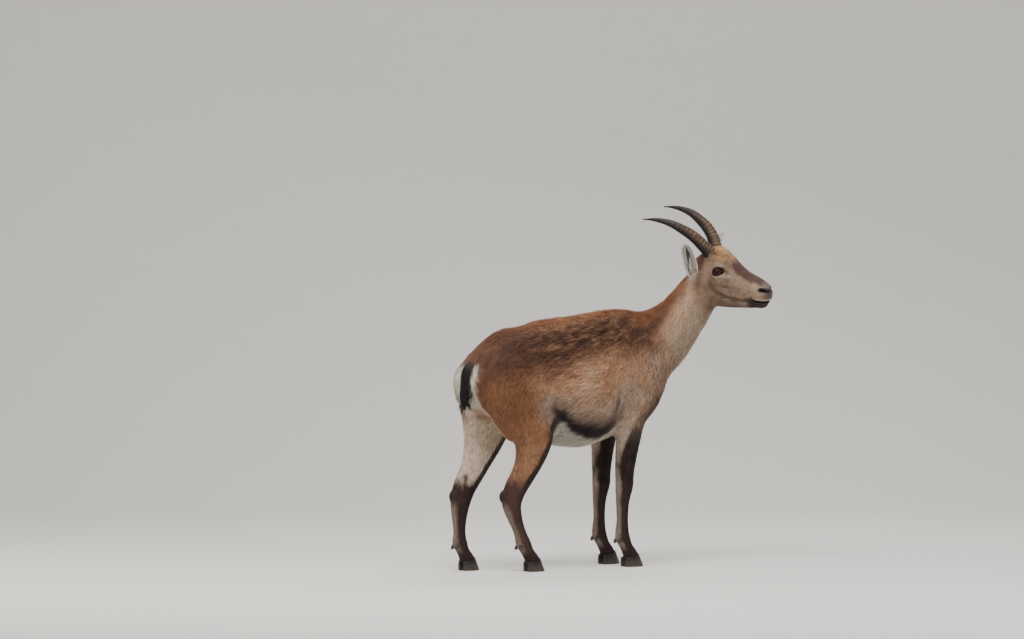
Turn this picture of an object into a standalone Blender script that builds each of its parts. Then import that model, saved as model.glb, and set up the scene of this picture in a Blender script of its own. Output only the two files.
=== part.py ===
"""Alpine ibex (Capra ibex), adult female, as a life-size still model standing with its head turned over its right side.

The animal faces +X with its left side towards +Y and its soles on z = 0. All tables are in centimetres. The flesh is
lofted from tables of sections, fused into one closed surface out to the tips of the coat, and then parted into the
head, neck, trunk and legs by plane cuts with a small gap. Ears, tail, eyes, horns, hooves and dewclaws are their own solids.
"""
import math

import bmesh
import bpy
import numpy as np

CM = 0.01
FOOT_LEVEL = 0.0          # every sole lies in this plane
ORIGIN_X, ORIGIN_Y = -0.114183, 0.051171   # metres; the shift that puts the middle of the bounding box over the origin

# ---- trunk: one row per station, all in centimetres -------------------------------------------
# x, top of the back, underside, half width, height of the widest point, roundness above, roundness below
TRUNK = [
    (-35.6, 59.5, 53.5, 4.4, 56.5, 2.0, 2.0),
    (-34.2, 63.4, 50.0, 7.2, 56.5, 2.0, 2.0),
    (-31.0, 67.0, 46.5, 9.2, 57.5, 1.9, 2.0),
    (-27.0, 70.4, 44.8, 10.4, 59.0, 1.9, 2.0),
    (-23.2, 72.5, 43.2, 11.2, 60.0, 1.9, 2.0),
    (-17.5, 73.0, 41.2, 12.2, 58.0, 1.9, 2.1),
    (-10.5, 74.9, 38.6, 13.5, 56.0, 1.9, 2.2),
    (-3.0, 75.6, 36.6, 14.4, 54.5, 1.9, 2.2),
    (5.0, 76.3, 36.1, 14.4, 54.5, 1.85, 2.2),
    (12.0, 77.6, 37.6, 13.2, 55.5, 1.75, 2.1),
    (18.5, 78.1, 40.6, 11.8, 57.5, 1.65, 2.0),
    (24.0, 77.6, 44.0, 10.6, 58.5, 1.7, 2.0),
    (29.0, 75.4, 48.4, 9.4, 59.5, 1.8, 2.0),
    (33.0, 70.8, 52.4, 8.0, 60.5, 2.0, 2.0),
    (35.8, 65.5, 56.0, 5.6, 60.8, 2.0, 2.0),
    (37.0, 62.6, 58.8, 2.6, 60.6, 2.0, 2.0),
]

# ---- neck: x, y, z, dorsal radius, ventral radius, half width, turn (0 = body's plane, 1 = head's) ----
NECK = [
    (21.0, 0.0, 62.0, 13.0, 12.0, 8.8, 0.0),
    (27.5, -0.1, 64.6, 12.4, 11.6, 8.9, 0.0),
    (32.6, -0.8, 68.0, 11.0, 11.8, 8.6, 0.10),
    (36.6, -2.0, 72.2, 7.6, 10.8, 7.4, 0.30),
    (39.9, -3.2, 76.4, 5.8, 9.6, 6.3, 0.52),
    (42.7, -4.4, 80.2, 5.2, 8.7, 5.6, 0.74),
    (45.1, -5.6, 83.8, 4.9, 7.9, 5.3, 0.90),
    (47.2, -7.3, 86.8, 4.7, 6.8, 5.0, 1.0),
    (48.9, -9.6, 88.4, 4.0, 5.4, 4.6, 1.0),
]

# ---- head: placed by the midpoint between the eyes ---------------------------------------------
EYE_MID = (50.78, -11.96, 89.56)
HEAD_YAW, HEAD_ROLL = -61.0, 13.0      # degrees; the head looks over the right side, left eye raised
# a (forward), top b, underside b, then half widths at 5 heights from the jaw to the crown
HEAD_T = (0.10, 0.34, 0.58, 0.78, 0.94)
HEAD = [
    (-10.8, 0.4, -5.8, 2.2, 3.0, 3.3, 3.0, 2.4),
    (-9.6, 2.6, -8.2, 3.4, 4.4, 4.7, 4.4, 3.4),
    (-7.4, 4.4, -10.3, 3.7, 4.8, 5.2, 4.7, 3.8),
    (-4.8, 5.8, -11.6, 3.5, 4.9, 5.2, 4.5, 4.1),
    (-2.3, 6.5, -12.1, 3.3, 4.8, 5.2, 4.7, 4.2),
    (0.2, 6.1, -12.4, 3.0, 4.6, 5.3, 5.0, 4.2),
    (2.4, 4.1, -12.5, 2.8, 4.2, 5.0, 5.0, 4.3),
    (4.8, 1.15, -12.55, 2.5, 3.7, 4.5, 4.5, 4.0),
    (7.2, -0.95, -12.55, 2.3, 3.3, 3.9, 3.8, 3.4),
    (9.6, -2.25, -12.5, 2.2, 3.0, 3.3, 3.2, 2.9),
    (11.4, -3.1, -12.5, 2.3, 2.9, 3.0, 2.9, 2.6),
    (12.9, -3.85, -12.2, 2.3, 2.9, 3.05, 2.95, 2.6),
    (14.0, -4.65, -11.5, 2.0, 2.7, 2.95, 2.85, 2.4),
    (14.8, -5.5, -10.4, 1.5, 2.3, 2.6, 2.5, 2.0),
    (15.3, -6.6, -9.1, 1.1, 1.7, 2.0, 1.9, 1.4),
]

# ---- legs: x, y, z, front radius, back radius, outer radius, inner radius ------------------------
HIND_R = [
    (-25.0, -5.6, 64.5, 8.0, 7.0, 4.6, 4.0),
    (-23.8, -6.6, 58.5, 11.0, 10.2, 5.4, 5.2),
    (-21.6, -7.6, 51.0, 12.2, 12.0, 5.6, 5.4),
    (-19.2, -8.0, 44.6, 10.2, 10.0, 5.0, 5.0),
    (-17.6, -8.0, 39.2, 7.0, 6.8, 4.3, 4.2),
    (-18.5, -7.8, 34.0, 5.1, 4.8, 3.5, 3.4),
    (-20.9, -7.6, 28.8, 3.9, 3.9, 2.9, 2.8),
    (-23.4, -7.5, 24.4, 3.3, 3.9, 2.6, 2.6),
    (-24.6, -7.4, 20.6, 3.0, 3.3, 2.5, 2.5),
    (-23.6, -7.4, 16.6, 2.3, 2.5, 1.9, 1.9),
    (-21.9, -7.4, 12.2, 1.9, 1.9, 1.7, 1.7),
    (-20.4, -7.4, 8.6, 2.1, 2.3, 2.1, 2.1),
    (-18.8, -7.4, 5.8, 1.8, 1.9, 1.9, 1.9),
    (-17.4, -7.4, 3.6, 2.2, 2.0, 2.3, 2.3),
    (-16.8, -7.4, 2.4, 2.0, 1.8, 2.1, 2.1),
]
HIND_L = [
    (-25.4, 5.6, 64.5, 8.0, 7.0, 4.6, 4.0),
    (-24.6, 6.6, 58.5, 10.6, 9.6, 5.4, 5.2),
    (-23.4, 7.6, 51.0, 11.2, 10.4, 5.4, 5.4),
    (-23.4, 7.8, 44.4, 9.2, 8.6, 4.9, 5.0),
    (-24.6, 7.7, 39.0, 6.9, 6.9, 4.2, 4.2),
    (-26.6, 7.5, 34.0, 5.2, 5.2, 3.5, 3.4),
    (-29.2, 7.4, 28.8, 4.1, 4.2, 2.9, 2.8),
    (-31.6, 7.4, 24.4, 3.5, 4.0, 2.6, 2.6),
    (-33.0, 7.4, 20.4, 3.1, 3.3, 2.5, 2.5),
    (-33.4, 7.4, 16.0, 2.4, 2.5, 1.9, 1.9),
    (-33.4, 7.4, 11.8, 1.9, 1.9, 1.7, 1.7),
    (-33.2, 7.4, 8.4, 2.1, 2.3, 2.1, 2.1),
    (-32.0, 7.4, 5.8, 1.8, 1.9, 1.9, 1.9),
    (-30.8, 7.4, 3.6, 2.2, 2.0, 2.3, 2.3),
    (-30.2, 7.4, 2.4, 2.0, 1.8, 2.1, 2.1),
]
FORE_R = [
    (17.5, -4.6, 70.0, 6.0, 6.0, 3.6, 3.0),
    (21.5, -5.6, 64.5, 8.0, 8.2, 4.6, 4.0),
    (24.6, -6.4, 57.5, 8.6, 9.0, 4.7, 4.4),
    (22.6, -7.0, 50.8, 7.2, 8.2, 4.4, 4.2),
    (19.4, -7.3, 45.8, 5.6, 5.8, 3.8, 3.8),
    (18.4, -7.3, 41.0, 4.7, 4.5, 3.3, 3.3),
    (17.8, -7.1, 36.0, 4.0, 3.8, 2.9, 2.8),
    (17.3, -6.9, 31.0, 3.4, 3.3, 2.6, 2.5),
    (17.0, -6.8, 26.6, 2.9, 2.7, 2.7, 2.6),
    (16.8, -6.8, 23.6, 2.8, 2.5, 2.5, 2.5),
    (16.5, -6.8, 19.6, 2.0, 2.2, 1.9, 1.9),
    (16.4, -6.8, 14.0, 1.7, 1.9, 1.7, 1.7),
    (16.5, -6.8, 9.2, 2.0, 2.4, 2.1, 2.1),
    (17.9, -6.8, 6.0, 1.8, 1.9, 1.9, 1.9),
    (19.2, -6.8, 3.8, 2.2, 2.0, 2.3, 2.3),
    (19.8, -6.8, 2.6, 2.0, 1.8, 2.1, 2.1),
]
FORE_SHIFT = 1.2          # the left foreleg stands this far ahead of the right one

# ---- rounded masses under the coat: centre, then radii along x, y, z ------------------------------
MASSES = [
    ((-22.5, 5.6, 65.9), (6.6, 4.2, 3.2)), ((-22.5, -5.6, 65.9), (6.6, 4.2, 3.2)),      # hip bones
    ((-32.6, 5.6, 56.4), (4.3, 3.6, 6.4)), ((-32.6, -5.6, 56.4), (4.3, 3.6, 6.4)),      # buttocks
    ((29.4, 5.6, 58.2), (4.8, 3.8, 7.4)), ((29.4, -5.6, 58.2), (4.8, 3.8, 7.4)),        # points of the shoulders
    ((14.8, 7.6, 46.8), (2.6, 2.2, 2.6)), ((14.2, -7.6, 46.8), (2.6, 2.2, 2.6)),        # elbows
    ((-27.3, -7.4, 22.6), (1.9, 1.4, 2.2)), ((-35.2, 7.4, 22.3), (1.9, 1.4, 2.2)),      # points of the hocks
    ((32.4, 0.0, 58.0), (4.8, 6.6, 6.8)),                                               # breast
    ((-13.0, -8.8, 46.0), (4.2, 3.4, 4.6)), ((-17.0, 8.6, 45.0), (4.2, 3.4, 4.6)),      # stifles
]

# ---- tail: x, y, z, half width, half depth ---------------------------------------------------------
TAIL = [
    (-31.4, 0.0, 63.8, 2.0, 1.8),
    (-33.8, 0.0, 62.6, 2.0, 1.8),
    (-35.6, 0.0, 60.2, 1.9, 1.6),
    (-36.6, 0.0, 57.2, 1.8, 1.4),
    (-37.0, 0.0, 53.8, 1.7, 1.3),
    (-37.0, 0.0, 50.8, 1.3, 1.0),
    (-36.8, 0.0, 49.2, 0.7, 0.6),
]

# ---- horns: a, b, c in the head's frame, then fore-aft and sideways radii ---------------------------
HORN = [
    (-2.2, 2.6, 1.9, 2.20, 1.80),
    (-3.4, 5.05, 2.4, 2.20, 1.80),
    (-4.6, 7.5, 3.75, 2.12, 1.72),
    (-6.1, 9.9, 4.85, 2.02, 1.62),
    (-8.05, 11.95, 5.7, 1.86, 1.48),
    (-10.3, 13.7, 6.4, 1.64, 1.30),
    (-12.8, 15.2, 7.0, 1.34, 1.07),
    (-15.7, 16.25, 7.4, 1.00, 0.80),
    (-18.8, 16.8, 7.7, 0.62, 0.50),
    (-22.0, 16.95, 7.9, 0.18, 0.15),
]

# ---- ears: root and tip in the head's frame, half width, and which way the hollow faces ---------------
EAR_R = dict(root=(-8.5, -1.7, -4.2), tip=(-8.8, 9.3, -8.0), face=(0.42, -0.10, -1.0), half=2.05)
EAR_L = dict(root=(-7.8, -1.1, 4.2), tip=(-4.2, 9.1, 8.3), face=(0.85, -0.15, 0.75), half=2.05)

EYE_A = -0.4            # how far ahead of the head's own middle the eyes' centres lie
EYE_C = 4.55            # half the distance between the eyes' centres
EYE_R = 1.55            # radius of the eyeball
LID_AXIS = np.array([0.28, 0.10, 1.0])      # the way the left eye looks, in the head's frame
LID_LONG, LID_HIGH = 1.80, 1.18             # half length and half height of the opening between the lids


def unit(v):
    v = np.asarray(v, float)
    return v / max(np.linalg.norm(v), 1e-12)


def head_axes():
    """Forward, up and left of the head in the model's frame."""
    y, r = math.radians(HEAD_YAW), math.radians(HEAD_ROLL)
    f = np.array([math.cos(y), math.sin(y), 0.0])
    l0 = np.array([-math.sin(y), math.cos(y), 0.0])
    z = np.array([0.0, 0.0, 1.0])
    return f, z * math.cos(r) - l0 * math.sin(r), l0 * math.cos(r) + z * math.sin(r)


def from_head(p):
    """Centimetres in the head's frame (a, b, c) to centimetres in the model's."""
    f, u, l = head_axes()
    p = np.asarray(p, float)
    return np.asarray(EYE_MID) + p[..., 0:1] * f + p[..., 1:2] * u + p[..., 2:3] * l


def to_head(q):
    f, u, l = head_axes()
    d = np.asarray(q, float) - np.asarray(EYE_MID)
    return np.stack([d @ f, d @ u, d @ l], -1)


def through(rows, count, key=3):
    """Rows read off a smooth curve through the given rows, evenly along it. The first `key` columns are its position."""
    rows = np.asarray(rows, float)
    step = np.linalg.norm(np.diff(rows[:, :key], axis=0), axis=1) ** 0.5 if key > 1 else np.abs(np.diff(rows[:, 0]))
    t = np.concatenate([[0.0], np.cumsum(np.maximum(step, 1e-6))])
    m = np.zeros_like(rows)
    for i in range(len(rows)):
        if i == 0:
            m[i] = (rows[1] - rows[0]) / (t[1] - t[0])
        elif i == len(rows) - 1:
            m[i] = (rows[-1] - rows[-2]) / (t[-1] - t[-2])
        else:
            d0, d1 = (rows[i] - rows[i - 1]) / (t[i] - t[i - 1]), (rows[i + 1] - rows[i]) / (t[i + 1] - t[i])
            h0, h1 = t[i] - t[i - 1], t[i + 1] - t[i]
            m[i] = (d0 * h1 + d1 * h0) / (h0 + h1)
    at = np.linspace(t[0], t[-1], count)
    k = np.clip(np.searchsorted(t, at, side="right") - 1, 0, len(rows) - 2)
    h = (t[k + 1] - t[k])[:, None]
    s = ((at - t[k]) / (t[k + 1] - t[k]))[:, None]
    return ((2 * s ** 3 - 3 * s ** 2 + 1) * rows[k] + (s ** 3 - 2 * s ** 2 + s) * h * m[k]
            + (-2 * s ** 3 + 3 * s ** 2) * rows[k + 1] + (s ** 3 - s ** 2) * h * m[k + 1])


def tube(rings):
    """A closed mesh from rings of points (K, N, 3), each end closed by a point at its middle."""
    k, n, _ = rings.shape
    verts = np.concatenate([rings.reshape(-1, 3), rings[0].mean(0)[None], rings[-1].mean(0)[None]])
    faces = []
    for i in range(k - 1):
        for j in range(n):
            a, b = i * n + j, i * n + (j + 1) % n
            faces.append((a, b, b + n, a + n))
    for j in range(n):
        faces.append((j, k * n, (j + 1) % n))
        faces.append(((k - 1) * n + j, (k - 1) * n + (j + 1) % n, k * n + 1))
    return verts, faces


def rounded_ends(rings, first=True, last=True, bulge=0.5):
    """Adds a shrinking ring or two past the end rings, so that the ends are domes."""
    out = [rings]
    for use, ring, inner, ahead in ((first, rings[0], rings[1], True), (last, rings[-1], rings[-2], False)):
        if not use:
            continue
        mid = ring.mean(0)
        reach = np.linalg.norm(ring - mid, axis=1).mean() * bulge
        way = unit(mid - inner.mean(0)) * reach
        dome = np.stack([mid + (ring - mid) * math.cos(q) + way * math.sin(q) for q in (0.55, 1.0, 1.35)])
        out = [dome[::-1]] + out if ahead else out + [dome]
    return np.concatenate(out)


def trunk_mesh(count=64, n=40):
    rows = through(TRUNK, count, key=1)
    q = np.linspace(0, 2 * np.pi, n, endpoint=False)
    rings = []
    for x, top, low, w, mid, up, dn in rows:
        c, s = np.cos(q), np.sin(q)
        e = np.where(s >= 0, 2.0 / up, 2.0 / dn)
        y = w * np.sign(c) * np.abs(c) ** e
        z = np.where(s >= 0, mid + (top - mid) * np.abs(s) ** e, mid - (mid - low) * np.abs(s) ** e)
        rings.append(np.stack([np.full(n, x), y, z], 1))
    return tube(rounded_ends(np.array(rings), bulge=0.35))


def swept(rows, ups, n=28, power=2.2):
    """A tube along rows (x, y, z, up radius, down radius, left radius, right radius); ups points to each section's top."""
    pts = rows[:, :3]
    tan = np.gradient(pts, axis=0)
    q = np.linspace(0, 2 * np.pi, n, endpoint=False)
    e = 2.0 / power
    rings = []
    for p, t, r, u in zip(pts, tan, rows[:, 3:], ups):
        t = unit(t)
        u = unit(u - (u @ t) * t)
        s = np.cross(u, t)
        c, d = np.cos(q), np.sin(q)
        ru = np.where(d >= 0, r[0], r[1]) * np.sign(d) * np.abs(d) ** e
        rs = np.where(c >= 0, r[2], r[3]) * np.sign(c) * np.abs(c) ** e
        rings.append(p + ru[:, None] * u + rs[:, None] * s)
    return np.array(rings)


def neck_rows(count=40):
    rows = through(NECK, count)
    f, u, _ = head_axes()
    back = np.array([-0.75, 0.0, 0.66])
    hind = unit(-f * 0.72 + u * 0.7)
    ups = np.array([unit(back * (1 - k) + hind * k) for k in rows[:, 6]])
    return np.column_stack([rows[:, :6], rows[:, 5]]), ups


def neck_mesh(count=40):
    rows, ups = neck_rows(count)
    return tube(rounded_ends(swept(rows, ups, 36, 2.1)))


def head_mesh(count=60, n=44):
    rows = through(HEAD, count, key=1)
    half = n // 2
    phi = np.linspace(0, np.pi, half + 1)
    t = (1 - np.cos(phi)) / 2
    close = np.sin(phi) ** 0.62
    rings = []
    for row in rows:
        a, top, low, widths = row[0], row[1], row[2], row[3:]
        g = np.interp(t, (0.0,) + HEAD_T + (1.0,), np.concatenate([[widths[0]], widths, [widths[-1]]]))
        g = np.convolve(np.concatenate([[g[0]] * 2, g, [g[-1]] * 2]), np.ones(5) / 5, "valid")
        b, w = low + (top - low) * t, g * close * 1.04
        right = np.stack([np.full(half + 1, a), b, -w], 1)
        left = np.stack([np.full(half - 1, a), b[1:-1][::-1], w[1:-1][::-1]], 1)
        rings.append(np.concatenate([right, left]))
    rings = rounded_ends(np.array(rings), bulge=0.3)
    return tube(from_head(rings))


def leg_rows(table, side, count=56, shift=0.0):
    """side is -1 on the right and 1 on the left; the table's own y is kept for the hind legs."""
    rows = np.array(table, float)
    if shift or side * rows[-1, 1] < 0:
        rows[:, 1] = side * np.abs(rows[:, 1])
        rows[:, 0] += shift * np.clip((60.0 - rows[:, 2]) / 20.0, 0, 1)
    return through(rows, count)


def leg_mesh(table, side, count=56, shift=0.0):
    rows = leg_rows(table, side, count, shift)
    if side > 0:                      # looking down the leg with its front on top, left is the outer side
        rows = rows[:, [0, 1, 2, 3, 4, 6, 5]]
    ups = np.tile(np.array([1.0, 0.0, 0.12]), (len(rows), 1))
    return tube(rounded_ends(swept(rows, ups, 26, 2.15), last=True, bulge=0.3))


def tail_mesh(count=26, n=18):
    rows = through(TAIL, count)
    ups = np.tile(np.array([-1.0, 0.0, 0.3]), (len(rows), 1))
    full = np.column_stack([rows[:, :3], rows[:, 4], rows[:, 4], rows[:, 3], rows[:, 3]])
    return tube(rounded_ends(swept(full, ups, n, 2.0)))


def ball_mesh(centre, radii, n=20):
    q, p = np.linspace(0, 2 * np.pi, n, endpoint=False), np.linspace(-np.pi / 2, np.pi / 2, n // 2 + 1)[1:-1]
    rings = np.array([[(math.cos(b) * math.cos(a), math.cos(b) * math.sin(a), math.sin(b)) for a in q] for b in p])
    verts, faces = tube(rings)
    verts[-2], verts[-1] = (0, 0, -1), (0, 0, 1)
    return verts * np.asarray(radii) + np.asarray(centre), faces


def body_pieces(tail=True):
    """Closed tubes and masses, in centimetres, that together make the flesh."""
    made = [trunk_mesh(), neck_mesh(), head_mesh()] + ([tail_mesh()] if tail else [])
    made += [leg_mesh(HIND_R, -1), leg_mesh(HIND_L, 1), leg_mesh(FORE_R, -1), leg_mesh(FORE_R, 1, shift=FORE_SHIFT)]
    made += [ball_mesh(c, r) for c, r in MASSES]
    made += [ball_mesh(from_head(np.array(c)), r) for c, r in HEAD_MASSES]
    return made


# rounded masses of the head, in its own frame: (a, b, c) and one radius for each axis of the model
HEAD_MASSES = [
    ((-0.1, 0.4, 3.5), (2.4, 2.4, 2.2)), ((-0.1, 0.4, -3.5), (2.4, 2.4, 2.2)),          # orbits
    ((-3.0, 4.6, 2.2), (2.3, 2.3, 2.2)), ((-3.0, 4.6, -2.2), (2.3, 2.3, 2.2)),          # seats of the horns
    ((-7.8, -1.2, 3.5), (2.0, 2.0, 2.0)), ((-7.8, -1.2, -3.5), (2.0, 2.0, 2.0)),        # roots of the ears
]


def joined(parts):
    verts, faces, base = [], [], 0
    for v, f in parts:
        verts.append(v)
        faces += [tuple(i + base for i in face) for face in f]
        base += len(v)
    return np.concatenate(verts), faces


def mesh_object(name, verts, faces, scale=CM):
    me = bpy.data.meshes.new(name)
    v = np.asarray(verts, float) * scale + np.array([ORIGIN_X, ORIGIN_Y, 0.0])
    me.from_pydata(v.tolist(), [], [tuple(f) for f in faces])
    me.validate()
    bm = bmesh.new()
    bm.from_mesh(me)
    bmesh.ops.recalc_face_normals(bm, faces=bm.faces)
    bm.to_mesh(me)
    bm.free()
    ob = bpy.data.objects.new(name, me)
    bpy.context.scene.collection.objects.link(ob)
    return ob


def baked(ob):
    """Replaces the object's mesh with what its modifiers make of it."""
    bpy.context.view_layer.update()
    graph = bpy.context.evaluated_depsgraph_get()
    me = bpy.data.meshes.new_from_object(ob.evaluated_get(graph))
    ob.modifiers.clear()
    old, ob.data = ob.data, me
    bpy.data.meshes.remove(old)
    return ob


def fused(ob, voxel):
    mod = ob.modifiers.new("fuse", "REMESH")
    mod.mode, mod.voxel_size, mod.adaptivity = "VOXEL", voxel, 0.0
    return baked(ob)


def coords(me):
    co = np.zeros(len(me.vertices) * 3)
    me.vertices.foreach_get("co", co)
    return co.reshape(-1, 3)


def neighbours(me):
    """For each vertex, its neighbours in a table as wide as the largest valence, padded with the vertex itself, and their number."""
    e = np.zeros(len(me.edges) * 2, np.int64)
    me.edges.foreach_get("vertices", e)
    e = e.reshape(-1, 2)
    a = np.concatenate([e[:, 0], e[:, 1]])
    b = np.concatenate([e[:, 1], e[:, 0]])
    order = np.argsort(a, kind="stable")
    a, b = a[order], b[order]
    n = len(me.vertices)
    count = np.bincount(a, minlength=n)
    start = np.concatenate([[0], np.cumsum(count)[:-1]])
    table = np.tile(np.arange(n)[:, None], (1, int(count.max())))
    table[a, np.arange(len(a)) - start[a]] = b
    return table, count


def normals_of(me, co):
    me.vertices.foreach_set("co", co.ravel())
    me.update()
    no = np.zeros(len(co) * 3)
    me.vertices.foreach_get("normal", no)
    return no.reshape(-1, 3)


def averaged(values, table, count, times):
    """values at each vertex, averaged with its neighbours' the given number of times."""
    pad = (table.shape[1] - count)[:, None] if values.ndim > 1 else table.shape[1] - count
    n = count[:, None] if values.ndim > 1 else count
    for _ in range(times):
        values = 0.5 * values + 0.5 * (values[table].sum(1) - pad * values) / n
    return values


def fill_creases(ob, rounds, spacing, radius=0.07, evens=3):
    """Rounds the hollows tighter than radius, where limbs meet the body, as flesh and skin do, and leaves what bulges."""
    me = ob.data
    co = coords(me)
    table, count = neighbours(me)
    pad = table.shape[1] - count
    least = spacing ** 2 / (4 * radius)
    share = np.zeros(len(co))
    for i in range(rounds + evens):
        mean = (co[table].sum(1) - pad[:, None] * co) / count[:, None]
        step = mean - co
        if i < rounds:
            if i % 3 == 0:
                out = averaged((step * normals_of(me, co)).sum(1), table, count, 3)
                share = averaged(np.clip((out - least) / least, 0, 1), table, count, 2)
            co = co + step * (0.8 * share)[:, None]
        else:
            co = co + step * 0.5
    me.vertices.foreach_set("co", co.ravel())
    me.update()
    return ob


def relaxed(ob, rounds, mask):
    """Evens the surface where mask(centimetres) is above 0, without moving the rest."""
    me = ob.data
    co = coords(me)
    table, count = neighbours(me)
    pad = table.shape[1] - count
    m = mask(placed(co))[:, None]
    for i in range(rounds):
        mean = (co[table].sum(1) - pad[:, None] * co) / count[:, None]
        co = co + (mean - co) * 0.5 * m
    me.vertices.foreach_set("co", co.ravel())
    me.update()
    return ob


def placed(co):
    """Metres in the finished frame to the centimetres of the tables."""
    return (np.asarray(co, float) - np.array([ORIGIN_X, ORIGIN_Y, 0.0])) / CM


def step(v, lo, hi):
    t = np.clip((np.asarray(v, float) - lo) / (hi - lo), 0, 1)
    return t * t * (3 - 2 * t)


def bulk(q):
    """1 on the trunk and the upper legs, 0 on the head, the tail and the lower legs."""
    h = to_head(q)
    away = step(np.linalg.norm(h - np.array([-2.0, -4.0, 0.0]), axis=1), 13.0, 19.0)
    return step(q[:, 2], 38.0, 46.0) * away * (1 - step(-q[:, 0] - np.clip(np.abs(q[:, 1]) - 2.4, 0, 3) * 2.0, 33.0, 35.5) * step(4.2 - np.abs(q[:, 1]), 0.5, 1.8))


def flesh_object(name, voxel, tail=True):
    """The whole animal's flesh out to the tips of its coat, without ears, eyes, horns and hooves."""
    ob = fused(mesh_object(name, *joined(body_pieces(tail))), voxel)
    fill_creases(ob, int(45 * (0.006 / voxel) ** 2), voxel)
    relaxed(ob, int(50 * (0.006 / voxel) ** 2), bulk)
    return ob


def ear_mesh(ear, side, thick=0.34, ns=22, nq=13, grow=0.0):
    """A leaf-shaped ear, hollow towards `face`, rolled into a tube at its root. Centimetres, in the model's frame."""
    root, tip = np.array(ear["root"]), np.array(ear["tip"])
    axis = unit(tip - root)
    length = np.linalg.norm(tip - root)
    face = np.array(ear["face"], float)
    face = unit(face - (face @ axis) * axis)
    across = np.cross(axis, face)
    s = np.linspace(0, 1, ns)
    q = np.linspace(-1, 1, nq)
    half = (ear["half"] + grow) * (np.interp(s, [0, .12, .3, .5, .7, .86, .95, 1], [.50, .74, .97, 1.0, .86, .58, .33, .10]))
    roll = np.interp(s, [0, .25, .6, 1], [2.35, 1.75, 1.15, 0.8])       # how far each side curls round, radians
    grid = np.zeros((ns, nq, 3))
    for i in range(ns):
        radius = half[i] / math.sin(min(roll[i], 1.45)) if roll[i] < 1.45 else half[i] / 1.0
        ang = q * roll[i]
        lat = radius * np.sin(ang) if roll[i] < 1.45 else half[i] * np.sin(ang)
        dep = radius * (1 - np.cos(ang))
        bow = 0.35 * math.sin(math.pi * s[i])
        grid[i] = root + axis * (s[i] * (length + grow)) + across * lat[:, None] + face * (dep - radius * 0.35 - bow)[:, None]
    du = np.gradient(grid, axis=0)
    dv = np.gradient(grid, axis=1)
    no = np.cross(du, dv)
    no /= np.linalg.norm(no, axis=2, keepdims=True) + 1e-9
    if (no[ns // 2, nq // 2] @ face) < 0:
        no = -no
    edge = np.interp(np.abs(q), [0, .8, 1], [1, .85, .35])
    body = np.interp(s, [0, .3, 1], [1.5, 1.0, .55])
    off = 0.5 * (thick + 2 * grow) * edge[None, :, None] * body[:, None, None]
    front, rear = grid + no * off, grid - no * off
    verts = np.concatenate([front.reshape(-1, 3), rear.reshape(-1, 3)])
    m = ns * nq
    faces = []
    for i in range(ns - 1):
        for j in range(nq - 1):
            a = i * nq + j
            faces.append((a, a + 1, a + nq + 1, a + nq))
            faces.append((m + a, m + a + nq, m + a + nq + 1, m + a + 1))
    for j in range(nq - 1):
        faces.append((j, m + j, m + j + 1, j + 1))
        a = (ns - 1) * nq + j
        faces.append((a, a + 1, m + a + 1, m + a))
    for i in range(ns - 1):
        a = i * nq
        faces.append((a, a + nq, m + a + nq, m + a))
        a = i * nq + nq - 1
        faces.append((a, m + a, m + a + nq, a + nq))
    return from_head(verts), faces


def horn_rows(side, count=60):
    rows = through(HORN, count)
    rows[:, 2] *= side
    return rows


def horn_frames(rows):
    """Points, tangents, fore and side directions of a horn in the model's frame, in centimetres."""
    pts = from_head(rows[:, :3])
    tan = np.gradient(pts, axis=0)
    tan /= np.linalg.norm(tan, axis=1, keepdims=True)
    f, u, l = head_axes()
    fore = np.array([unit((f * 0.75 + u * 0.66) - ((f * 0.75 + u * 0.66) @ t) * t) for t in tan])
    return pts, tan, fore, np.cross(tan, fore)


def horn_mesh(side, count=60, n=24, bumps=0.0, knobs=9):
    """A female's horn: an oval section, flatter behind, with low rings that crowd towards the skull."""
    rows = horn_rows(side, count)
    pts, tan, fore, lat = horn_frames(rows)
    run = np.concatenate([[0], np.cumsum(np.linalg.norm(np.diff(pts, axis=0), axis=1))])
    q = np.linspace(0, 2 * np.pi, n, endpoint=False)
    rings = []
    for i in range(len(pts)):
        ridge = 1.0 + bumps * ring_height(run[i], run[-1], knobs)
        c, s = np.cos(q), np.sin(q)
        a = rows[i, 3] * (1 + (ridge - 1) * np.clip(0.35 + 0.65 * c, 0, 1))
        b = rows[i, 4] * (1 + (ridge - 1) * 0.55)
        fa = np.where(c >= 0, 1.0, 0.86) * np.sign(c) * np.abs(c) ** 0.92 * a
        sd = np.sign(s) * np.abs(s) ** 0.92 * b
        rings.append(pts[i] + fore[i] * fa[:, None] + lat[i] * sd[:, None])
    return tube(np.array(rings))


def ring_height(at, length, knobs):
    """Low growth rings along the horn, closest together near the skull."""
    share = np.clip(at / length, 0, 1)
    phase = knobs * (1 - (1 - share) ** 1.6)
    wave = (0.5 - 0.5 * np.cos(2 * np.pi * phase)) ** 1.4
    return wave * np.clip((0.86 - share) / 0.5, 0, 1)


# ---- feet: where each hoof stands (x, y), which way it points (degrees), and the sole's length --------
FEET = {
    "hind_right": (-16.4, -7.4, -3.0, 5.9),
    "hind_left": (-29.8, 7.4, 3.0, 5.9),
    "fore_right": (20.1, -6.8, -4.0, 6.4),
    "fore_left": (20.1 + FORE_SHIFT, 6.8, 4.0, 6.4),
}
CORONET_Z, CORONET_SLOPE, CORONET_BACK = 3.35, 0.26, 0.85     # height, rise towards the toe, and how far behind the sole's middle


def foot_axes(foot):
    x, y, turn, length = FEET[foot]
    f = np.array([math.cos(math.radians(turn)), math.sin(math.radians(turn)), 0.0])
    return np.array([x, y, 0.0]), f, np.array([-f[1], f[0], 0.0]), length


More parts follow.
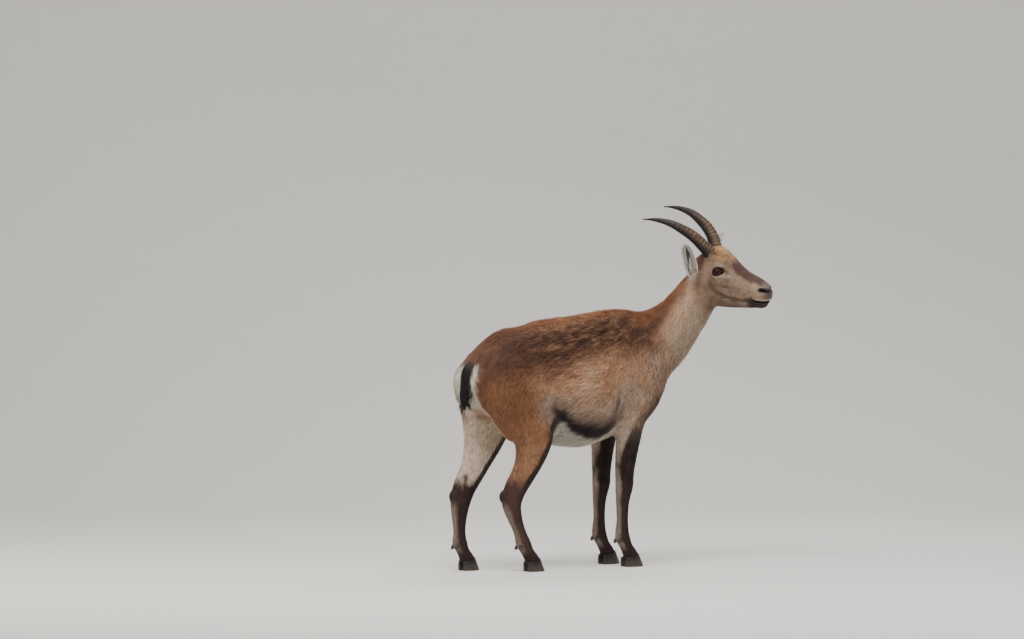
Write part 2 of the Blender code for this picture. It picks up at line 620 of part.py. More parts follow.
def coronet_plane(foot):
    """A point and the upward normal of the plane where hair ends and horn begins."""
    o, f, l, _ = foot_axes(foot)
    return o - f * CORONET_BACK + np.array([0, 0, CORONET_Z]), unit(np.array([0, 0, 1.0]) - f * CORONET_SLOPE)


def claw_mesh(foot, inner, gap=0.03, ns=12):
    """One claw of a cloven hoof: flat sole, sloping toe, steep inner wall, top in the coronet's plane. inner = -1 right, 1 left."""
    o, f, l, length = foot_axes(foot)
    rings = []
    for h, size, wide0 in ((0.0, 1.0, 1.0), (0.12, 1.01, 1.01), (0.5, 0.895, 0.97), (0.86, 0.785, 0.94), (1.0, 0.735, 0.90)):
        half = length * 0.5 * size
        middle = -CORONET_BACK * h - 0.10 * math.sin(math.pi * h)
        pts = []
        for k in range(ns * 2):
            t = 2 * math.pi * (k + 0.5) / (ns * 2)
            cx, sx = math.cos(t), math.sin(t)
            fx = math.copysign(abs(cx) ** 0.86, cx)
            wide = 1.0 - 0.50 * max(fx, 0) ** 2.2 - 0.10 * max(-fx, 0) ** 2
            out = sx * -inner < 0                                  # the half that faces away from the other claw
            side = inner * abs(sx) ** 0.9 * wide * wide0 * (1.16 if out else -0.80)
            along = fx * half + middle
            top = CORONET_Z + CORONET_SLOPE * (along + CORONET_BACK) - gap
            pts.append(o + f * along + l * (inner * (1.17 - 0.16 * max(fx, 0) ** 2 * (1 - 0.5 * h)) + side) + np.array([0, 0, h * top]))
        rings.append(pts)
    return tube(np.array(rings))


def dewclaw_mesh(foot, inner):
    """A small blunt horn low behind the fetlock."""
    rows = {"hind_right": HIND_R, "hind_left": HIND_L}.get(foot, FORE_R)
    x, y, z, _, back = rows[-4][:5]
    if foot == "fore_left":
        x, y = x + FORE_SHIFT, -y
    base = np.array([x - back + 1.0, y + inner * 1.05, z - 0.5])
    tip = np.array([x - back - 0.25, y + inner * 1.30, z - 2.3])
    rows = np.array([np.concatenate([base + (tip - base) * t, [r * 0.8, r * 0.8, r, r]])
                     for t, r in ((0.0, 0.80), (0.45, 0.80), (0.85, 0.52), (1.0, 0.22))])
    return tube(swept(rows, np.tile([-1.0, 0.0, 0.6], (4, 1)), 8, 2.1))


# ---- how the flesh is parted into pieces --------------------------------------------------------------
GAP = 0.035                 # centimetres left between neighbouring solids
HEAD_TRIANGLES, BODY_TRIANGLES = 1150, 2340


def outward(point, normal):
    return np.asarray(point, float), unit(normal)


# planes that bound a piece: a point on each and the normal that points out of the piece
NECK_BASE = ((31.0, -0.5, 68.5), (0.70, -0.10, 0.70))
FORE_ROOT = [((11.2, 0, 44.0), (-1.0, 0, -0.10)), ((0, 0, 66.0), (0, 0, 1.0))]
HIND_ROOT = [((-7.6, 0, 42.0), (0.94, 0, 0.34)), ((0, 0, 67.0), (0, 0, 1.0))]
INNER_LOW, INNER_HIGH = (1.7, 36.0), (8.8, 68.0)            # y and z of the slanting wall between leg and trunk


def head_base():
    f, u, l = head_axes()
    return from_head(np.array([-10.2, 3.2, 0.0])), unit(f * 0.932 + u * 0.36)


def solid_between(name, planes, grow=0.0, reach=140.0):
    """The convex solid inside all the planes, each moved outwards by grow. Centimetres."""
    box = [((s * reach, 0, 0), (s, 0, 0)) for s in (-1, 1)] + [((0, s * reach, 0), (0, s, 0)) for s in (-1, 1)] \
        + [((0, 0, s * reach), (0, 0, s)) for s in (-1, 1)]
    rows = [outward(p, n) for p, n in list(planes)] + [outward(p, n) for p, n in box]
    n = np.array([r[1] for r in rows])
    d = np.array([r[0] @ r[1] for r in rows])
    d[:len(planes)] += grow
    corners = []
    for i in range(len(n)):
        for j in range(i + 1, len(n)):
            for k in range(j + 1, len(n)):
                m = n[[i, j, k]]
                if abs(np.linalg.det(m)) < 1e-6:
                    continue
                p = np.linalg.solve(m, d[[i, j, k]])
                if np.all(n @ p <= d + 1e-6) and all(np.linalg.norm(p - c) > 1e-4 for c in corners):
                    corners.append(p)
    bm = bmesh.new()
    for c in corners:
        bm.verts.new((c * CM + np.array([ORIGIN_X, ORIGIN_Y, 0.0])).tolist())
    hull = bmesh.ops.convex_hull(bm, input=bm.verts)
    spare = [v for v in hull["geom_interior"] + hull["geom_unused"] if isinstance(v, bmesh.types.BMVert)]
    bmesh.ops.delete(bm, geom=spare, context="VERTS")
    bmesh.ops.recalc_face_normals(bm, faces=bm.faces)
    me = bpy.data.meshes.new(name)
    bm.to_mesh(me)
    bm.free()
    ob = bpy.data.objects.new(name, me)
    bpy.context.scene.collection.objects.link(ob)
    return ob


def leg_planes(foot):
    """The planes around one whole leg, from its slanting inner wall down to the coronet."""
    side = 1 if foot.endswith("left") else -1
    rise = np.array([0.0, side * (INNER_HIGH[0] - INNER_LOW[0]), INNER_HIGH[1] - INNER_LOW[1]])
    inner = np.cross(rise, (1.0, 0, 0)) * side            # points to the body's middle and up
    inner = unit(inner) if inner[1] * side < 0 else -unit(inner)
    p, up = coronet_plane(foot)
    root = FORE_ROOT if foot.startswith("fore") else HIND_ROOT
    return [((0, side * INNER_LOW[0], INNER_LOW[1]), inner), (tuple(p), tuple(-up))] + list(root)


def without(ob, tool, how="DIFFERENCE"):
    mod = ob.modifiers.new("cut", "BOOLEAN")
    mod.operation, mod.solver, mod.object = how, "EXACT", tool
    return baked(ob)


def copy_of(ob, name):
    new = bpy.data.objects.new(name, ob.data.copy())
    bpy.context.scene.collection.objects.link(new)
    return new


def removed(*obs):
    for ob in obs:
        me = ob.data
        bpy.data.objects.remove(ob)
        bpy.data.meshes.remove(me)


def swollen(ob, name, by):
    """A copy whose surface stands `by` centimetres further out, used to keep a gap."""
    new = copy_of(ob, name)
    co = coords(new.data)
    co = co + normals_of(new.data, co) * by * CM
    new.data.vertices.foreach_set("co", co.ravel())
    new.data.update()
    return new


def one_body(ob, name, least=1e-9):
    """Cleans a cut piece: merges doubles, triangulates, and keeps the largest of its bodies."""
    bm = bmesh.new()
    bm.from_mesh(ob.data)
    bmesh.ops.remove_doubles(bm, verts=bm.verts, dist=2e-6)
    bmesh.ops.dissolve_degenerate(bm, dist=1e-6, edges=bm.edges)
    bmesh.ops.triangulate(bm, faces=bm.faces)
    bm.verts.ensure_lookup_table()
    seen, groups = set(), []
    for v in bm.verts:
        if v.index in seen:
            continue
        stack, group = [v], []
        seen.add(v.index)
        while stack:
            w = stack.pop()
            group.append(w)
            for e in w.link_edges:
                o = e.other_vert(w)
                if o.index not in seen:
                    seen.add(o.index)
                    stack.append(o)
        groups.append(group)
    groups.sort(key=len, reverse=True)
    for g in groups[1:]:
        bmesh.ops.delete(bm, geom=g, context="VERTS")
    bm.to_mesh(ob.data)
    bm.free()
    ob.name = ob.data.name = name
    return ob


def lighter(ob, where, triangles):
    """Leaves about this many triangles in the part of the surface that where(centimetres) picks, and the rest as it is."""
    inside = where(placed(coords(ob.data)))
    group = ob.vertex_groups.new(name="lighter")
    group.add(np.nonzero(inside)[0].tolist(), 1.0, "REPLACE")
    sides = np.array([len(p.vertices) - 2 for p in ob.data.polygons])
    mine = np.array([inside[p.vertices[0]] for p in ob.data.polygons])
    have, own = sides.sum(), sides[mine].sum()
    mod = ob.modifiers.new("lighter", "DECIMATE")
    mod.decimate_type, mod.ratio, mod.use_collapse_triangulate = "COLLAPSE", (have - own + triangles) / have, True
    mod.vertex_group, mod.vertex_group_factor = "lighter", 1.0
    baked(ob)
    ob.vertex_groups.clear()
    return ob


def on_head(q):
    p, n = head_base()
    return (q - p) @ n > -1.5


def lid_opening(side, grow=0.0):
    """A cone with an oval section that opens the lids over the eyeball."""
    n = 14
    c, out = np.array([EYE_A, 0.0, side * EYE_C]), unit(LID_AXIS * np.array([1, 1, side]))
    fore = unit(np.array([1.0, -0.12, 0]) - (np.array([1.0, -0.12, 0]) @ out) * out)
    up = np.cross(out, fore) * side
    up = up if up[1] > 0 else -up
    rings = []
    for d, k in ((0.2, 0.62), (1.2, 0.92), (2.6, 1.35)):
        rings.append([c + out * d + (fore * math.cos(t) * LID_LONG + up * math.sin(t) * LID_HIGH) * k
                      for t in np.linspace(0, 2 * math.pi, n, endpoint=False)])
    v, f = tube(np.array(rings))
    return from_head(v), f


def nostril_mesh(side):
    v, f = ball_mesh((0, 0, 0), (1.05, 0.42, 0.50), 8)
    turn = math.radians(-10.0)
    a, b = v[:, 0] * math.cos(turn) - v[:, 1] * math.sin(turn), v[:, 0] * math.sin(turn) + v[:, 1] * math.cos(turn)
    return from_head(np.stack([a + 13.9, b - 6.2, v[:, 2] + side * (2.25 - 0.55 * a)], 1)), f


def mouth_mesh():
    """A thin wedge around the front of the muzzle: its edge inside, its open side out."""
    line = [(8.7, -8.8, 1.0), (10.6, -9.35, 1.0), (12.4, -9.7, 0.95), (13.6, -9.85, 0.82), (14.5, -9.95, 0.6), (15.0, -10.0, 0.3)]
    way = [(a, b, -3.5 * w) for a, b, w in line] + [(15.2, -10.0, 0.0)] + [(a, b, 3.5 * w) for a, b, w in reversed(line)]
    rings = []
    for i, (a, b, c) in enumerate(way):
        inside = np.array([a * 0.93 + 0.2, b, c * 0.62])
        out = np.array([a + 0.5, b, c * 1.1])
        thin = 0.07 if 0 < i < len(way) - 1 else 0.03
        rings.append([inside, out + (0, thin, 0), out - (0, thin, 0)])
    return tube(from_head(np.array(rings)))


def painted(ob, name, colour, rough, metal=0.0):
    mat = bpy.data.materials.get(name)
    if mat is None:
        mat = bpy.data.materials.new(name)
        mat.use_nodes = True
        shader = mat.node_tree.nodes["Principled BSDF"]
        shader.inputs["Base Color"].default_value = (*colour, 1.0)
        shader.inputs["Roughness"].default_value = rough
        shader.inputs["Metallic"].default_value = metal
        mat.diffuse_color = (*colour, 1.0)
    ob.data.materials.clear()
    ob.data.materials.append(mat)
    return ob


def smooth(ob, angle=38):
    ob.data.shade_smooth()
    ob.data.set_sharp_from_angle(angle=math.radians(angle))


def build():
    for ob in list(bpy.data.objects):
        bpy.data.objects.remove(ob)

    flesh = flesh_object("flesh", 0.006, tail=False)
    lighter(flesh, on_head, HEAD_TRIANGLES)
    lighter(flesh, lambda q: ~on_head(q), BODY_TRIANGLES)
    wide = swollen(flesh, "flesh_wide", GAP)
    made = {}

    # tail, ears, horns and dewclaws stand on the flesh, and stop a hair's breadth short of it
    for name, mesh in (("tail", tail_mesh(12, 12)),
                       ("ear_right", ear_mesh(EAR_R, -1, ns=9, nq=6)), ("ear_left", ear_mesh(EAR_L, 1, ns=9, nq=6)),
                       ("horn_right", horn_mesh(-1, 20, 10)), ("horn_left", horn_mesh(1, 20, 10))):
        made[name] = one_body(without(mesh_object(name, *mesh), wide), name)
    for foot in FEET:
        for inner, which in ((-1, "r"), (1, "l")):
            name = f"dewclaw_{foot}_{which}"
            made[name] = one_body(without(mesh_object(name, *dewclaw_mesh(foot, inner)), wide), name)
            name = f"hoof_{foot}_{which}"
            made[name] = mesh_object(name, *claw_mesh(foot, inner, GAP, 6))

    # the head comes off behind the jaw, the neck above the shoulders
    p, n = head_base()
    behind = solid_between("behind_head", [(p, n)])
    ahead = solid_between("ahead_of_behind", [(p, -n)], -GAP)
    head = without(copy_of(flesh, "head"), ahead, "INTERSECT")
    rest = without(copy_of(flesh, "rest"), behind, "INTERSECT")
    p, n = (np.array(v, float) for v in NECK_BASE)
    below, above = solid_between("below_neck", [(p, n)]), solid_between("above_base", [(p, -n)], -GAP)
    neck = without(copy_of(rest, "neck"), above, "INTERSECT")
    trunk = without(rest, below, "INTERSECT")
    made["neck"] = one_body(neck, "neck")

    # eyes in their sockets, nostrils and the line of the mouth
    for side, name in ((-1, "eye_right"), (1, "eye_left")):
        centre = from_head(np.array([EYE_A, 0.0, side * EYE_C]))
        made[name] = mesh_object(name, *ball_mesh(centre, (EYE_R,) * 3, 14))
        socket = mesh_object("socket", *ball_mesh(centre, (EYE_R + GAP,) * 3, 14))
        lids = mesh_object("lids", *lid_opening(side))
        nose = mesh_object("nostril", *nostril_mesh(side))
        for tool in (socket, lids, nose):
            without(head, tool)
        removed(socket, lids, nose)
    mouth = mesh_object("mouth", *mouth_mesh())
    made["head"] = one_body(without(head, mouth), "head")

    # legs
    for foot in FEET:
        planes = leg_planes(foot)
        tight, loose = solid_between("tight", planes), solid_between("loose", planes, GAP)
        made[f"leg_{foot}"] = one_body(without(copy_of(trunk, foot), tight, "INTERSECT"), f"leg_{foot}")
        without(trunk, loose)
        removed(tight, loose)
    made["trunk"] = one_body(trunk, "trunk")
    removed(flesh, wide, behind, ahead, below, above, mouth)

    for name, ob in made.items():
        colour, rough, kind = next(v for k, v in LOOKS.items() if name.startswith(k))
        painted(ob, kind, colour, rough)
        smooth(ob, 60 if kind in ("coat", "skin") else 34)
        ob.data.name = name
    return made


LOOKS = {
    "trunk": ((0.25, 0.15, 0.09), 0.85, "trunk_coat"),
    "neck": ((0.31, 0.21, 0.14), 0.85, "neck_coat"),
    "head": ((0.33, 0.25, 0.18), 0.85, "head_coat"),
    "tail": ((0.05, 0.035, 0.03), 0.85, "tail_coat"),
    "leg_fore": ((0.17, 0.12, 0.09), 0.85, "foreleg_coat"),
    "leg_hind": ((0.27, 0.16, 0.09), 0.85, "hindleg_coat"),
    "ear": ((0.45, 0.38, 0.30), 0.85, "ear_coat"),
    "eye": ((0.03, 0.02, 0.012), 0.08, "eye_surface"),
    "horn": ((0.14, 0.115, 0.09), 0.55, "horn_sheath"),
    "hoof": ((0.05, 0.042, 0.036), 0.50, "hoof_horn"),
    "dewclaw": ((0.055, 0.045, 0.04), 0.50, "dewclaw_horn"),
}

build()
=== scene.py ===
"""The looks of a female alpine ibex, a still life-size model: one skin under a coat of mesh tufts, horns, eyes and hooves, on a plain studio floor."""
import math

import bmesh
import bpy
import numpy as np
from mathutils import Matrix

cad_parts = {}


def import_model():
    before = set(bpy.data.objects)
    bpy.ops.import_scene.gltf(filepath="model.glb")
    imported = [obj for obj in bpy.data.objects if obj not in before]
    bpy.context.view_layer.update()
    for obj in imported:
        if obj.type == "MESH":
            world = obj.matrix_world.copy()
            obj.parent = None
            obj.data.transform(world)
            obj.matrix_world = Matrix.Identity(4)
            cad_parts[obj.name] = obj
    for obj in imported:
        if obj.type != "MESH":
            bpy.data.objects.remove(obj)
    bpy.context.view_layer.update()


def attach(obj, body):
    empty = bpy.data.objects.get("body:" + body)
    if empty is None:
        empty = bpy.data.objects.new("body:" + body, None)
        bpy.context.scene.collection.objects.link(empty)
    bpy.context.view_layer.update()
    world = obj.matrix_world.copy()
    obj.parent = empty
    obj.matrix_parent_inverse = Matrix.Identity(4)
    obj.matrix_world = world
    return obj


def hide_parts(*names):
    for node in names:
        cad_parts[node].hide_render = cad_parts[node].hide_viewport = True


CM = 0.01
FOOT_LEVEL = 0.0          # every sole lies in this plane
ORIGIN_X, ORIGIN_Y = -0.114183, 0.051171   # metres; the shift that puts the middle of the bounding box over the origin

# ---- trunk: one row per station, all in centimetres -------------------------------------------
# x, top of the back, underside, half width, height of the widest point, roundness above, roundness below
TRUNK = [
    (-35.6, 59.5, 53.5, 4.4, 56.5, 2.0, 2.0),
    (-34.2, 63.4, 50.0, 7.2, 56.5, 2.0, 2.0),
    (-31.0, 67.0, 46.5, 9.2, 57.5, 1.9, 2.0),
    (-27.0, 70.4, 44.8, 10.4, 59.0, 1.9, 2.0),
    (-23.2, 72.5, 43.2, 11.2, 60.0, 1.9, 2.0),
    (-17.5, 73.0, 41.2, 12.2, 58.0, 1.9, 2.1),
    (-10.5, 74.9, 38.6, 13.5, 56.0, 1.9, 2.2),
    (-3.0, 75.6, 36.6, 14.4, 54.5, 1.9, 2.2),
    (5.0, 76.3, 36.1, 14.4, 54.5, 1.85, 2.2),
    (12.0, 77.6, 37.6, 13.2, 55.5, 1.75, 2.1),
    (18.5, 78.1, 40.6, 11.8, 57.5, 1.65, 2.0),
    (24.0, 77.6, 44.0, 10.6, 58.5, 1.7, 2.0),
    (29.0, 75.4, 48.4, 9.4, 59.5, 1.8, 2.0),
    (33.0, 70.8, 52.4, 8.0, 60.5, 2.0, 2.0),
    (35.8, 65.5, 56.0, 5.6, 60.8, 2.0, 2.0),
    (37.0, 62.6, 58.8, 2.6, 60.6, 2.0, 2.0),
]

# ---- neck: x, y, z, dorsal radius, ventral radius, half width, turn (0 = body's plane, 1 = head's) ----
NECK = [
    (21.0, 0.0, 62.0, 13.0, 12.0, 8.8, 0.0),
    (27.5, -0.1, 64.6, 12.4, 11.6, 8.9, 0.0),
    (32.6, -0.8, 68.0, 11.0, 11.8, 8.6, 0.10),
    (36.6, -2.0, 72.2, 7.6, 10.8, 7.4, 0.30),
    (39.9, -3.2, 76.4, 5.8, 9.6, 6.3, 0.52),
    (42.7, -4.4, 80.2, 5.2, 8.7, 5.6, 0.74),
    (45.1, -5.6, 83.8, 4.9, 7.9, 5.3, 0.90),
    (47.2, -7.3, 86.8, 4.7, 6.8, 5.0, 1.0),
    (48.9, -9.6, 88.4, 4.0, 5.4, 4.6, 1.0),
]

# ---- head: placed by the midpoint between the eyes ---------------------------------------------
EYE_MID = (50.78, -11.96, 89.56)
HEAD_YAW, HEAD_ROLL = -61.0, 13.0      # degrees; the head looks over the right side, left eye raised
# a (forward), top b, underside b, then half widths at 5 heights from the jaw to the crown
HEAD_T = (0.10, 0.34, 0.58, 0.78, 0.94)
HEAD = [
    (-10.8, 0.4, -5.8, 2.2, 3.0, 3.3, 3.0, 2.4),
    (-9.6, 2.6, -8.2, 3.4, 4.4, 4.7, 4.4, 3.4),
    (-7.4, 4.4, -10.3, 3.7, 4.8, 5.2, 4.7, 3.8),
    (-4.8, 5.8, -11.6, 3.5, 4.9, 5.2, 4.5, 4.1),
    (-2.3, 6.5, -12.1, 3.3, 4.8, 5.2, 4.7, 4.2),
    (0.2, 6.1, -12.4, 3.0, 4.6, 5.3, 5.0, 4.2),
    (2.4, 4.1, -12.5, 2.8, 4.2, 5.0, 5.0, 4.3),
    (4.8, 1.15, -12.55, 2.5, 3.7, 4.5, 4.5, 4.0),
    (7.2, -0.95, -12.55, 2.3, 3.3, 3.9, 3.8, 3.4),
    (9.6, -2.25, -12.5, 2.2, 3.0, 3.3, 3.2, 2.9),
    (11.4, -3.1, -12.5, 2.3, 2.9, 3.0, 2.9, 2.6),
    (12.9, -3.85, -12.2, 2.3, 2.9, 3.05, 2.95, 2.6),
    (14.0, -4.65, -11.5, 2.0, 2.7, 2.95, 2.85, 2.4),
    (14.8, -5.5, -10.4, 1.5, 2.3, 2.6, 2.5, 2.0),
    (15.3, -6.6, -9.1, 1.1, 1.7, 2.0, 1.9, 1.4),
]

# ---- legs: x, y, z, front radius, back radius, outer radius, inner radius ------------------------
HIND_R = [
    (-25.0, -5.6, 64.5, 8.0, 7.0, 4.6, 4.0),
    (-23.8, -6.6, 58.5, 11.0, 10.2, 5.4, 5.2),
    (-21.6, -7.6, 51.0, 12.2, 12.0, 5.6, 5.4),
    (-19.2, -8.0, 44.6, 10.2, 10.0, 5.0, 5.0),
    (-17.6, -8.0, 39.2, 7.0, 6.8, 4.3, 4.2),
    (-18.5, -7.8, 34.0, 5.1, 4.8, 3.5, 3.4),
    (-20.9, -7.6, 28.8, 3.9, 3.9, 2.9, 2.8),
    (-23.4, -7.5, 24.4, 3.3, 3.9, 2.6, 2.6),
    (-24.6, -7.4, 20.6, 3.0, 3.3, 2.5, 2.5),
    (-23.6, -7.4, 16.6, 2.3, 2.5, 1.9, 1.9),
    (-21.9, -7.4, 12.2, 1.9, 1.9, 1.7, 1.7),
    (-20.4, -7.4, 8.6, 2.1, 2.3, 2.1, 2.1),
    (-18.8, -7.4, 5.8, 1.8, 1.9, 1.9, 1.9),
    (-17.4, -7.4, 3.6, 2.2, 2.0, 2.3, 2.3),
    (-16.8, -7.4, 2.4, 2.0, 1.8, 2.1, 2.1),
]
HIND_L = [
    (-25.4, 5.6, 64.5, 8.0, 7.0, 4.6, 4.0),
    (-24.6, 6.6, 58.5, 10.6, 9.6, 5.4, 5.2),
    (-23.4, 7.6, 51.0, 11.2, 10.4, 5.4, 5.4),
    (-23.4, 7.8, 44.4, 9.2, 8.6, 4.9, 5.0),
    (-24.6, 7.7, 39.0, 6.9, 6.9, 4.2, 4.2),
    (-26.6, 7.5, 34.0, 5.2, 5.2, 3.5, 3.4),
    (-29.2, 7.4, 28.8, 4.1, 4.2, 2.9, 2.8),
    (-31.6, 7.4, 24.4, 3.5, 4.0, 2.6, 2.6),
    (-33.0, 7.4, 20.4, 3.1, 3.3, 2.5, 2.5),
    (-33.4, 7.4, 16.0, 2.4, 2.5, 1.9, 1.9),
    (-33.4, 7.4, 11.8, 1.9, 1.9, 1.7, 1.7),
    (-33.2, 7.4, 8.4, 2.1, 2.3, 2.1, 2.1),
    (-32.0, 7.4, 5.8, 1.8, 1.9, 1.9, 1.9),
    (-30.8, 7.4, 3.6, 2.2, 2.0, 2.3, 2.3),
    (-30.2, 7.4, 2.4, 2.0, 1.8, 2.1, 2.1),
]
FORE_R = [
    (17.5, -4.6, 70.0, 6.0, 6.0, 3.6, 3.0),
    (21.5, -5.6, 64.5, 8.0, 8.2, 4.6, 4.0),
    (24.6, -6.4, 57.5, 8.6, 9.0, 4.7, 4.4),
    (22.6, -7.0, 50.8, 7.2, 8.2, 4.4, 4.2),
    (19.4, -7.3, 45.8, 5.6, 5.8, 3.8, 3.8),
    (18.4, -7.3, 41.0, 4.7, 4.5, 3.3, 3.3),
    (17.8, -7.1, 36.0, 4.0, 3.8, 2.9, 2.8),
    (17.3, -6.9, 31.0, 3.4, 3.3, 2.6, 2.5),
    (17.0, -6.8, 26.6, 2.9, 2.7, 2.7, 2.6),
    (16.8, -6.8, 23.6, 2.8, 2.5, 2.5, 2.5),
    (16.5, -6.8, 19.6, 2.0, 2.2, 1.9, 1.9),
    (16.4, -6.8, 14.0, 1.7, 1.9, 1.7, 1.7),
    (16.5, -6.8, 9.2, 2.0, 2.4, 2.1, 2.1),
    (17.9, -6.8, 6.0, 1.8, 1.9, 1.9, 1.9),
    (19.2, -6.8, 3.8, 2.2, 2.0, 2.3, 2.3),
    (19.8, -6.8, 2.6, 2.0, 1.8, 2.1, 2.1),
]
FORE_SHIFT = 1.2          # the left foreleg stands this far ahead of the right one

# ---- rounded masses under the coat: centre, then radii along x, y, z ------------------------------
MASSES = [
    ((-22.5, 5.6, 65.9), (6.6, 4.2, 3.2)), ((-22.5, -5.6, 65.9), (6.6, 4.2, 3.2)),      # hip bones
    ((-32.6, 5.6, 56.4), (4.3, 3.6, 6.4)), ((-32.6, -5.6, 56.4), (4.3, 3.6, 6.4)),      # buttocks
    ((29.4, 5.6, 58.2), (4.8, 3.8, 7.4)), ((29.4, -5.6, 58.2), (4.8, 3.8, 7.4)),        # points of the shoulders
    ((14.8, 7.6, 46.8), (2.6, 2.2, 2.6)), ((14.2, -7.6, 46.8), (2.6, 2.2, 2.6)),        # elbows
    ((-27.3, -7.4, 22.6), (1.9, 1.4, 2.2)), ((-35.2, 7.4, 22.3), (1.9, 1.4, 2.2)),      # points of the hocks
    ((32.4, 0.0, 58.0), (4.8, 6.6, 6.8)),                                               # breast
    ((-13.0, -8.8, 46.0), (4.2, 3.4, 4.6)), ((-17.0, 8.6, 45.0), (4.2, 3.4, 4.6)),      # stifles
]

# ---- tail: x, y, z, half width, half depth ---------------------------------------------------------
TAIL = [
    (-31.4, 0.0, 63.8, 2.0, 1.8),
    (-33.8, 0.0, 62.6, 2.0, 1.8),
    (-35.6, 0.0, 60.2, 1.9, 1.6),
    (-36.6, 0.0, 57.2, 1.8, 1.4),
    (-37.0, 0.0, 53.8, 1.7, 1.3),
    (-37.0, 0.0, 50.8, 1.3, 1.0),
    (-36.8, 0.0, 49.2, 0.7, 0.6),
]

# ---- horns: a, b, c in the head's frame, then fore-aft and sideways radii ---------------------------
HORN = [
    (-2.2, 2.6, 1.9, 2.20, 1.80),
    (-3.4, 5.05, 2.4, 2.20, 1.80),
    (-4.6, 7.5, 3.75, 2.12, 1.72),
    (-6.1, 9.9, 4.85, 2.02, 1.62),
    (-8.05, 11.95, 5.7, 1.86, 1.48),
    (-10.3, 13.7, 6.4, 1.64, 1.30),
    (-12.8, 15.2, 7.0, 1.34, 1.07),
    (-15.7, 16.25, 7.4, 1.00, 0.80),
    (-18.8, 16.8, 7.7, 0.62, 0.50),
    (-22.0, 16.95, 7.9, 0.18, 0.15),
]

# ---- ears: root and tip in the head's frame, half width, and which way the hollow faces ---------------
EAR_R = dict(root=(-8.5, -1.7, -4.2), tip=(-8.8, 9.3, -8.0), face=(0.42, -0.10, -1.0), half=2.05)
EAR_L = dict(root=(-7.8, -1.1, 4.2), tip=(-4.2, 9.1, 8.3), face=(0.85, -0.15, 0.75), half=2.05)

EYE_A = -0.4            # how far ahead of the head's own middle the eyes' centres lie
EYE_C = 4.55            # half the distance between the eyes' centres
EYE_R = 1.55            # radius of the eyeball
LID_AXIS = np.array([0.28, 0.10, 1.0])      # the way the left eye looks, in the head's frame
LID_LONG, LID_HIGH = 1.80, 1.18             # half length and half height of the opening between the lids


def unit(v):
    v = np.asarray(v, float)
    return v / max(np.linalg.norm(v), 1e-12)


def head_axes():
    """Forward, up and left of the head in the model's frame."""
    y, r = math.radians(HEAD_YAW), math.radians(HEAD_ROLL)
    f = np.array([math.cos(y), math.sin(y), 0.0])
    l0 = np.array([-math.sin(y), math.cos(y), 0.0])
    z = np.array([0.0, 0.0, 1.0])
    return f, z * math.cos(r) - l0 * math.sin(r), l0 * math.cos(r) + z * math.sin(r)


def from_head(p):
    """Centimetres in the head's frame (a, b, c) to centimetres in the model's."""
    f, u, l = head_axes()
    p = np.asarray(p, float)
    return np.asarray(EYE_MID) + p[..., 0:1] * f + p[..., 1:2] * u + p[..., 2:3] * l


def to_head(q):
    f, u, l = head_axes()
    d = np.asarray(q, float) - np.asarray(EYE_MID)
    return np.stack([d @ f, d @ u, d @ l], -1)


def through(rows, count, key=3):
    """Rows read off a smooth curve through the given rows, evenly along it. The first `key` columns are its position."""
    rows = np.asarray(rows, float)
    step = np.linalg.norm(np.diff(rows[:, :key], axis=0), axis=1) ** 0.5 if key > 1 else np.abs(np.diff(rows[:, 0]))
    t = np.concatenate([[0.0], np.cumsum(np.maximum(step, 1e-6))])
    m = np.zeros_like(rows)
    for i in range(len(rows)):
        if i == 0:
            m[i] = (rows[1] - rows[0]) / (t[1] - t[0])
        elif i == len(rows) - 1:
            m[i] = (rows[-1] - rows[-2]) / (t[-1] - t[-2])
        else:
            d0, d1 = (rows[i] - rows[i - 1]) / (t[i] - t[i - 1]), (rows[i + 1] - rows[i]) / (t[i + 1] - t[i])
            h0, h1 = t[i] - t[i - 1], t[i + 1] - t[i]
            m[i] = (d0 * h1 + d1 * h0) / (h0 + h1)
    at = np.linspace(t[0], t[-1], count)
    k = np.clip(np.searchsorted(t, at, side="right") - 1, 0, len(rows) - 2)
    h = (t[k + 1] - t[k])[:, None]
    s = ((at - t[k]) / (t[k + 1] - t[k]))[:, None]
    return ((2 * s ** 3 - 3 * s ** 2 + 1) * rows[k] + (s ** 3 - 2 * s ** 2 + s) * h * m[k]
            + (-2 * s ** 3 + 3 * s ** 2) * rows[k + 1] + (s ** 3 - s ** 2) * h * m[k + 1])


def tube(rings):
    """A closed mesh from rings of points (K, N, 3), each end closed by a point at its middle."""
    k, n, _ = rings.shape
    verts = np.concatenate([rings.reshape(-1, 3), rings[0].mean(0)[None], rings[-1].mean(0)[None]])
    faces = []
    for i in range(k - 1):
        for j in range(n):
            a, b = i * n + j, i * n + (j + 1) % n
            faces.append((a, b, b + n, a + n))
    for j in range(n):
        faces.append((j, k * n, (j + 1) % n))
        faces.append(((k - 1) * n + j, (k - 1) * n + (j + 1) % n, k * n + 1))
    return verts, faces


def rounded_ends(rings, first=True, last=True, bulge=0.5):
    """Adds a shrinking ring or two past the end rings, so that the ends are domes."""
    out = [rings]
    for use, ring, inner, ahead in ((first, rings[0], rings[1], True), (last, rings[-1], rings[-2], False)):
        if not use:
            continue
        mid = ring.mean(0)
        reach = np.linalg.norm(ring - mid, axis=1).mean() * bulge
        way = unit(mid - inner.mean(0)) * reach
        dome = np.stack([mid + (ring - mid) * math.cos(q) + way * math.sin(q) for q in (0.55, 1.0, 1.35)])
        out = [dome[::-1]] + out if ahead else out + [dome]
    return np.concatenate(out)


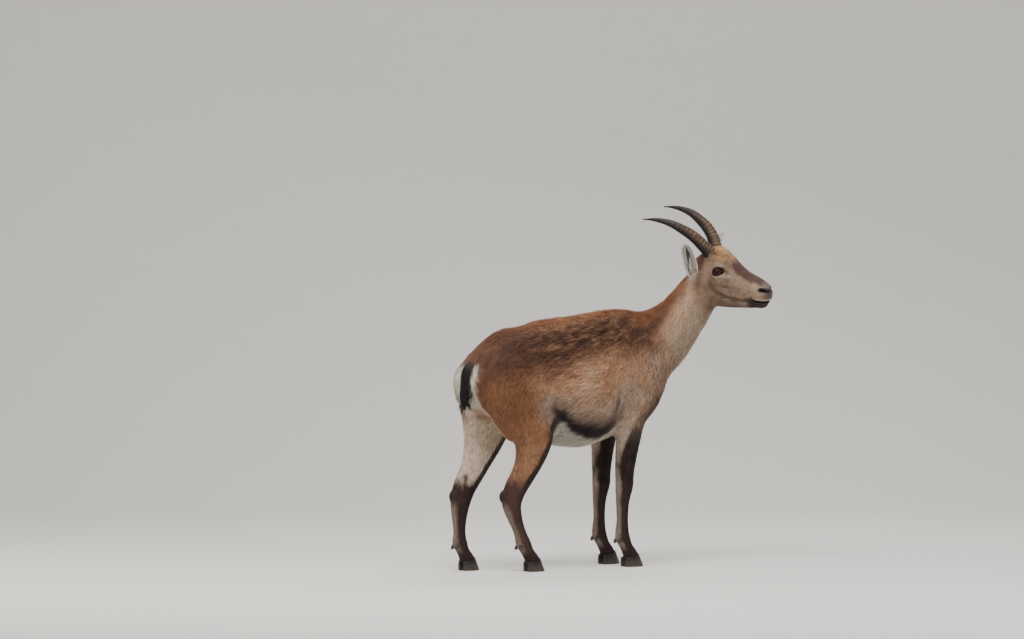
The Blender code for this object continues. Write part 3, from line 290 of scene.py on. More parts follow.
def trunk_mesh(count=64, n=40):
    rows = through(TRUNK, count, key=1)
    q = np.linspace(0, 2 * np.pi, n, endpoint=False)
    rings = []
    for x, top, low, w, mid, up, dn in rows:
        c, s = np.cos(q), np.sin(q)
        e = np.where(s >= 0, 2.0 / up, 2.0 / dn)
        y = w * np.sign(c) * np.abs(c) ** e
        z = np.where(s >= 0, mid + (top - mid) * np.abs(s) ** e, mid - (mid - low) * np.abs(s) ** e)
        rings.append(np.stack([np.full(n, x), y, z], 1))
    return tube(rounded_ends(np.array(rings), bulge=0.35))


def swept(rows, ups, n=28, power=2.2):
    """A tube along rows (x, y, z, up radius, down radius, left radius, right radius); ups points to each section's top."""
    pts = rows[:, :3]
    tan = np.gradient(pts, axis=0)
    q = np.linspace(0, 2 * np.pi, n, endpoint=False)
    e = 2.0 / power
    rings = []
    for p, t, r, u in zip(pts, tan, rows[:, 3:], ups):
        t = unit(t)
        u = unit(u - (u @ t) * t)
        s = np.cross(u, t)
        c, d = np.cos(q), np.sin(q)
        ru = np.where(d >= 0, r[0], r[1]) * np.sign(d) * np.abs(d) ** e
        rs = np.where(c >= 0, r[2], r[3]) * np.sign(c) * np.abs(c) ** e
        rings.append(p + ru[:, None] * u + rs[:, None] * s)
    return np.array(rings)


def neck_rows(count=40):
    rows = through(NECK, count)
    f, u, _ = head_axes()
    back = np.array([-0.75, 0.0, 0.66])
    hind = unit(-f * 0.72 + u * 0.7)
    ups = np.array([unit(back * (1 - k) + hind * k) for k in rows[:, 6]])
    return np.column_stack([rows[:, :6], rows[:, 5]]), ups


def neck_mesh(count=40):
    rows, ups = neck_rows(count)
    return tube(rounded_ends(swept(rows, ups, 36, 2.1)))


def head_mesh(count=60, n=44):
    rows = through(HEAD, count, key=1)
    half = n // 2
    phi = np.linspace(0, np.pi, half + 1)
    t = (1 - np.cos(phi)) / 2
    close = np.sin(phi) ** 0.62
    rings = []
    for row in rows:
        a, top, low, widths = row[0], row[1], row[2], row[3:]
        g = np.interp(t, (0.0,) + HEAD_T + (1.0,), np.concatenate([[widths[0]], widths, [widths[-1]]]))
        g = np.convolve(np.concatenate([[g[0]] * 2, g, [g[-1]] * 2]), np.ones(5) / 5, "valid")
        b, w = low + (top - low) * t, g * close * 1.04
        right = np.stack([np.full(half + 1, a), b, -w], 1)
        left = np.stack([np.full(half - 1, a), b[1:-1][::-1], w[1:-1][::-1]], 1)
        rings.append(np.concatenate([right, left]))
    rings = rounded_ends(np.array(rings), bulge=0.3)
    return tube(from_head(rings))


def leg_rows(table, side, count=56, shift=0.0):
    """side is -1 on the right and 1 on the left; the table's own y is kept for the hind legs."""
    rows = np.array(table, float)
    if shift or side * rows[-1, 1] < 0:
        rows[:, 1] = side * np.abs(rows[:, 1])
        rows[:, 0] += shift * np.clip((60.0 - rows[:, 2]) / 20.0, 0, 1)
    return through(rows, count)


def leg_mesh(table, side, count=56, shift=0.0):
    rows = leg_rows(table, side, count, shift)
    if side > 0:                      # looking down the leg with its front on top, left is the outer side
        rows = rows[:, [0, 1, 2, 3, 4, 6, 5]]
    ups = np.tile(np.array([1.0, 0.0, 0.12]), (len(rows), 1))
    return tube(rounded_ends(swept(rows, ups, 26, 2.15), last=True, bulge=0.3))


def tail_mesh(count=26, n=18):
    rows = through(TAIL, count)
    ups = np.tile(np.array([-1.0, 0.0, 0.3]), (len(rows), 1))
    full = np.column_stack([rows[:, :3], rows[:, 4], rows[:, 4], rows[:, 3], rows[:, 3]])
    return tube(rounded_ends(swept(full, ups, n, 2.0)))


def ball_mesh(centre, radii, n=20):
    q, p = np.linspace(0, 2 * np.pi, n, endpoint=False), np.linspace(-np.pi / 2, np.pi / 2, n // 2 + 1)[1:-1]
    rings = np.array([[(math.cos(b) * math.cos(a), math.cos(b) * math.sin(a), math.sin(b)) for a in q] for b in p])
    verts, faces = tube(rings)
    verts[-2], verts[-1] = (0, 0, -1), (0, 0, 1)
    return verts * np.asarray(radii) + np.asarray(centre), faces


def body_pieces(tail=True):
    """Closed tubes and masses, in centimetres, that together make the flesh."""
    made = [trunk_mesh(), neck_mesh(), head_mesh()] + ([tail_mesh()] if tail else [])
    made += [leg_mesh(HIND_R, -1), leg_mesh(HIND_L, 1), leg_mesh(FORE_R, -1), leg_mesh(FORE_R, 1, shift=FORE_SHIFT)]
    made += [ball_mesh(c, r) for c, r in MASSES]
    made += [ball_mesh(from_head(np.array(c)), r) for c, r in HEAD_MASSES]
    return made


# rounded masses of the head, in its own frame: (a, b, c) and one radius for each axis of the model
HEAD_MASSES = [
    ((-0.1, 0.4, 3.5), (2.4, 2.4, 2.2)), ((-0.1, 0.4, -3.5), (2.4, 2.4, 2.2)),          # orbits
    ((-3.0, 4.6, 2.2), (2.3, 2.3, 2.2)), ((-3.0, 4.6, -2.2), (2.3, 2.3, 2.2)),          # seats of the horns
    ((-7.8, -1.2, 3.5), (2.0, 2.0, 2.0)), ((-7.8, -1.2, -3.5), (2.0, 2.0, 2.0)),        # roots of the ears
]


def joined(parts):
    verts, faces, base = [], [], 0
    for v, f in parts:
        verts.append(v)
        faces += [tuple(i + base for i in face) for face in f]
        base += len(v)
    return np.concatenate(verts), faces


def mesh_object(name, verts, faces, scale=CM):
    me = bpy.data.meshes.new(name)
    v = np.asarray(verts, float) * scale + np.array([ORIGIN_X, ORIGIN_Y, 0.0])
    me.from_pydata(v.tolist(), [], [tuple(f) for f in faces])
    me.validate()
    bm = bmesh.new()
    bm.from_mesh(me)
    bmesh.ops.recalc_face_normals(bm, faces=bm.faces)
    bm.to_mesh(me)
    bm.free()
    ob = bpy.data.objects.new(name, me)
    bpy.context.scene.collection.objects.link(ob)
    return ob


def baked(ob):
    """Replaces the object's mesh with what its modifiers make of it."""
    bpy.context.view_layer.update()
    graph = bpy.context.evaluated_depsgraph_get()
    me = bpy.data.meshes.new_from_object(ob.evaluated_get(graph))
    ob.modifiers.clear()
    old, ob.data = ob.data, me
    bpy.data.meshes.remove(old)
    return ob


def fused(ob, voxel):
    mod = ob.modifiers.new("fuse", "REMESH")
    mod.mode, mod.voxel_size, mod.adaptivity = "VOXEL", voxel, 0.0
    return baked(ob)


def coords(me):
    co = np.zeros(len(me.vertices) * 3)
    me.vertices.foreach_get("co", co)
    return co.reshape(-1, 3)


def neighbours(me):
    """For each vertex, its neighbours in a table as wide as the largest valence, padded with the vertex itself, and their number."""
    e = np.zeros(len(me.edges) * 2, np.int64)
    me.edges.foreach_get("vertices", e)
    e = e.reshape(-1, 2)
    a = np.concatenate([e[:, 0], e[:, 1]])
    b = np.concatenate([e[:, 1], e[:, 0]])
    order = np.argsort(a, kind="stable")
    a, b = a[order], b[order]
    n = len(me.vertices)
    count = np.bincount(a, minlength=n)
    start = np.concatenate([[0], np.cumsum(count)[:-1]])
    table = np.tile(np.arange(n)[:, None], (1, int(count.max())))
    table[a, np.arange(len(a)) - start[a]] = b
    return table, count


def normals_of(me, co):
    me.vertices.foreach_set("co", co.ravel())
    me.update()
    no = np.zeros(len(co) * 3)
    me.vertices.foreach_get("normal", no)
    return no.reshape(-1, 3)


def averaged(values, table, count, times):
    """values at each vertex, averaged with its neighbours' the given number of times."""
    pad = (table.shape[1] - count)[:, None] if values.ndim > 1 else table.shape[1] - count
    n = count[:, None] if values.ndim > 1 else count
    for _ in range(times):
        values = 0.5 * values + 0.5 * (values[table].sum(1) - pad * values) / n
    return values


def fill_creases(ob, rounds, spacing, radius=0.07, evens=3):
    """Rounds the hollows tighter than radius, where limbs meet the body, as flesh and skin do, and leaves what bulges."""
    me = ob.data
    co = coords(me)
    table, count = neighbours(me)
    pad = table.shape[1] - count
    least = spacing ** 2 / (4 * radius)
    share = np.zeros(len(co))
    for i in range(rounds + evens):
        mean = (co[table].sum(1) - pad[:, None] * co) / count[:, None]
        step = mean - co
        if i < rounds:
            if i % 3 == 0:
                out = averaged((step * normals_of(me, co)).sum(1), table, count, 3)
                share = averaged(np.clip((out - least) / least, 0, 1), table, count, 2)
            co = co + step * (0.8 * share)[:, None]
        else:
            co = co + step * 0.5
    me.vertices.foreach_set("co", co.ravel())
    me.update()
    return ob


def relaxed(ob, rounds, mask):
    """Evens the surface where mask(centimetres) is above 0, without moving the rest."""
    me = ob.data
    co = coords(me)
    table, count = neighbours(me)
    pad = table.shape[1] - count
    m = mask(placed(co))[:, None]
    for i in range(rounds):
        mean = (co[table].sum(1) - pad[:, None] * co) / count[:, None]
        co = co + (mean - co) * 0.5 * m
    me.vertices.foreach_set("co", co.ravel())
    me.update()
    return ob


def placed(co):
    """Metres in the finished frame to the centimetres of the tables."""
    return (np.asarray(co, float) - np.array([ORIGIN_X, ORIGIN_Y, 0.0])) / CM


def step(v, lo, hi):
    t = np.clip((np.asarray(v, float) - lo) / (hi - lo), 0, 1)
    return t * t * (3 - 2 * t)


def bulk(q):
    """1 on the trunk and the upper legs, 0 on the head, the tail and the lower legs."""
    h = to_head(q)
    away = step(np.linalg.norm(h - np.array([-2.0, -4.0, 0.0]), axis=1), 13.0, 19.0)
    return step(q[:, 2], 38.0, 46.0) * away * (1 - step(-q[:, 0] - np.clip(np.abs(q[:, 1]) - 2.4, 0, 3) * 2.0, 33.0, 35.5) * step(4.2 - np.abs(q[:, 1]), 0.5, 1.8))


def flesh_object(name, voxel, tail=True):
    """The whole animal's flesh out to the tips of its coat, without ears, eyes, horns and hooves."""
    ob = fused(mesh_object(name, *joined(body_pieces(tail))), voxel)
    fill_creases(ob, int(45 * (0.006 / voxel) ** 2), voxel)
    relaxed(ob, int(50 * (0.006 / voxel) ** 2), bulk)
    return ob


def ear_mesh(ear, side, thick=0.34, ns=22, nq=13, grow=0.0):
    """A leaf-shaped ear, hollow towards `face`, rolled into a tube at its root. Centimetres, in the model's frame."""
    root, tip = np.array(ear["root"]), np.array(ear["tip"])
    axis = unit(tip - root)
    length = np.linalg.norm(tip - root)
    face = np.array(ear["face"], float)
    face = unit(face - (face @ axis) * axis)
    across = np.cross(axis, face)
    s = np.linspace(0, 1, ns)
    q = np.linspace(-1, 1, nq)
    half = (ear["half"] + grow) * (np.interp(s, [0, .12, .3, .5, .7, .86, .95, 1], [.50, .74, .97, 1.0, .86, .58, .33, .10]))
    roll = np.interp(s, [0, .25, .6, 1], [2.35, 1.75, 1.15, 0.8])       # how far each side curls round, radians
    grid = np.zeros((ns, nq, 3))
    for i in range(ns):
        radius = half[i] / math.sin(min(roll[i], 1.45)) if roll[i] < 1.45 else half[i] / 1.0
        ang = q * roll[i]
        lat = radius * np.sin(ang) if roll[i] < 1.45 else half[i] * np.sin(ang)
        dep = radius * (1 - np.cos(ang))
        bow = 0.35 * math.sin(math.pi * s[i])
        grid[i] = root + axis * (s[i] * (length + grow)) + across * lat[:, None] + face * (dep - radius * 0.35 - bow)[:, None]
    du = np.gradient(grid, axis=0)
    dv = np.gradient(grid, axis=1)
    no = np.cross(du, dv)
    no /= np.linalg.norm(no, axis=2, keepdims=True) + 1e-9
    if (no[ns // 2, nq // 2] @ face) < 0:
        no = -no
    edge = np.interp(np.abs(q), [0, .8, 1], [1, .85, .35])
    body = np.interp(s, [0, .3, 1], [1.5, 1.0, .55])
    off = 0.5 * (thick + 2 * grow) * edge[None, :, None] * body[:, None, None]
    front, rear = grid + no * off, grid - no * off
    verts = np.concatenate([front.reshape(-1, 3), rear.reshape(-1, 3)])
    m = ns * nq
    faces = []
    for i in range(ns - 1):
        for j in range(nq - 1):
            a = i * nq + j
            faces.append((a, a + 1, a + nq + 1, a + nq))
            faces.append((m + a, m + a + nq, m + a + nq + 1, m + a + 1))
    for j in range(nq - 1):
        faces.append((j, m + j, m + j + 1, j + 1))
        a = (ns - 1) * nq + j
        faces.append((a, a + 1, m + a + 1, m + a))
    for i in range(ns - 1):
        a = i * nq
        faces.append((a, a + nq, m + a + nq, m + a))
        a = i * nq + nq - 1
        faces.append((a, m + a, m + a + nq, a + nq))
    return from_head(verts), faces


def horn_rows(side, count=60):
    rows = through(HORN, count)
    rows[:, 2] *= side
    return rows


def horn_frames(rows):
    """Points, tangents, fore and side directions of a horn in the model's frame, in centimetres."""
    pts = from_head(rows[:, :3])
    tan = np.gradient(pts, axis=0)
    tan /= np.linalg.norm(tan, axis=1, keepdims=True)
    f, u, l = head_axes()
    fore = np.array([unit((f * 0.75 + u * 0.66) - ((f * 0.75 + u * 0.66) @ t) * t) for t in tan])
    return pts, tan, fore, np.cross(tan, fore)


def horn_mesh(side, count=60, n=24, bumps=0.0, knobs=9):
    """A female's horn: an oval section, flatter behind, with low rings that crowd towards the skull."""
    rows = horn_rows(side, count)
    pts, tan, fore, lat = horn_frames(rows)
    run = np.concatenate([[0], np.cumsum(np.linalg.norm(np.diff(pts, axis=0), axis=1))])
    q = np.linspace(0, 2 * np.pi, n, endpoint=False)
    rings = []
    for i in range(len(pts)):
        ridge = 1.0 + bumps * ring_height(run[i], run[-1], knobs)
        c, s = np.cos(q), np.sin(q)
        a = rows[i, 3] * (1 + (ridge - 1) * np.clip(0.35 + 0.65 * c, 0, 1))
        b = rows[i, 4] * (1 + (ridge - 1) * 0.55)
        fa = np.where(c >= 0, 1.0, 0.86) * np.sign(c) * np.abs(c) ** 0.92 * a
        sd = np.sign(s) * np.abs(s) ** 0.92 * b
        rings.append(pts[i] + fore[i] * fa[:, None] + lat[i] * sd[:, None])
    return tube(np.array(rings))


def ring_height(at, length, knobs):
    """Low growth rings along the horn, closest together near the skull."""
    share = np.clip(at / length, 0, 1)
    phase = knobs * (1 - (1 - share) ** 1.6)
    wave = (0.5 - 0.5 * np.cos(2 * np.pi * phase)) ** 1.4
    return wave * np.clip((0.86 - share) / 0.5, 0, 1)


# ---- feet: where each hoof stands (x, y), which way it points (degrees), and the sole's length --------
FEET = {
    "hind_right": (-16.4, -7.4, -3.0, 5.9),
    "hind_left": (-29.8, 7.4, 3.0, 5.9),
    "fore_right": (20.1, -6.8, -4.0, 6.4),
    "fore_left": (20.1 + FORE_SHIFT, 6.8, 4.0, 6.4),
}
CORONET_Z, CORONET_SLOPE, CORONET_BACK = 3.35, 0.26, 0.85     # height, rise towards the toe, and how far behind the sole's middle


def foot_axes(foot):
    x, y, turn, length = FEET[foot]
    f = np.array([math.cos(math.radians(turn)), math.sin(math.radians(turn)), 0.0])
    return np.array([x, y, 0.0]), f, np.array([-f[1], f[0], 0.0]), length


def coronet_plane(foot):
    """A point and the upward normal of the plane where hair ends and horn begins."""
    o, f, l, _ = foot_axes(foot)
    return o - f * CORONET_BACK + np.array([0, 0, CORONET_Z]), unit(np.array([0, 0, 1.0]) - f * CORONET_SLOPE)


def claw_mesh(foot, inner, gap=0.03, ns=12):
    """One claw of a cloven hoof: flat sole, sloping toe, steep inner wall, top in the coronet's plane. inner = -1 right, 1 left."""
    o, f, l, length = foot_axes(foot)
    rings = []
    for h, size, wide0 in ((0.0, 1.0, 1.0), (0.12, 1.01, 1.01), (0.5, 0.895, 0.97), (0.86, 0.785, 0.94), (1.0, 0.735, 0.90)):
        half = length * 0.5 * size
        middle = -CORONET_BACK * h - 0.10 * math.sin(math.pi * h)
        pts = []
        for k in range(ns * 2):
            t = 2 * math.pi * (k + 0.5) / (ns * 2)
            cx, sx = math.cos(t), math.sin(t)
            fx = math.copysign(abs(cx) ** 0.86, cx)
            wide = 1.0 - 0.50 * max(fx, 0) ** 2.2 - 0.10 * max(-fx, 0) ** 2
            out = sx * -inner < 0                                  # the half that faces away from the other claw
            side = inner * abs(sx) ** 0.9 * wide * wide0 * (1.16 if out else -0.80)
            along = fx * half + middle
            top = CORONET_Z + CORONET_SLOPE * (along + CORONET_BACK) - gap
            pts.append(o + f * along + l * (inner * (1.17 - 0.16 * max(fx, 0) ** 2 * (1 - 0.5 * h)) + side) + np.array([0, 0, h * top]))
        rings.append(pts)
    return tube(np.array(rings))


def dewclaw_mesh(foot, inner):
    """A small blunt horn low behind the fetlock."""
    rows = {"hind_right": HIND_R, "hind_left": HIND_L}.get(foot, FORE_R)
    x, y, z, _, back = rows[-4][:5]
    if foot == "fore_left":
        x, y = x + FORE_SHIFT, -y
    base = np.array([x - back + 1.0, y + inner * 1.05, z - 0.5])
    tip = np.array([x - back - 0.25, y + inner * 1.30, z - 2.3])
    rows = np.array([np.concatenate([base + (tip - base) * t, [r * 0.8, r * 0.8, r, r]])
                     for t, r in ((0.0, 0.80), (0.45, 0.80), (0.85, 0.52), (1.0, 0.22))])
    return tube(swept(rows, np.tile([-1.0, 0.0, 0.6], (4, 1)), 8, 2.1))


# ======================================================================================================
# helpers
# ======================================================================================================

def srgb(r, g, b):
    """A colour given as it looks on screen, 0 to 255, made linear."""
    c = np.array([r, g, b], float) / 255
    return np.where(c > 0.04045, ((c + 0.055) / 1.055) ** 2.4, c / 12.92)


def mix(a, b, t):
    t = np.asarray(t, float)
    if np.ndim(t) and (np.ndim(a) > 1 or np.ndim(b) > 1 or np.shape(b) == (3,)):
        t = t[..., None]
    return a * (1 - t) + b * t


def units(v):
    return v / np.maximum(np.linalg.norm(v, axis=-1, keepdims=True), 1e-9)


def lattice(ix, iy, iz, seed):
    k = (ix.astype(np.uint64) * np.uint64(73856093)) ^ (iy.astype(np.uint64) * np.uint64(19349663)) \
        ^ (iz.astype(np.uint64) * np.uint64(83492791)) ^ np.uint64(seed * 2654435761 + 12345)
    k ^= k >> np.uint64(13)
    k *= np.uint64(0x9E3779B97F4A7C15)
    k ^= k >> np.uint64(29)
    return (k & np.uint64(0xFFFFFF)).astype(float) / float(0xFFFFFF)


def noise(p, size, seed=1):
    """Smooth noise from 0 to 1 at points in centimetres, with lumps of about this size."""
    p = np.asarray(p, float) / np.asarray(size, float)
    i = np.floor(p).astype(np.int64)
    f = p - i
    f = f * f * (3 - 2 * f)
    out = 0.0
    for dx in (0, 1):
        for dy in (0, 1):
            for dz in (0, 1):
                w = (f[:, 0] if dx else 1 - f[:, 0]) * (f[:, 1] if dy else 1 - f[:, 1]) * (f[:, 2] if dz else 1 - f[:, 2])
                out = out + w * lattice(i[:, 0] + dx, i[:, 1] + dy, i[:, 2] + dz, seed)
    return out


def rough_noise(p, size, seed=1):
    return 0.6 * noise(p, size, seed) + 0.4 * noise(p, np.asarray(size, float) * 0.43, seed + 7)


# ======================================================================================================
# where a point lies on the animal
# ======================================================================================================
TRUNK_TABLE = np.array(TRUNK, float)


def trunk_edges(x):
    """Top of the back and underside at this distance along the trunk."""
    t = TRUNK_TABLE
    return np.interp(x, t[:, 0], t[:, 1]), np.interp(x, t[:, 0], t[:, 2])


def head_plane():
    f, u, l = head_axes()
    return from_head(np.array([-10.2, 3.2, 0.0])), unit(f * 0.932 + u * 0.36)


def head_share(q, soft=2.0):
    p, n = head_plane()
    return step((q - p) @ n, -soft, soft)


def neck_place(q):
    """How far up the neck (0 at the shoulders, 1 at the head), the neck's own direction there, and how dorsal the point is."""
    rows, ups = neck_rows(40)
    d = ((q[:, None, :] - rows[None, :, :3]) ** 2).sum(2) if len(q) < 60000 else None
    if d is None:
        near = np.concatenate([((c[:, None, :] - rows[None, :, :3]) ** 2).sum(2).argmin(1) for c in np.array_split(q, len(q) // 50000 + 1)])
    else:
        near = d.argmin(1)
    tan = units(np.gradient(rows[:, :3], axis=0))[near]
    up = ups[near]
    off = units(q - rows[near, :3])
    return near / 39.0, tan, (off * units(up - (up * tan).sum(1)[:, None] * tan)).sum(1)


def neck_share(q):
    p, n = np.array((31.0, -0.5, 68.5)), unit((0.70, -0.10, 0.70))
    return step((q - p) @ n, -5.0, 4.0) * (1 - head_share(q))


def belly_share(q):
    x, y, z = q.T
    return step(x, -12.0, -8.0) * (1 - step(x, 9.5, 13.5)) * step(z, 33.0, 35.5)


LEG_TABLES = {}
for _foot, _table, _side, _shift in (("hind_right", HIND_R, -1, 0.0), ("hind_left", HIND_L, 1, 0.0),
                                     ("fore_right", FORE_R, -1, 0.0), ("fore_left", FORE_R, 1, FORE_SHIFT)):
    _rows = leg_rows(_table, _side, 56, _shift)
    LEG_TABLES[_foot] = _rows[np.argsort(_rows[:, 2])]


def leg_place(q, foot):
    """Along the leg's front-to-back and outward axes, in radii of the leg at that height, and how far each is from its middle."""
    r = LEG_TABLES[foot]
    side = 1 if foot.endswith("left") else -1
    z = q[:, 2]
    cx, cy = np.interp(z, r[:, 2], r[:, 0]), np.interp(z, r[:, 2], r[:, 1])
    fr, bk, out, inn = (np.interp(z, r[:, 2], r[:, k]) for k in (3, 4, 5, 6))
    dx, dy = q[:, 0] - cx, (q[:, 1] - cy) * side
    return dx / np.where(dx > 0, fr, bk), dy / np.where(dy > 0, out, inn), dx, dy


def leg_of(q):
    """The foot each point's leg stands on: index into FEET's names."""
    return np.where(q[:, 0] > 3.0, np.where(q[:, 1] > 0, 3, 2), np.where(q[:, 1] > 0, 1, 0))


FEET_NAMES = ["hind_right", "hind_left", "fore_right", "fore_left"]


def leg_coordinates(q):
    u, w = np.zeros(len(q)), np.zeros(len(q))
    which = leg_of(q)
    for k, foot in enumerate(FEET_NAMES):
        m = which == k
        if m.any():
            a, b, _, _ = leg_place(q[m], foot)
            u[m], w[m] = a, b
    return u, w


def leg_share(q):
    """1 on the legs below the body's line, 0 on the trunk."""
    x, y, z = q.T
    low = 1 - step(z, 40.0, 50.0)
    low = low * (1 - (1 - step(np.abs(y), 2.6, 4.6)) * step(z, 36.0, 39.5))
    return low * (1 - belly_share(q))


def tail_swing(z):
    return np.interp(z, [47.0, 50.0, 54.0, 59.0], [1.75, 1.45, 0.70, 0.0])


def tail_share(q):
    x, y, z = q.T
    r = np.array(TAIL, float)
    cx = np.interp(-z, -r[::-1, 2][::-1], r[:, 0])
    lim = np.interp(z, [50.5, 55.5], [1.45, 2.0])
    return step(-x, -cx - 3.0, -cx - 1.5) * (1 - step(np.abs(y + tail_swing(z)), lim, lim + 0.8)) * step(z, 46.4, 48.0) * (1 - step(z, 61.5, 64.5)) * step(-x - np.interp(z, [46, 49, 52.5], [30.2, 31.8, 33.6]), 0.0, 1.2)


# ======================================================================================================
# the eye's own frame
# ======================================================================================================
BALL = 1.50


def eye_axes(side):
    """Centre of the ball, the way the eye looks, forwards and up along the lids; in the head's frame."""
    out = unit(LID_AXIS * np.array([1, 1, side]))
    fore = np.array([1.0, 0.13, 0])
    fore = unit(fore - (fore @ out) * out)
    up = np.cross(out, fore) * side
    up = up if up[1] > 0 else -up
    return np.array([EYE_A, 0.0, side * EYE_C]), out, fore, up


def eye_place(h, side):
    """Forwards, up and outwards of the eye's centre, in centimetres, for points in the head's frame."""
    c, out, fore, up = eye_axes(side)
    d = h - c
    return d @ fore, d @ up, d @ out


def lid_edge(x):
    """Height of the upper and of the lower lid's edge above the line between the corners."""
    t = np.clip(x / np.where(x > 0, 1.90, 1.55), -1, 1)
    arch = np.sqrt(np.clip(1 - np.abs(t) ** 2.1, 0, 1))
    lean = 0.10 * t
    pull = np.where(x > 1.0, (x - 1.0) * 0.28, 0.0)          # the tear corner dips
    return 1.12 * arch ** 1.15 + lean - pull * 0.5, -0.98 * arch ** 1.05 + lean - pull


def lid_distance(x, y):
    """Signed distance in the eye's plane to the opening's edge, positive outside, in centimetres (nearly)."""
    t = np.linspace(-1.55, 1.90, 73)
    top, low = lid_edge(t)
    px = np.concatenate([t, t[::-1]])
    py = np.concatenate([top, low[::-1]])
    best = np.full(len(x), 9.0)
    for i in range(len(px)):
        j = (i + 1) % len(px)
        ex, ey = px[j] - px[i], py[j] - py[i]
        ll = ex * ex + ey * ey
        if ll < 1e-9:
            continue
        k = np.clip(((x - px[i]) * ex + (y - py[i]) * ey) / ll, 0, 1)
        best = np.minimum(best, np.hypot(x - px[i] - k * ex, y - py[i] - k * ey))
    up, dn = lid_edge(x)
    inside = (x > -1.55) & (x < 1.90) & (y < up) & (y > dn)
    return np.where(inside, -best, best)


# ======================================================================================================
# colours: the same function paints the skin and the tufts
# ======================================================================================================
RUFOUS = srgb(136, 82, 47)
RUFOUS_DEEP = srgb(96, 54, 32)
SEPIA = srgb(54, 29, 20)
SEPIA_LIGHT = srgb(96, 61, 45)
TAN = srgb(164, 121, 90)
TAN_PALE = srgb(178, 146, 120)
GREY_TAN = srgb(148, 130, 115)
THIGH = srgb(132, 87, 57)
BLACK_BROWN = srgb(22, 12, 9)
DARK_BROWN = srgb(48, 30, 25)
PLUM = srgb(82, 56, 50)
CREAM = srgb(214, 192, 170)
WHITE = srgb(218, 208, 192)
NECK_GREY = srgb(158, 136, 116)
CHEEK = srgb(130, 106, 88)
FACE = srgb(148, 124, 104)
OCHRE = srgb(188, 150, 98)
MUZZLE = srgb(158, 134, 110)
EAR_WHITE = srgb(206, 202, 194)


def line_distance(a, b, points):
    """Distance in a plane from (a, b) to a broken line, and how far along it the nearest point is (0 to 1)."""
    best, at = np.full(len(a), 99.0), np.zeros(len(a))
    pts = np.asarray(points, float)
    n = len(pts) - 1
    for i in range(n):
        e = pts[i + 1] - pts[i]
        k = np.clip(((a - pts[i, 0]) * e[0] + (b - pts[i, 1]) * e[1]) / (e @ e), 0, 1)
        d = np.hypot(a - pts[i, 0] - k * e[0], b - pts[i, 1] - k * e[1])
        near = d < best
        best, at = np.where(near, d, best), np.where(near, (i + k) / n, at)
    return best, at


def spot(q, centre, radii, soft=0.35):
    d = np.linalg.norm((q - np.asarray(centre, float)) / np.asarray(radii, float), axis=1)
    return 1 - step(d, 1 - soft, 1 + soft)


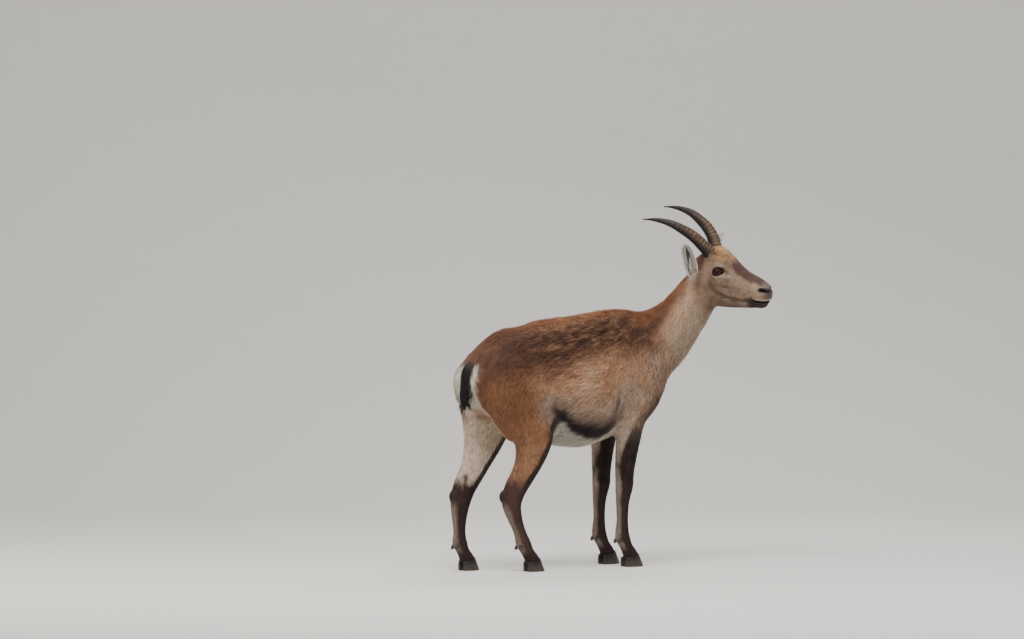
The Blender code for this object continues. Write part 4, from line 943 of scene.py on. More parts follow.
def body_colour(q):
    x, y, z = q.T
    ay = np.abs(y)
    top, low = trunk_edges(x)
    dz = top - z
    v = np.clip((z - low) / (top - low), -0.2, 1.1)
    n1, n2 = rough_noise(q, (5.0, 5.0, 4.0), 3), rough_noise(q, (1.5, 1.5, 1.3), 5)
    along = -x * 0.95 - z * 0.32
    across = z * 0.95 - x * 0.32
    streak = noise(np.stack([along, across, y], 1), (2.6, 0.55, 0.9), 9)
    long_streak = rough_noise(np.stack([along, across, y], 1), (2.6, 0.95, 1.2), 11)
    # tan sides, paler over the ribs and greyer below
    c = mix(TAN, TAN_PALE, step(n1, 0.35, 0.8) * step(x, -12, 2) * (1 - step(v, 0.5, 0.75)))
    c = mix(c, GREY_TAN, (1 - step(v, 0.16, 0.52)) * 0.8 * step(x, -22, -10) * (1 - step(x, 12, 22)))
    # painted shade in the fold between the flank and the thigh
    c = mix(c, GREY_TAN * 0.86, spot(q, (-12.0, 0.0, 49.5), (7.0, 99.0, 4.0)) * 0.55)
    c = mix(c, GREY_TAN * 1.02, spot(q, (18.0, 0.0, 51.0), (8.0, 99.0, 6.0)) * 0.5)
    c = mix(c, TAN * 0.82, spot(q, (19.0, 0.0, 63.5), (7.5, 99.0, 6.5), 0.5) * 0.55)
    # warm thighs and rump
    c = mix(c, THIGH, step(-x, 15, 25) * (1 - step(z, 58, 68)) * 0.85)
    c = mix(c, THIGH * 0.56, spot(q, (-27.0, 0.0, 50.5), (8.5, 99.0, 9.0), 0.6) * 0.8)
    c = mix(c, SEPIA_LIGHT * 0.95, step(-x, 12, 22) * step(z, 55, 62) * 0.85)
    # mottled dark saddle
    depth = np.interp(x, [-36, -30, -24, -18, -12, -5, 4, 12, 20, 27, 31, 35], [8.0, 11.0, 13.0, 14.5, 17.5, 15.0, 13.0, 13.5, 14.5, 13.0, 9.5, 4])
    edge = dz + (n1 - 0.5) * 4.5 + (long_streak - 0.5) * 6.0
    dark = step(dz + (n2 - 0.5) * 2.0, 1.2, 4.0) * (1 - step(edge, depth - 4.5, depth + 2.5))
    heavy = np.clip(0.885 + 0.40 * (n1 - 0.5) + 0.90 * (long_streak - 0.5) + 0.55 * (streak - 0.5) , 0.42, 1.0)
    c = mix(c, mix(SEPIA_LIGHT, SEPIA, step(heavy, 0.35, 0.8)), dark * heavy * np.interp(x, [-36, -24, -15, 14, 22, 30], [0.62, 0.66, 0.97, 1.0, 0.90, 0.90]))
    c = mix(c, SEPIA_LIGHT, spot(q, (-13.0, 0.0, 60.5), (4.5, 99.0, 4.5), 0.5) * step(n2, 0.35, 0.6) * 0.5)
    # rufous crest along the back
    crest = (1 - step(dz + (n2 - 0.5) * 1.2 + (long_streak - 0.5) * 4.0, 1.3, 4.2)) * (1 - step(ay, 3.2, 6.0)) * step(x, -31, -25)
    ridge = mix(mix(SEPIA_LIGHT * 1.0, RUFOUS * 1.0, step(x, -24, -13)), RUFOUS_DEEP, step(n2, 0.38, 0.68) * 0.9)
    c = mix(c, ridge, crest * 0.85)
    # dark crescent low on the flank and the white underside
    bx = [-14.0, -8.5, -3.9, 2.6, 8.1, 12.4, 16.0]
    bz = [48.5, 45.7, 42.2, 40.2, 39.9, 43.0, 46.5]
    line = np.interp(x, bx, bz)
    below = line - z + (n2 - 0.5) * 1.3
    inner = step(x, -15, -11) * (1 - step(x, 12.5, 15.5))
    thick = np.interp(x, bx, [1.7, 2.2, 3.0, 3.9, 4.2, 2.8, 1.0])
    band = step(-below, -1.2, 0.1) * (1 - step(-below, thick * 0.5, thick * 1.2)) * inner
    c = mix(c, DARK_BROWN, (1 - step(-below, thick * 0.9, thick + 4.2)) * inner * 0.55)
    white = step(below, -0.1, 0.8) * inner
    # the underside's white is darkened here as painted shade under the belly
    c = mix(c, WHITE * 0.60, white)
    c = mix(c, mix(BLACK_BROWN, DARK_BROWN, step(-below, thick * 0.35, thick * 0.9) * 0.6), band)
    fold, _ = line_distance(x, z, [(-15.5, 40.0), (-12.6, 43.0), (-10.2, 46.6), (-8.5, 46.4)])
    c = mix(c, BLACK_BROWN, (1 - step(fold + (n2 - 0.5) * 1.4, 0.7, 2.3)) * step(ay, 5.0, 8.0) * 0.92)
    # breast and its dark edge
    chest = step(x, 21, 27) * (1 - step(z, 62, 68)) * (1 - neck_share(q))
    c = mix(c, GREY_TAN * 0.8, chest * 0.55)
    c = mix(c, DARK_BROWN, step(x, 18, 22) * (1 - step(z + 0.30 * ay - 0.62 * (x - 24) + (n2 - 0.5) * 1.5, 50.5, 54.5)) * (1 - step(ay, 8.5, 12.0)) * 0.92)
    c = mix(c, SEPIA_LIGHT, step(x, 24, 30) * (1 - step(z + 0.2 * ay, 58.0, 66.0)) * 0.45)
    between = (1 - step(z, 43.0, 47.5)) * (1 - step(ay, 3.5, 6.0)) * step(x, 10, 13)
    c = mix(c, CREAM * 0.75, between * 0.6)
    # painted shade in the crease behind the elbow, and small marks on the ribs
    c = mix(c, DARK_BROWN, spot(q, (10.9, 0.0, 50.4), (0.55, 99, 2.2), 0.5) * 0.85)
    c = mix(c, DARK_BROWN, spot(q, (5.7, 0.0, 55.6), (0.4, 99, 1.0), 0.5) * 0.7 * (y < 0))
    c = mix(c, RUFOUS_DEEP * 0.9, spot(q, (-6.0, 0.0, 58.4), (2.2, 99, 0.8), 0.6) * 0.55 * (y < 0))
    # rump patch either side of the tail, and a pale line down the back of the thigh
    back = np.interp(z, [44, 50, 58, 64], [-28.5, -32.5, -33.2, -33.0])
    patch = step(-(x - back) + (n2 - 0.5) * 1.6, -0.4, 0.9) * step(z + 2.4 * (y > 0), 48.4, 51.2) * (1 - step(z + 0.25 * ay, 61.2, 63.4)) 
    rim_at = np.interp(z, [47, 52, 58, 62], [3.8, 4.1, 4.7, 4.4]) + np.interp(z, [47, 53], [2.2, 1.2]) * (y > 0)
    patch = patch * (1 - step(ay + (n2 - 0.5) * 1.0, rim_at - 0.6, rim_at + 0.8))
    c = mix(c, WHITE * 0.92, patch)
    lim = np.interp(z, [38, 42.6, 46.9, 50], [7.6, 6.8, 4.6, 5.0]) + 2.0 * (y > 0)
    c = mix(c, CREAM * 0.9, step(-(x - np.interp(z, [34, 42, 47, 51], [-23.0, -28.0, -30.5, -32.5])), -0.6, 0.4) * (1 - step(z, 48, 51)) * step(z, 38.5, 42) * (1 - step(ay + (n2 - 0.5), lim - 0.6, lim + 0.6)) * 0.85 * (1 - step(leg_coordinates(q)[1], -0.42, -0.08) * (1 - step(z, 46, 49))))
    c = mix(c, CREAM * 0.72, step(-x, 6, 12) * (1 - step(-x, 29, 31)) * (1 - step(ay, 3.4, 5.4)) * (1 - step(z, 44, 48)) * 0.85)
    # between the hind legs: partly the crotch's own brown-grey, partly painted shade between the legs
    under = (1 - step(ay, 1.8, 3.6)) * step(-x, 24, 28) * (1 - step(z, 49, 51)) * step(z, 40, 43)
    c = mix(c, TAN * 0.55, under * 0.75)
    shade = 1 + (streak - 0.5) * np.where(dark > 0.3, 0.34, 0.20)
    return c * shade[:, None]


def leg_colour(q):
    x, y, z = q.T
    u, w = leg_coordinates(q)
    hind = x < 3.0
    n2 = rough_noise(q, (1.3, 1.3, 2.2), 15)
    jig = (n2 - 0.5) * 0.45
    # hind: orange-tan outside, cream inside, dark in front; below the hock dark with a pale line behind
    behind = (y > 0) * step(-u, 0.25, 0.75)
    out = step(w + jig * 0.6 - 0.75 * behind, -0.46, -0.08)
    up = mix(CREAM * 0.86, THIGH, out)
    up = mix(up, TAN * 0.86, out * (1 - step(z, 36, 46)) * 0.55)
    up = mix(up, SEPIA_LIGHT, out * step(n2, 0.52, 0.75) * 0.35)
    edge = np.interp(z, [26, 32, 38, 44], [0.10, 0.32, 0.48, 0.56])
    front = step(u + jig * 0.5 + 0.10 * (w > 0), edge - 0.04, edge + 0.20)
    up = mix(up, BLACK_BROWN, front * (1 - step(z, 43.5, 48.5)) * 0.95)
    rear = step(-u - jig * 0.4, 0.45, 0.85) * out
    up = mix(up, SEPIA_LIGHT * 1.15, rear * 0.45 * step(z, 27, 31))
    hock = (1 - step(z + (n2 - 0.5) * 5.0 - 1.6 * np.abs(w) + 2.2 * u, 23.0, 28.5))
    low = mix(DARK_BROWN, PLUM, step(w, 0.1, 0.8) * 0.55)
    low = mix(low, BLACK_BROWN, step(u, -0.2, 0.6) * 0.7)
    low = mix(low, GREY_TAN * 0.72, step(-u + jig * 0.5, 0.45, 0.92) * (1 - step(z, 18.0, 22.0)) * 0.80)
    low = mix(low, DARK_BROWN * 0.8, (1 - step(z, 4.5, 7.0)))
    hindc = mix(up, low, hock)
    # fore: grey-tan above, dark front that widens downwards, pale behind
    fore = mix(GREY_TAN * 0.96, TAN_PALE * 0.96, step(z, 38, 46) * 0.5)
    fore = mix(fore, GREY_TAN * 1.25, step(-u + jig * 0.3, 0.25, 0.75) * (1 - step(z, 40, 45)) * 0.6)
    limit = np.interp(z, [22, 30, 34, 38, 42, 46, 50, 53], [-0.80, -0.92, -0.84, -0.52, -0.22, 0.05, 0.30, 0.62])
    fdark = step(u + jig * 0.8, limit - 0.16, limit + 0.22)
    fore = mix(fore, mix(DARK_BROWN, BLACK_BROWN, step(n2, 0.3, 0.7)), fdark * (1 - step(z, 48.5, 53.5)) * (0.75 + 0.25 * (1 - step(z, 36, 44))))
    knee = 1 - step(z, 20, 26)
    flow = mix(DARK_BROWN, BLACK_BROWN, step(u, -0.2, 0.5))
    flow = mix(flow, GREY_TAN * 0.78, step(-u + jig * 0.5, 0.52, 0.90) * 0.85)
    fore = mix(fore, flow, knee)
    fore = mix(fore, DARK_BROWN * 0.8, (1 - step(z, 4.5, 7.0)))
    c = mix(fore, hindc, hind.astype(float))
    return c * (1 + (n2 - 0.5) * 0.22)[:, None]


def neck_colour(q, place):
    t, tan, up = place
    n2 = rough_noise(q, (1.6, 1.6, 2.4), 21)
    n1 = rough_noise(q, (5, 5, 6), 23)
    c = mix(TAN_PALE * 0.98, NECK_GREY, step(-up + (n1 - 0.5) * 0.6, -0.1, 0.6))
    c = mix(c, TAN * 0.96, step(up, 0.0, 0.6) * 0.7)
    c = mix(c, SEPIA_LIGHT * 1.25, step(up + (n2 - 0.5) * 0.5 + (n1 - 0.5) * 0.4, 0.22, 0.66) * (1 - 0.35 * step(t, 0.5, 0.9)) * 0.85)
    nape = step(up + (n2 - 0.5) * 0.25, 0.66, 0.90)
    c = mix(c, mix(RUFOUS, RUFOUS_DEEP, step(n2, 0.3, 0.7)), nape * 0.9)
    # dark wedge that runs from the withers a little way up the neck
    c = mix(c, SEPIA, step(up + (n2 - 0.5) * 0.3, 0.45, 0.7) * (1 - nape) * (1 - step(t + (n1 - 0.5) * 0.3, 0.28, 0.52)) * 0.85)
    c = mix(c, RUFOUS, step(up, 0.35, 0.7) * step(t, 0.72, 0.9) * (1 - nape) * 0.5)
    c = mix(c, NECK_GREY * 0.86, step(-up, 0.72, 0.95) * 0.5)
    return c * (1 + (n2 - 0.5) * 0.22)[:, None]


def head_colour(q):
    h = to_head(q)
    a, b, cc = h.T
    s = np.abs(cc)
    n2, n1 = rough_noise(q, 0.7, 31), rough_noise(q, 2.0, 33)
    jig = (n2 - 0.5) * 0.8
    c = mix(CHEEK, FACE, step(a, 0, 7))
    c = mix(c, CHEEK * 0.80, (1 - step(b, -9.5, -5.0)) * (1 - step(a, 2, 7)) * 0.35)
    n3, n4 = rough_noise(h, (1.7, 0.9, 1.2), 35), rough_noise(h, (1.1, 0.32, 0.5), 37)
    c = mix(c, srgb(98, 74, 62), step(n1, 0.42, 0.72) * 0.55)
    c = mix(c, srgb(176, 162, 150), step(n3, 0.50, 0.74) * 0.42 * step(a, -2, 1.5))
    c = c * (1 + (n4 - 0.5) * 0.42)[:, None]
    # brow and forehead: ochre-cream, brightest at the horns' feet
    fore = step(b - 0.22 * s + 0.55 * a * (a < 0) + jig, 1.4, 3.6) * (1 - step(a, 4.2, 7.2)) * step(a, -5.5, -2.5)
    c = mix(c, srgb(172, 128, 84), fore * 0.75)
    c = mix(c, srgb(112, 76, 50), fore * step(rough_noise(h, (1.3, 0.5, 0.5), 71), 0.45, 0.62) * 0.80)
    c = mix(c, srgb(206, 170, 122), fore * step(rough_noise(h, (0.9, 0.6, 0.5), 73), 0.60, 0.75) * 0.60)
    c = mix(c, srgb(206, 166, 108), spot(h, (0.4, 5.9, 0.0), (2.0, 0.9, 1.7), 0.5) * 0.55)
    rim = (1 - step(s, 0.4, 1.6)) * step(b, 0.0, 1.5) * (1 - step(a, 4.5, 6.5)) * step(a, -0.5, 1.0)
    c = mix(c, srgb(190, 158, 124), rim * 0.4)
    # plum-brown band along the nose
    nose_t = np.interp(a, [3.2, 5.0, 9.0, 13.0, 14.6], [1.3, 2.9, 2.9, 2.6, 2.2])
    low_b = np.interp(a, [3.2, 5.0, 9.0, 12.0, 14.5], [1.6, -0.4, -3.2, -4.6, -6.0])
    nasal = step(a + jig, 2.8, 4.4) * step(b + jig * 1.3, low_b - 1.1, low_b + 0.1)
    c = mix(c, mix(PLUM, DARK_BROWN, step(n1, 0.5, 0.9) * 0.4), nasal * (1 - step(s, nose_t * 1.05, nose_t * 1.4) * 0.5) * 0.92)
    # pale patch above the nostril, pale lips, dark nose leather
    c = mix(c, srgb(170, 140, 104), spot(h, (10.6, -4.9, 0.0), (1.4, 0.9, 9.0), 0.7) * step(s, 1.6, 2.4) * 0.6)
    muzzle = step(a, 8.6, 10.6) * (1 - step(b, -6.0, -4.6)) * step(b, -10.2, -9.2)
    c = mix(c, MUZZLE, muzzle * 0.8)
    c = mix(c, srgb(120, 102, 100), step(a, 12.0, 13.4) * step(b, -6.2, -5.2) * 0.85)
    d, at = nostril_distance(h)
    c = mix(c, srgb(52, 40, 42), (1 - step(d, 0.70, 1.15)) * 0.85)
    # the nostril's opening painted near black: painted shade in its hollow
    c = mix(c, srgb(5, 3, 4), 1 - step(d, 0.50, 0.80))
    lipf = step(a, 13.0, 14.6) * (1 - step(b, -7.4, -6.9)) * step(b, -9.9, -9.5)
    c = mix(c, srgb(92, 84, 82), lipf * 0.75 * step(s, 0.15, 0.5))
    c = mix(c, srgb(70, 56, 56), step(a, 13.6, 14.4) * step(b, -8.2, -7.4) * (1 - step(b, -6.0, -5.4)) * (1 - step(s, 1.0, 1.7)) * 0.8)
    c = mix(c, srgb(30, 22, 22), (1 - step(s, 0.08, 0.26)) * step(a, 13.6, 14.4) * (1 - step(b, -6.8, -6.4)) * step(b, -10.4, -10.0) * 0.9)
    under_nose = spot(h, (13.7, -8.1, 0.0), (1.7, 1.1, 3.2), 0.7)
    c = mix(c, srgb(70, 60, 58), under_nose * 0.85 * step(s, 0.3, 0.7))
    # mouth line and dark chin
    m = mouth_height(a)
    gap = np.abs(b - m)
    along = step(a, 8.4, 9.2)
    c = mix(c, srgb(196, 176, 150), (1 - step(np.abs(b - m - 0.55), 0.15, 0.45)) * step(a, 10.0, 11.5) * 0.5)
    # the mouth line painted near black: painted shade in the crease between the lips
    c = mix(c, srgb(12, 7, 7), (1 - step(gap - 0.10 * (b < m), 0.30, 0.60)) * along)
    chin = (1 - step(b + jig * 0.4, m - 0.6, m - 0.1)) * step(a + jig - 0.3 * (m - b), 5.6, 8.2)
    c = mix(c, srgb(34, 23, 22), chin * 0.92)
    jaw = (1 - step(b - np.interp(a, [-5, 0, 6, 11], [-11.0, -11.6, -12.0, -12.0]) + jig * 0.5, 0.25, 1.1)) * step(a, -5, -2)
    c = mix(c, DARK_BROWN, jaw * 0.45)
    # shaded line from cheek to the corner of the mouth
    d, at = line_distance(a, b, [(-2.7, -3.4), (-2.0, -5.2), (-0.8, -6.6), (1.4, -8.2), (6.2, -9.7), (8.9, -8.9)])
    c = mix(c, CHEEK * 0.42, (1 - step(d + jig * 0.15, 0.15, 0.95)) * (0.95 - 0.30 * at) * step(s, 1.5, 2.6))
    c = mix(c, FACE * 1.15, (1 - step(line_distance(a, b, [(-0.8, -5.2), (1.6, -6.9), (5.0, -8.0)])[0], 0.2, 1.0)) * 0.35)
    # dark strip ahead of the ear: brown hair, deepened with painted shade behind the cheek
    d, at = line_distance(a, b, [(-6.3, 4.4), (-5.9, 2.6), (-5.7, 0.5), (-5.9, -2.6), (-6.2, -4.6)])
    c = mix(c, srgb(68, 44, 32), (1 - step(d + jig * 0.6, 0.2, 1.5)) * (0.85 - 0.55 * at) * step(s, 1.8, 3.0))
    # crown and nape behind the horns
    crown = step(-a, 5.0, 8.0) * step(b + 0.2 * (-a), 3.2, 5.2)
    c = mix(c, RUFOUS * 0.92, crown * 0.8)
    c = mix(c, srgb(64, 46, 38), (1 - step(line_distance(a, b, [(-5.7, 4.2), (-3.2, 5.0), (-0.8, 5.2)])[0], 0.2, 0.8)) * step(s, 1.2, 2.4) * 0.6)
    # eye: pale ring below and above, dark lids, tear line
    for side in (-1, 1):
        x, y, z = eye_place(h, side)
        on = (z > 0) & (np.abs(x) < 5) & (np.abs(y) < 4)
        if not on.any():
            continue
        e = lid_distance(x[on], y[on])
        xo, yo = x[on], y[on]
        k = c[on]
        k = mix(k, srgb(206, 192, 176), (1 - step(np.abs(e - 0.62), 0.12, 0.50)) * (0.04 + 0.52 * step(-yo, -0.1, 0.6)) * (1 - step(np.abs(xo - 0.2), 1.3, 2.2)))
        k = mix(k, srgb(150, 118, 92), (1 - step(np.abs(e - 1.3), 0.2, 0.7)) * 0.35)
        d2, at2 = line_distance(xo, yo, [(1.6, -0.1), (2.5, -0.35), (3.5, -1.15)])
        k = mix(k, srgb(52, 32, 30), (1 - step(d2, 0.16, 0.50)) * (0.95 - 0.7 * at2))
        d3, at3 = line_distance(xo, yo, [(-1.4, -0.1), (-2.1, -0.42), (-2.7, -0.55)])
        k = mix(k, srgb(58, 38, 34), (1 - step(d3, 0.12, 0.40)) * (0.85 - 0.6 * at3))
        k = mix(k, srgb(20, 12, 11), (1 - step(e - 0.20 * (yo > 0), 0.14, 0.36)))
        c[on] = k
    return c * (1 + (n2 - 0.5) * 0.16)[:, None]


def ear_colour(q, side, inside):
    """inside is 1 where the surface faces into the hollow."""
    s, lat = ear_place(q, side)
    n2 = rough_noise(q, 0.6, 41)
    back = mix(srgb(178, 160, 138), srgb(150, 118, 92), (1 - step(s, 0.1, 0.5)) * 0.6)
    fwd = lat * (1 if ear_frame(side)[4][0] > 0 else -1)
    n3 = rough_noise(np.stack([s * 9, lat * 4.5, np.zeros(len(s))], 1), (2.4, 0.35, 1.0), 43)
    front = mix(EAR_WHITE * 0.92, srgb(150, 138, 126), step(n3, 0.42, 0.7) * 0.75)
    middle = np.interp(s, [0.05, 0.2, 0.38, 0.6, 0.8], [0.72, 0.55, 0.28, 0.0, -0.06])
    broad = np.interp(s, [0.05, 0.25, 0.5, 0.64, 0.78, 0.88], [0.12, 0.12, 0.16, 0.36, 0.22, 0.02])
    # dark wedge down the hollow: painted shade in the ear's hollow
    dark = 1 - step(np.abs(fwd - middle) + (n2 - 0.5) * 0.16, broad * 0.6, broad * 1.35)
    front = mix(front, srgb(44, 35, 31), dark * 0.92)
    second = 1 - step(np.abs(fwd + 0.30 + 0.25 * (s - 0.5)) + (n2 - 0.5) * 0.14, 0.03, 0.14)
    front = mix(front, srgb(92, 80, 72), second * step(s, 0.12, 0.3) * (1 - step(s, 0.55, 0.75)) * 0.7)
    line = 1 - step(np.abs(np.abs(lat) - 0.66), 0.04, 0.13)
    front = mix(front, srgb(112, 94, 80), line * step(s, 0.1, 0.3) * (1 - step(s, 0.86, 0.95)) * 0.38)
    c = mix(back, front, inside)
    c = mix(c, EAR_WHITE, step(np.abs(lat), 0.72, 0.95) * 0.8)
    c = mix(c, srgb(176, 168, 158), (1 - step(s, 0.04, 0.2)) * 0.7)
    return c * (1 + (n2 - 0.5) * 0.2)[:, None]


def coat_colour(q, ear=None, inside=None):
    """Linear colours of the coat at points in centimetres. ear is -1 or 1 on a point of the right or left ear, else 0."""
    out = body_colour(q)
    out = mix(out, leg_colour(q), leg_share(q))
    # painted shade down the crease behind the elbow, where the foreleg meets the body
    line, _ = line_distance(q[:, 0], q[:, 2], [(11.1, 50.2), (10.5, 47.0), (10.3, 43.5), (10.8, 40.0)])
    wave = rough_noise(q, (0.8, 0.8, 1.6), 53)
    out = mix(out, DARK_BROWN, (1 - step(line + (wave - 0.5) * 0.6, 0.15, 0.95)) * step(np.abs(q[:, 1]), 4.0, 6.0) * 0.55)
    near = q[:, 0] > 18
    if near.any():
        p = q[near]
        place = neck_place(p)
        c = mix(out[near], neck_colour(p, place), neck_share(p))
        c = mix(c, head_colour(p), head_share(p, 1.6))
        h = to_head(p)
        for side in (-1, 1):
            r = ear_frame(side)[0]
            pale = spot(h, r + np.array([0.3, -0.9, 0.4 * side]), (1.9, 3.3, 2.0), 0.35)
            hair = rough_noise(h, (0.45, 1.9, 0.45), 45)
            c = mix(c, mix(srgb(176, 166, 154), srgb(104, 88, 76), step(hair, 0.46, 0.62) * 0.75), pale * 0.88)
        out[near] = c
    t = tail_share(q)
    n = rough_noise(q, 0.8, 51)
    out = mix(out, mix(srgb(15, 9, 8), srgb(36, 23, 18), step(n, 0.5, 0.9)), t)
    if ear is not None:
        for side in (-1, 1):
            m = ear == side
            if m.any():
                out[m] = ear_colour(q[m], side, inside[m])
    return np.clip(out, 0.0, 1.0)


# ======================================================================================================
# features of the face, in the head's frame
# ======================================================================================================
NOSTRIL = [(12.45, -6.15, 2.78), (13.3, -6.30, 2.50), (14.1, -6.62, 1.86), (14.7, -6.98, 1.15)]


def mouth_height(a):
    return np.interp(a, [8.4, 8.9, 10.2, 12.7, 14.1, 15.5], [-8.55, -8.8, -9.6, -10.05, -10.15, -10.1])


def nostril_distance(h):
    p = np.stack([h[:, 0], h[:, 1], np.abs(h[:, 2])], 1)
    best, at = np.full(len(p), 99.0), np.zeros(len(p))
    near = p[:, 0] > 9.5
    if near.any():
        pts = np.array(NOSTRIL)
        q = p[near]
        b, t = np.full(len(q), 99.0), np.zeros(len(q))
        for i in range(len(pts) - 1):
            e = pts[i + 1] - pts[i]
            k = np.clip(((q - pts[i]) @ e) / (e @ e), 0, 1)
            d = np.linalg.norm((q - pts[i] - k[:, None] * e) * np.array([1, 1.15, 1]), axis=1)
            t = np.where(d < b, (i + k) / (len(pts) - 1), t)
            b = np.minimum(b, d)
        best[near], at[near] = b, t
    return best, at


FACE_FORMS = [      # a, b, |c|, radius, how far out, all in centimetres
    (5.6, 0.6, 0.0, 2.6, 0.16), (8.6, -1.2, 0.0, 2.4, 0.14), (0.7, 2.25, 4.5, 1.5, 0.26), (-0.9, 2.3, 4.7, 1.2, 0.16), (-3.7, 1.3, 5.0, 1.6, -0.22), (0.6, -2.9, 5.1, 1.5, 0.13),
    (3.2, -3.0, 4.4, 1.5, 0.14), (3.5, 0.1, 4.5, 1.3, -0.20), (-3.2, -6.6, 5.2, 2.8, 0.24), (6.0, -7.6, 3.9, 2.2, -0.26),
    (12.1, -8.0, 2.9, 1.4, 0.16), (8.6, -4.4, 3.5, 1.8, -0.16), (13.9, -5.0, 0.9, 0.9, 0.10), (12.4, -11.7, 0.0, 1.2, 0.12),
    (-4.6, -9.4, 4.3, 1.8, 0.18), (2.2, -9.8, 3.6, 2.0, -0.10), (10.8, -5.2, 3.0, 1.0, 0.10), (-6.6, 2.0, 4.2, 1.4, -0.14),
    (5.4, -4.6, 4.3, 1.8, 0.08), (1.2, 5.2, 0.0, 1.7, 0.10),
]


def face_forms(h):
    p = np.stack([h[:, 0], h[:, 1], np.abs(h[:, 2])], 1)
    out = np.zeros(len(p))
    for a, b, c, r, amount in FACE_FORMS:
        out += amount * np.exp(-((p - (a, b, c)) ** 2).sum(1) / (r * r))
    return out


def body_forms(q):
    """Muscle and bone under the coat: how far out of the smooth flesh the skin stands, in centimetres."""
    x, y, z = q.T
    side = step(np.abs(y), 3.0, 7.0)

    def lump(cx, cz, rx, rz):
        return np.exp(-((x - cx) / rx) ** 2 - ((z - cz) / rz) ** 2) * side
    out = -0.42 * lump(10.2, 58.0, 2.6, 7.5) + 0.30 * lump(18.5, 62.0, 4.5, 8.0) - 0.50 * lump(-14.5, 66.0, 4.0, 3.6)
    out += 0.22 * lump(22.5, 56.0, 3.0, 4.0) - 0.20 * lump(-5.5, 49.0, 4.0, 3.0) + 0.20 * lump(-13.0, 50.0, 3.2, 3.5)
    d, _ = line_distance(x, z, [(-20.0, 66.0), (-15.5, 58.0), (-9.5, 51.0)])
    out += -0.16 * np.exp(-(d / 1.3) ** 2) * side
    d, _ = line_distance(x, z, [(-29.0, 60.0), (-26.5, 50.0), (-23.5, 42.0)])
    out += -0.20 * np.exp(-(d / 1.2) ** 2) * side
    ribs = np.cos((x + 0.32 * (z - 52)) * 2 * np.pi / 3.1) * step(x, -7, -3) * (1 - step(x, 7, 10)) * step(z, 44, 48) * (1 - step(z, 62, 67))
    out += 0.045 * ribs * side
    u, w = leg_coordinates(q)
    leg = leg_share(q)
    hind = (x < 3).astype(float)
    sides = step(np.abs(w), 0.3, 0.8)
    out += leg * hind * sides * -0.34 * np.exp(-((u + 0.30) / 0.28) ** 2 - ((z - 30.0) / 3.6) ** 2)
    out += leg * sides * -0.16 * np.exp(-((u + 0.22) / 0.25) ** 2) * step(z, 9.5, 12) * (1 - step(z, 17.5, 21))
    out += leg * (1 - hind) * 0.14 * np.exp(-((z - 25.0) / 1.8) ** 2) * step(u, 0.0, 0.6)
    out += leg * 0.10 * np.exp(-((z - 8.2) / 1.2) ** 2)
    return out


def coat_depth(q):
    """From the tips of the coat down to the skin, in centimetres."""
    h = to_head(q)
    x, y, z = q.T
    top, low = trunk_edges(x)
    out = 0.80 + 0.25 * step(z - top, -3.5, -0.5) * step(x, -30, -20) + 0.25 * belly_share(q) * (1 - step(z, 38, 41))
    out = mix(out, 0.62, step(-x, 14, 24) * (1 - step(z, 50, 62)))
    leg = np.interp(z, [5, 20, 27, 36, 46], [0.10, 0.13, 0.22, 0.36, 0.60])
    out = mix(out, leg, leg_share(q))
    out = mix(out, 0.68, neck_share(q))
    face = 0.26 - 0.16 * step(h[:, 0], 5.0, 11.0) + 0.12 * (1 - step(h[:, 0], -8.0, -4.0))
    out = mix(out, face, head_share(q, 2.0))
    return mix(out, 0.75, tail_share(q))


# ======================================================================================================
# mesh tools
# ======================================================================================================

def lighter(ob, where, triangles):
    """Leaves about this many triangles in the part of the surface that where(centimetres) picks, and the rest as it is."""
    inside = where(placed(coords(ob.data)))
    group = ob.vertex_groups.new(name="lighter")
    group.add(np.nonzero(inside)[0].tolist(), 1.0, "REPLACE")
    sides = np.zeros(len(ob.data.polygons), np.int64)
    ob.data.polygons.foreach_get("loop_total", sides)
    first = np.zeros(len(ob.data.polygons), np.int64)
    ob.data.polygons.foreach_get("loop_start", first)
    corner = np.zeros(len(ob.data.loops), np.int64)
    ob.data.loops.foreach_get("vertex_index", corner)
    mine = inside[corner[first]]
    have, own = (sides - 2).sum(), (sides - 2)[mine].sum()
    mod = ob.modifiers.new("lighter", "DECIMATE")
    mod.decimate_type, mod.ratio, mod.use_collapse_triangulate = "COLLAPSE", (have - own + triangles) / have, False
    mod.vertex_group, mod.vertex_group_factor = "lighter", 1.0
    baked(ob)
    ob.vertex_groups.clear()
    return ob


def finer(ob, where):
    """Cuts every edge in two where both its ends are picked by where(centimetres)."""
    bm = bmesh.new()
    bm.from_mesh(ob.data)
    inside = where(placed(coords(ob.data)))
    edges = [e for e in bm.edges if inside[e.verts[0].index] and inside[e.verts[1].index]]
    bmesh.ops.subdivide_edges(bm, edges=edges, cuts=1, use_grid_fill=True)
    many = [f for f in bm.faces if len(f.verts) > 4]
    bmesh.ops.triangulate(bm, faces=many)
    bm.to_mesh(ob.data)
    bm.free()
    ob.data.update()
    return ob


def evened(ob, rounds, mask):
    return relaxed(ob, rounds, mask)


def moved(ob, by):
    """Moves each vertex along its normal by by(centimetres, normal) centimetres."""
    co = coords(ob.data)
    no = normals_of(ob.data, co)
    co = co + no * (by(placed(co), no) * CM)[:, None]
    ob.data.vertices.foreach_set("co", co.ravel())
    ob.data.update()
    return ob


def set_coords(ob, q):
    co = q * CM + np.array([ORIGIN_X, ORIGIN_Y, 0.0])
    ob.data.vertices.foreach_set("co", co.ravel())
    ob.data.update()


def in_face(q, low=-4.0):
    p, n = head_plane()
    return (q - p) @ n > low


def near_eye(q, reach):
    h = to_head(q)
    out = np.zeros(len(q), bool)
    for side in (-1, 1):
        x, y, z = eye_place(h, side)
        out |= (z > -0.3) & (np.hypot(x - 0.3, y) < reach)
    return out


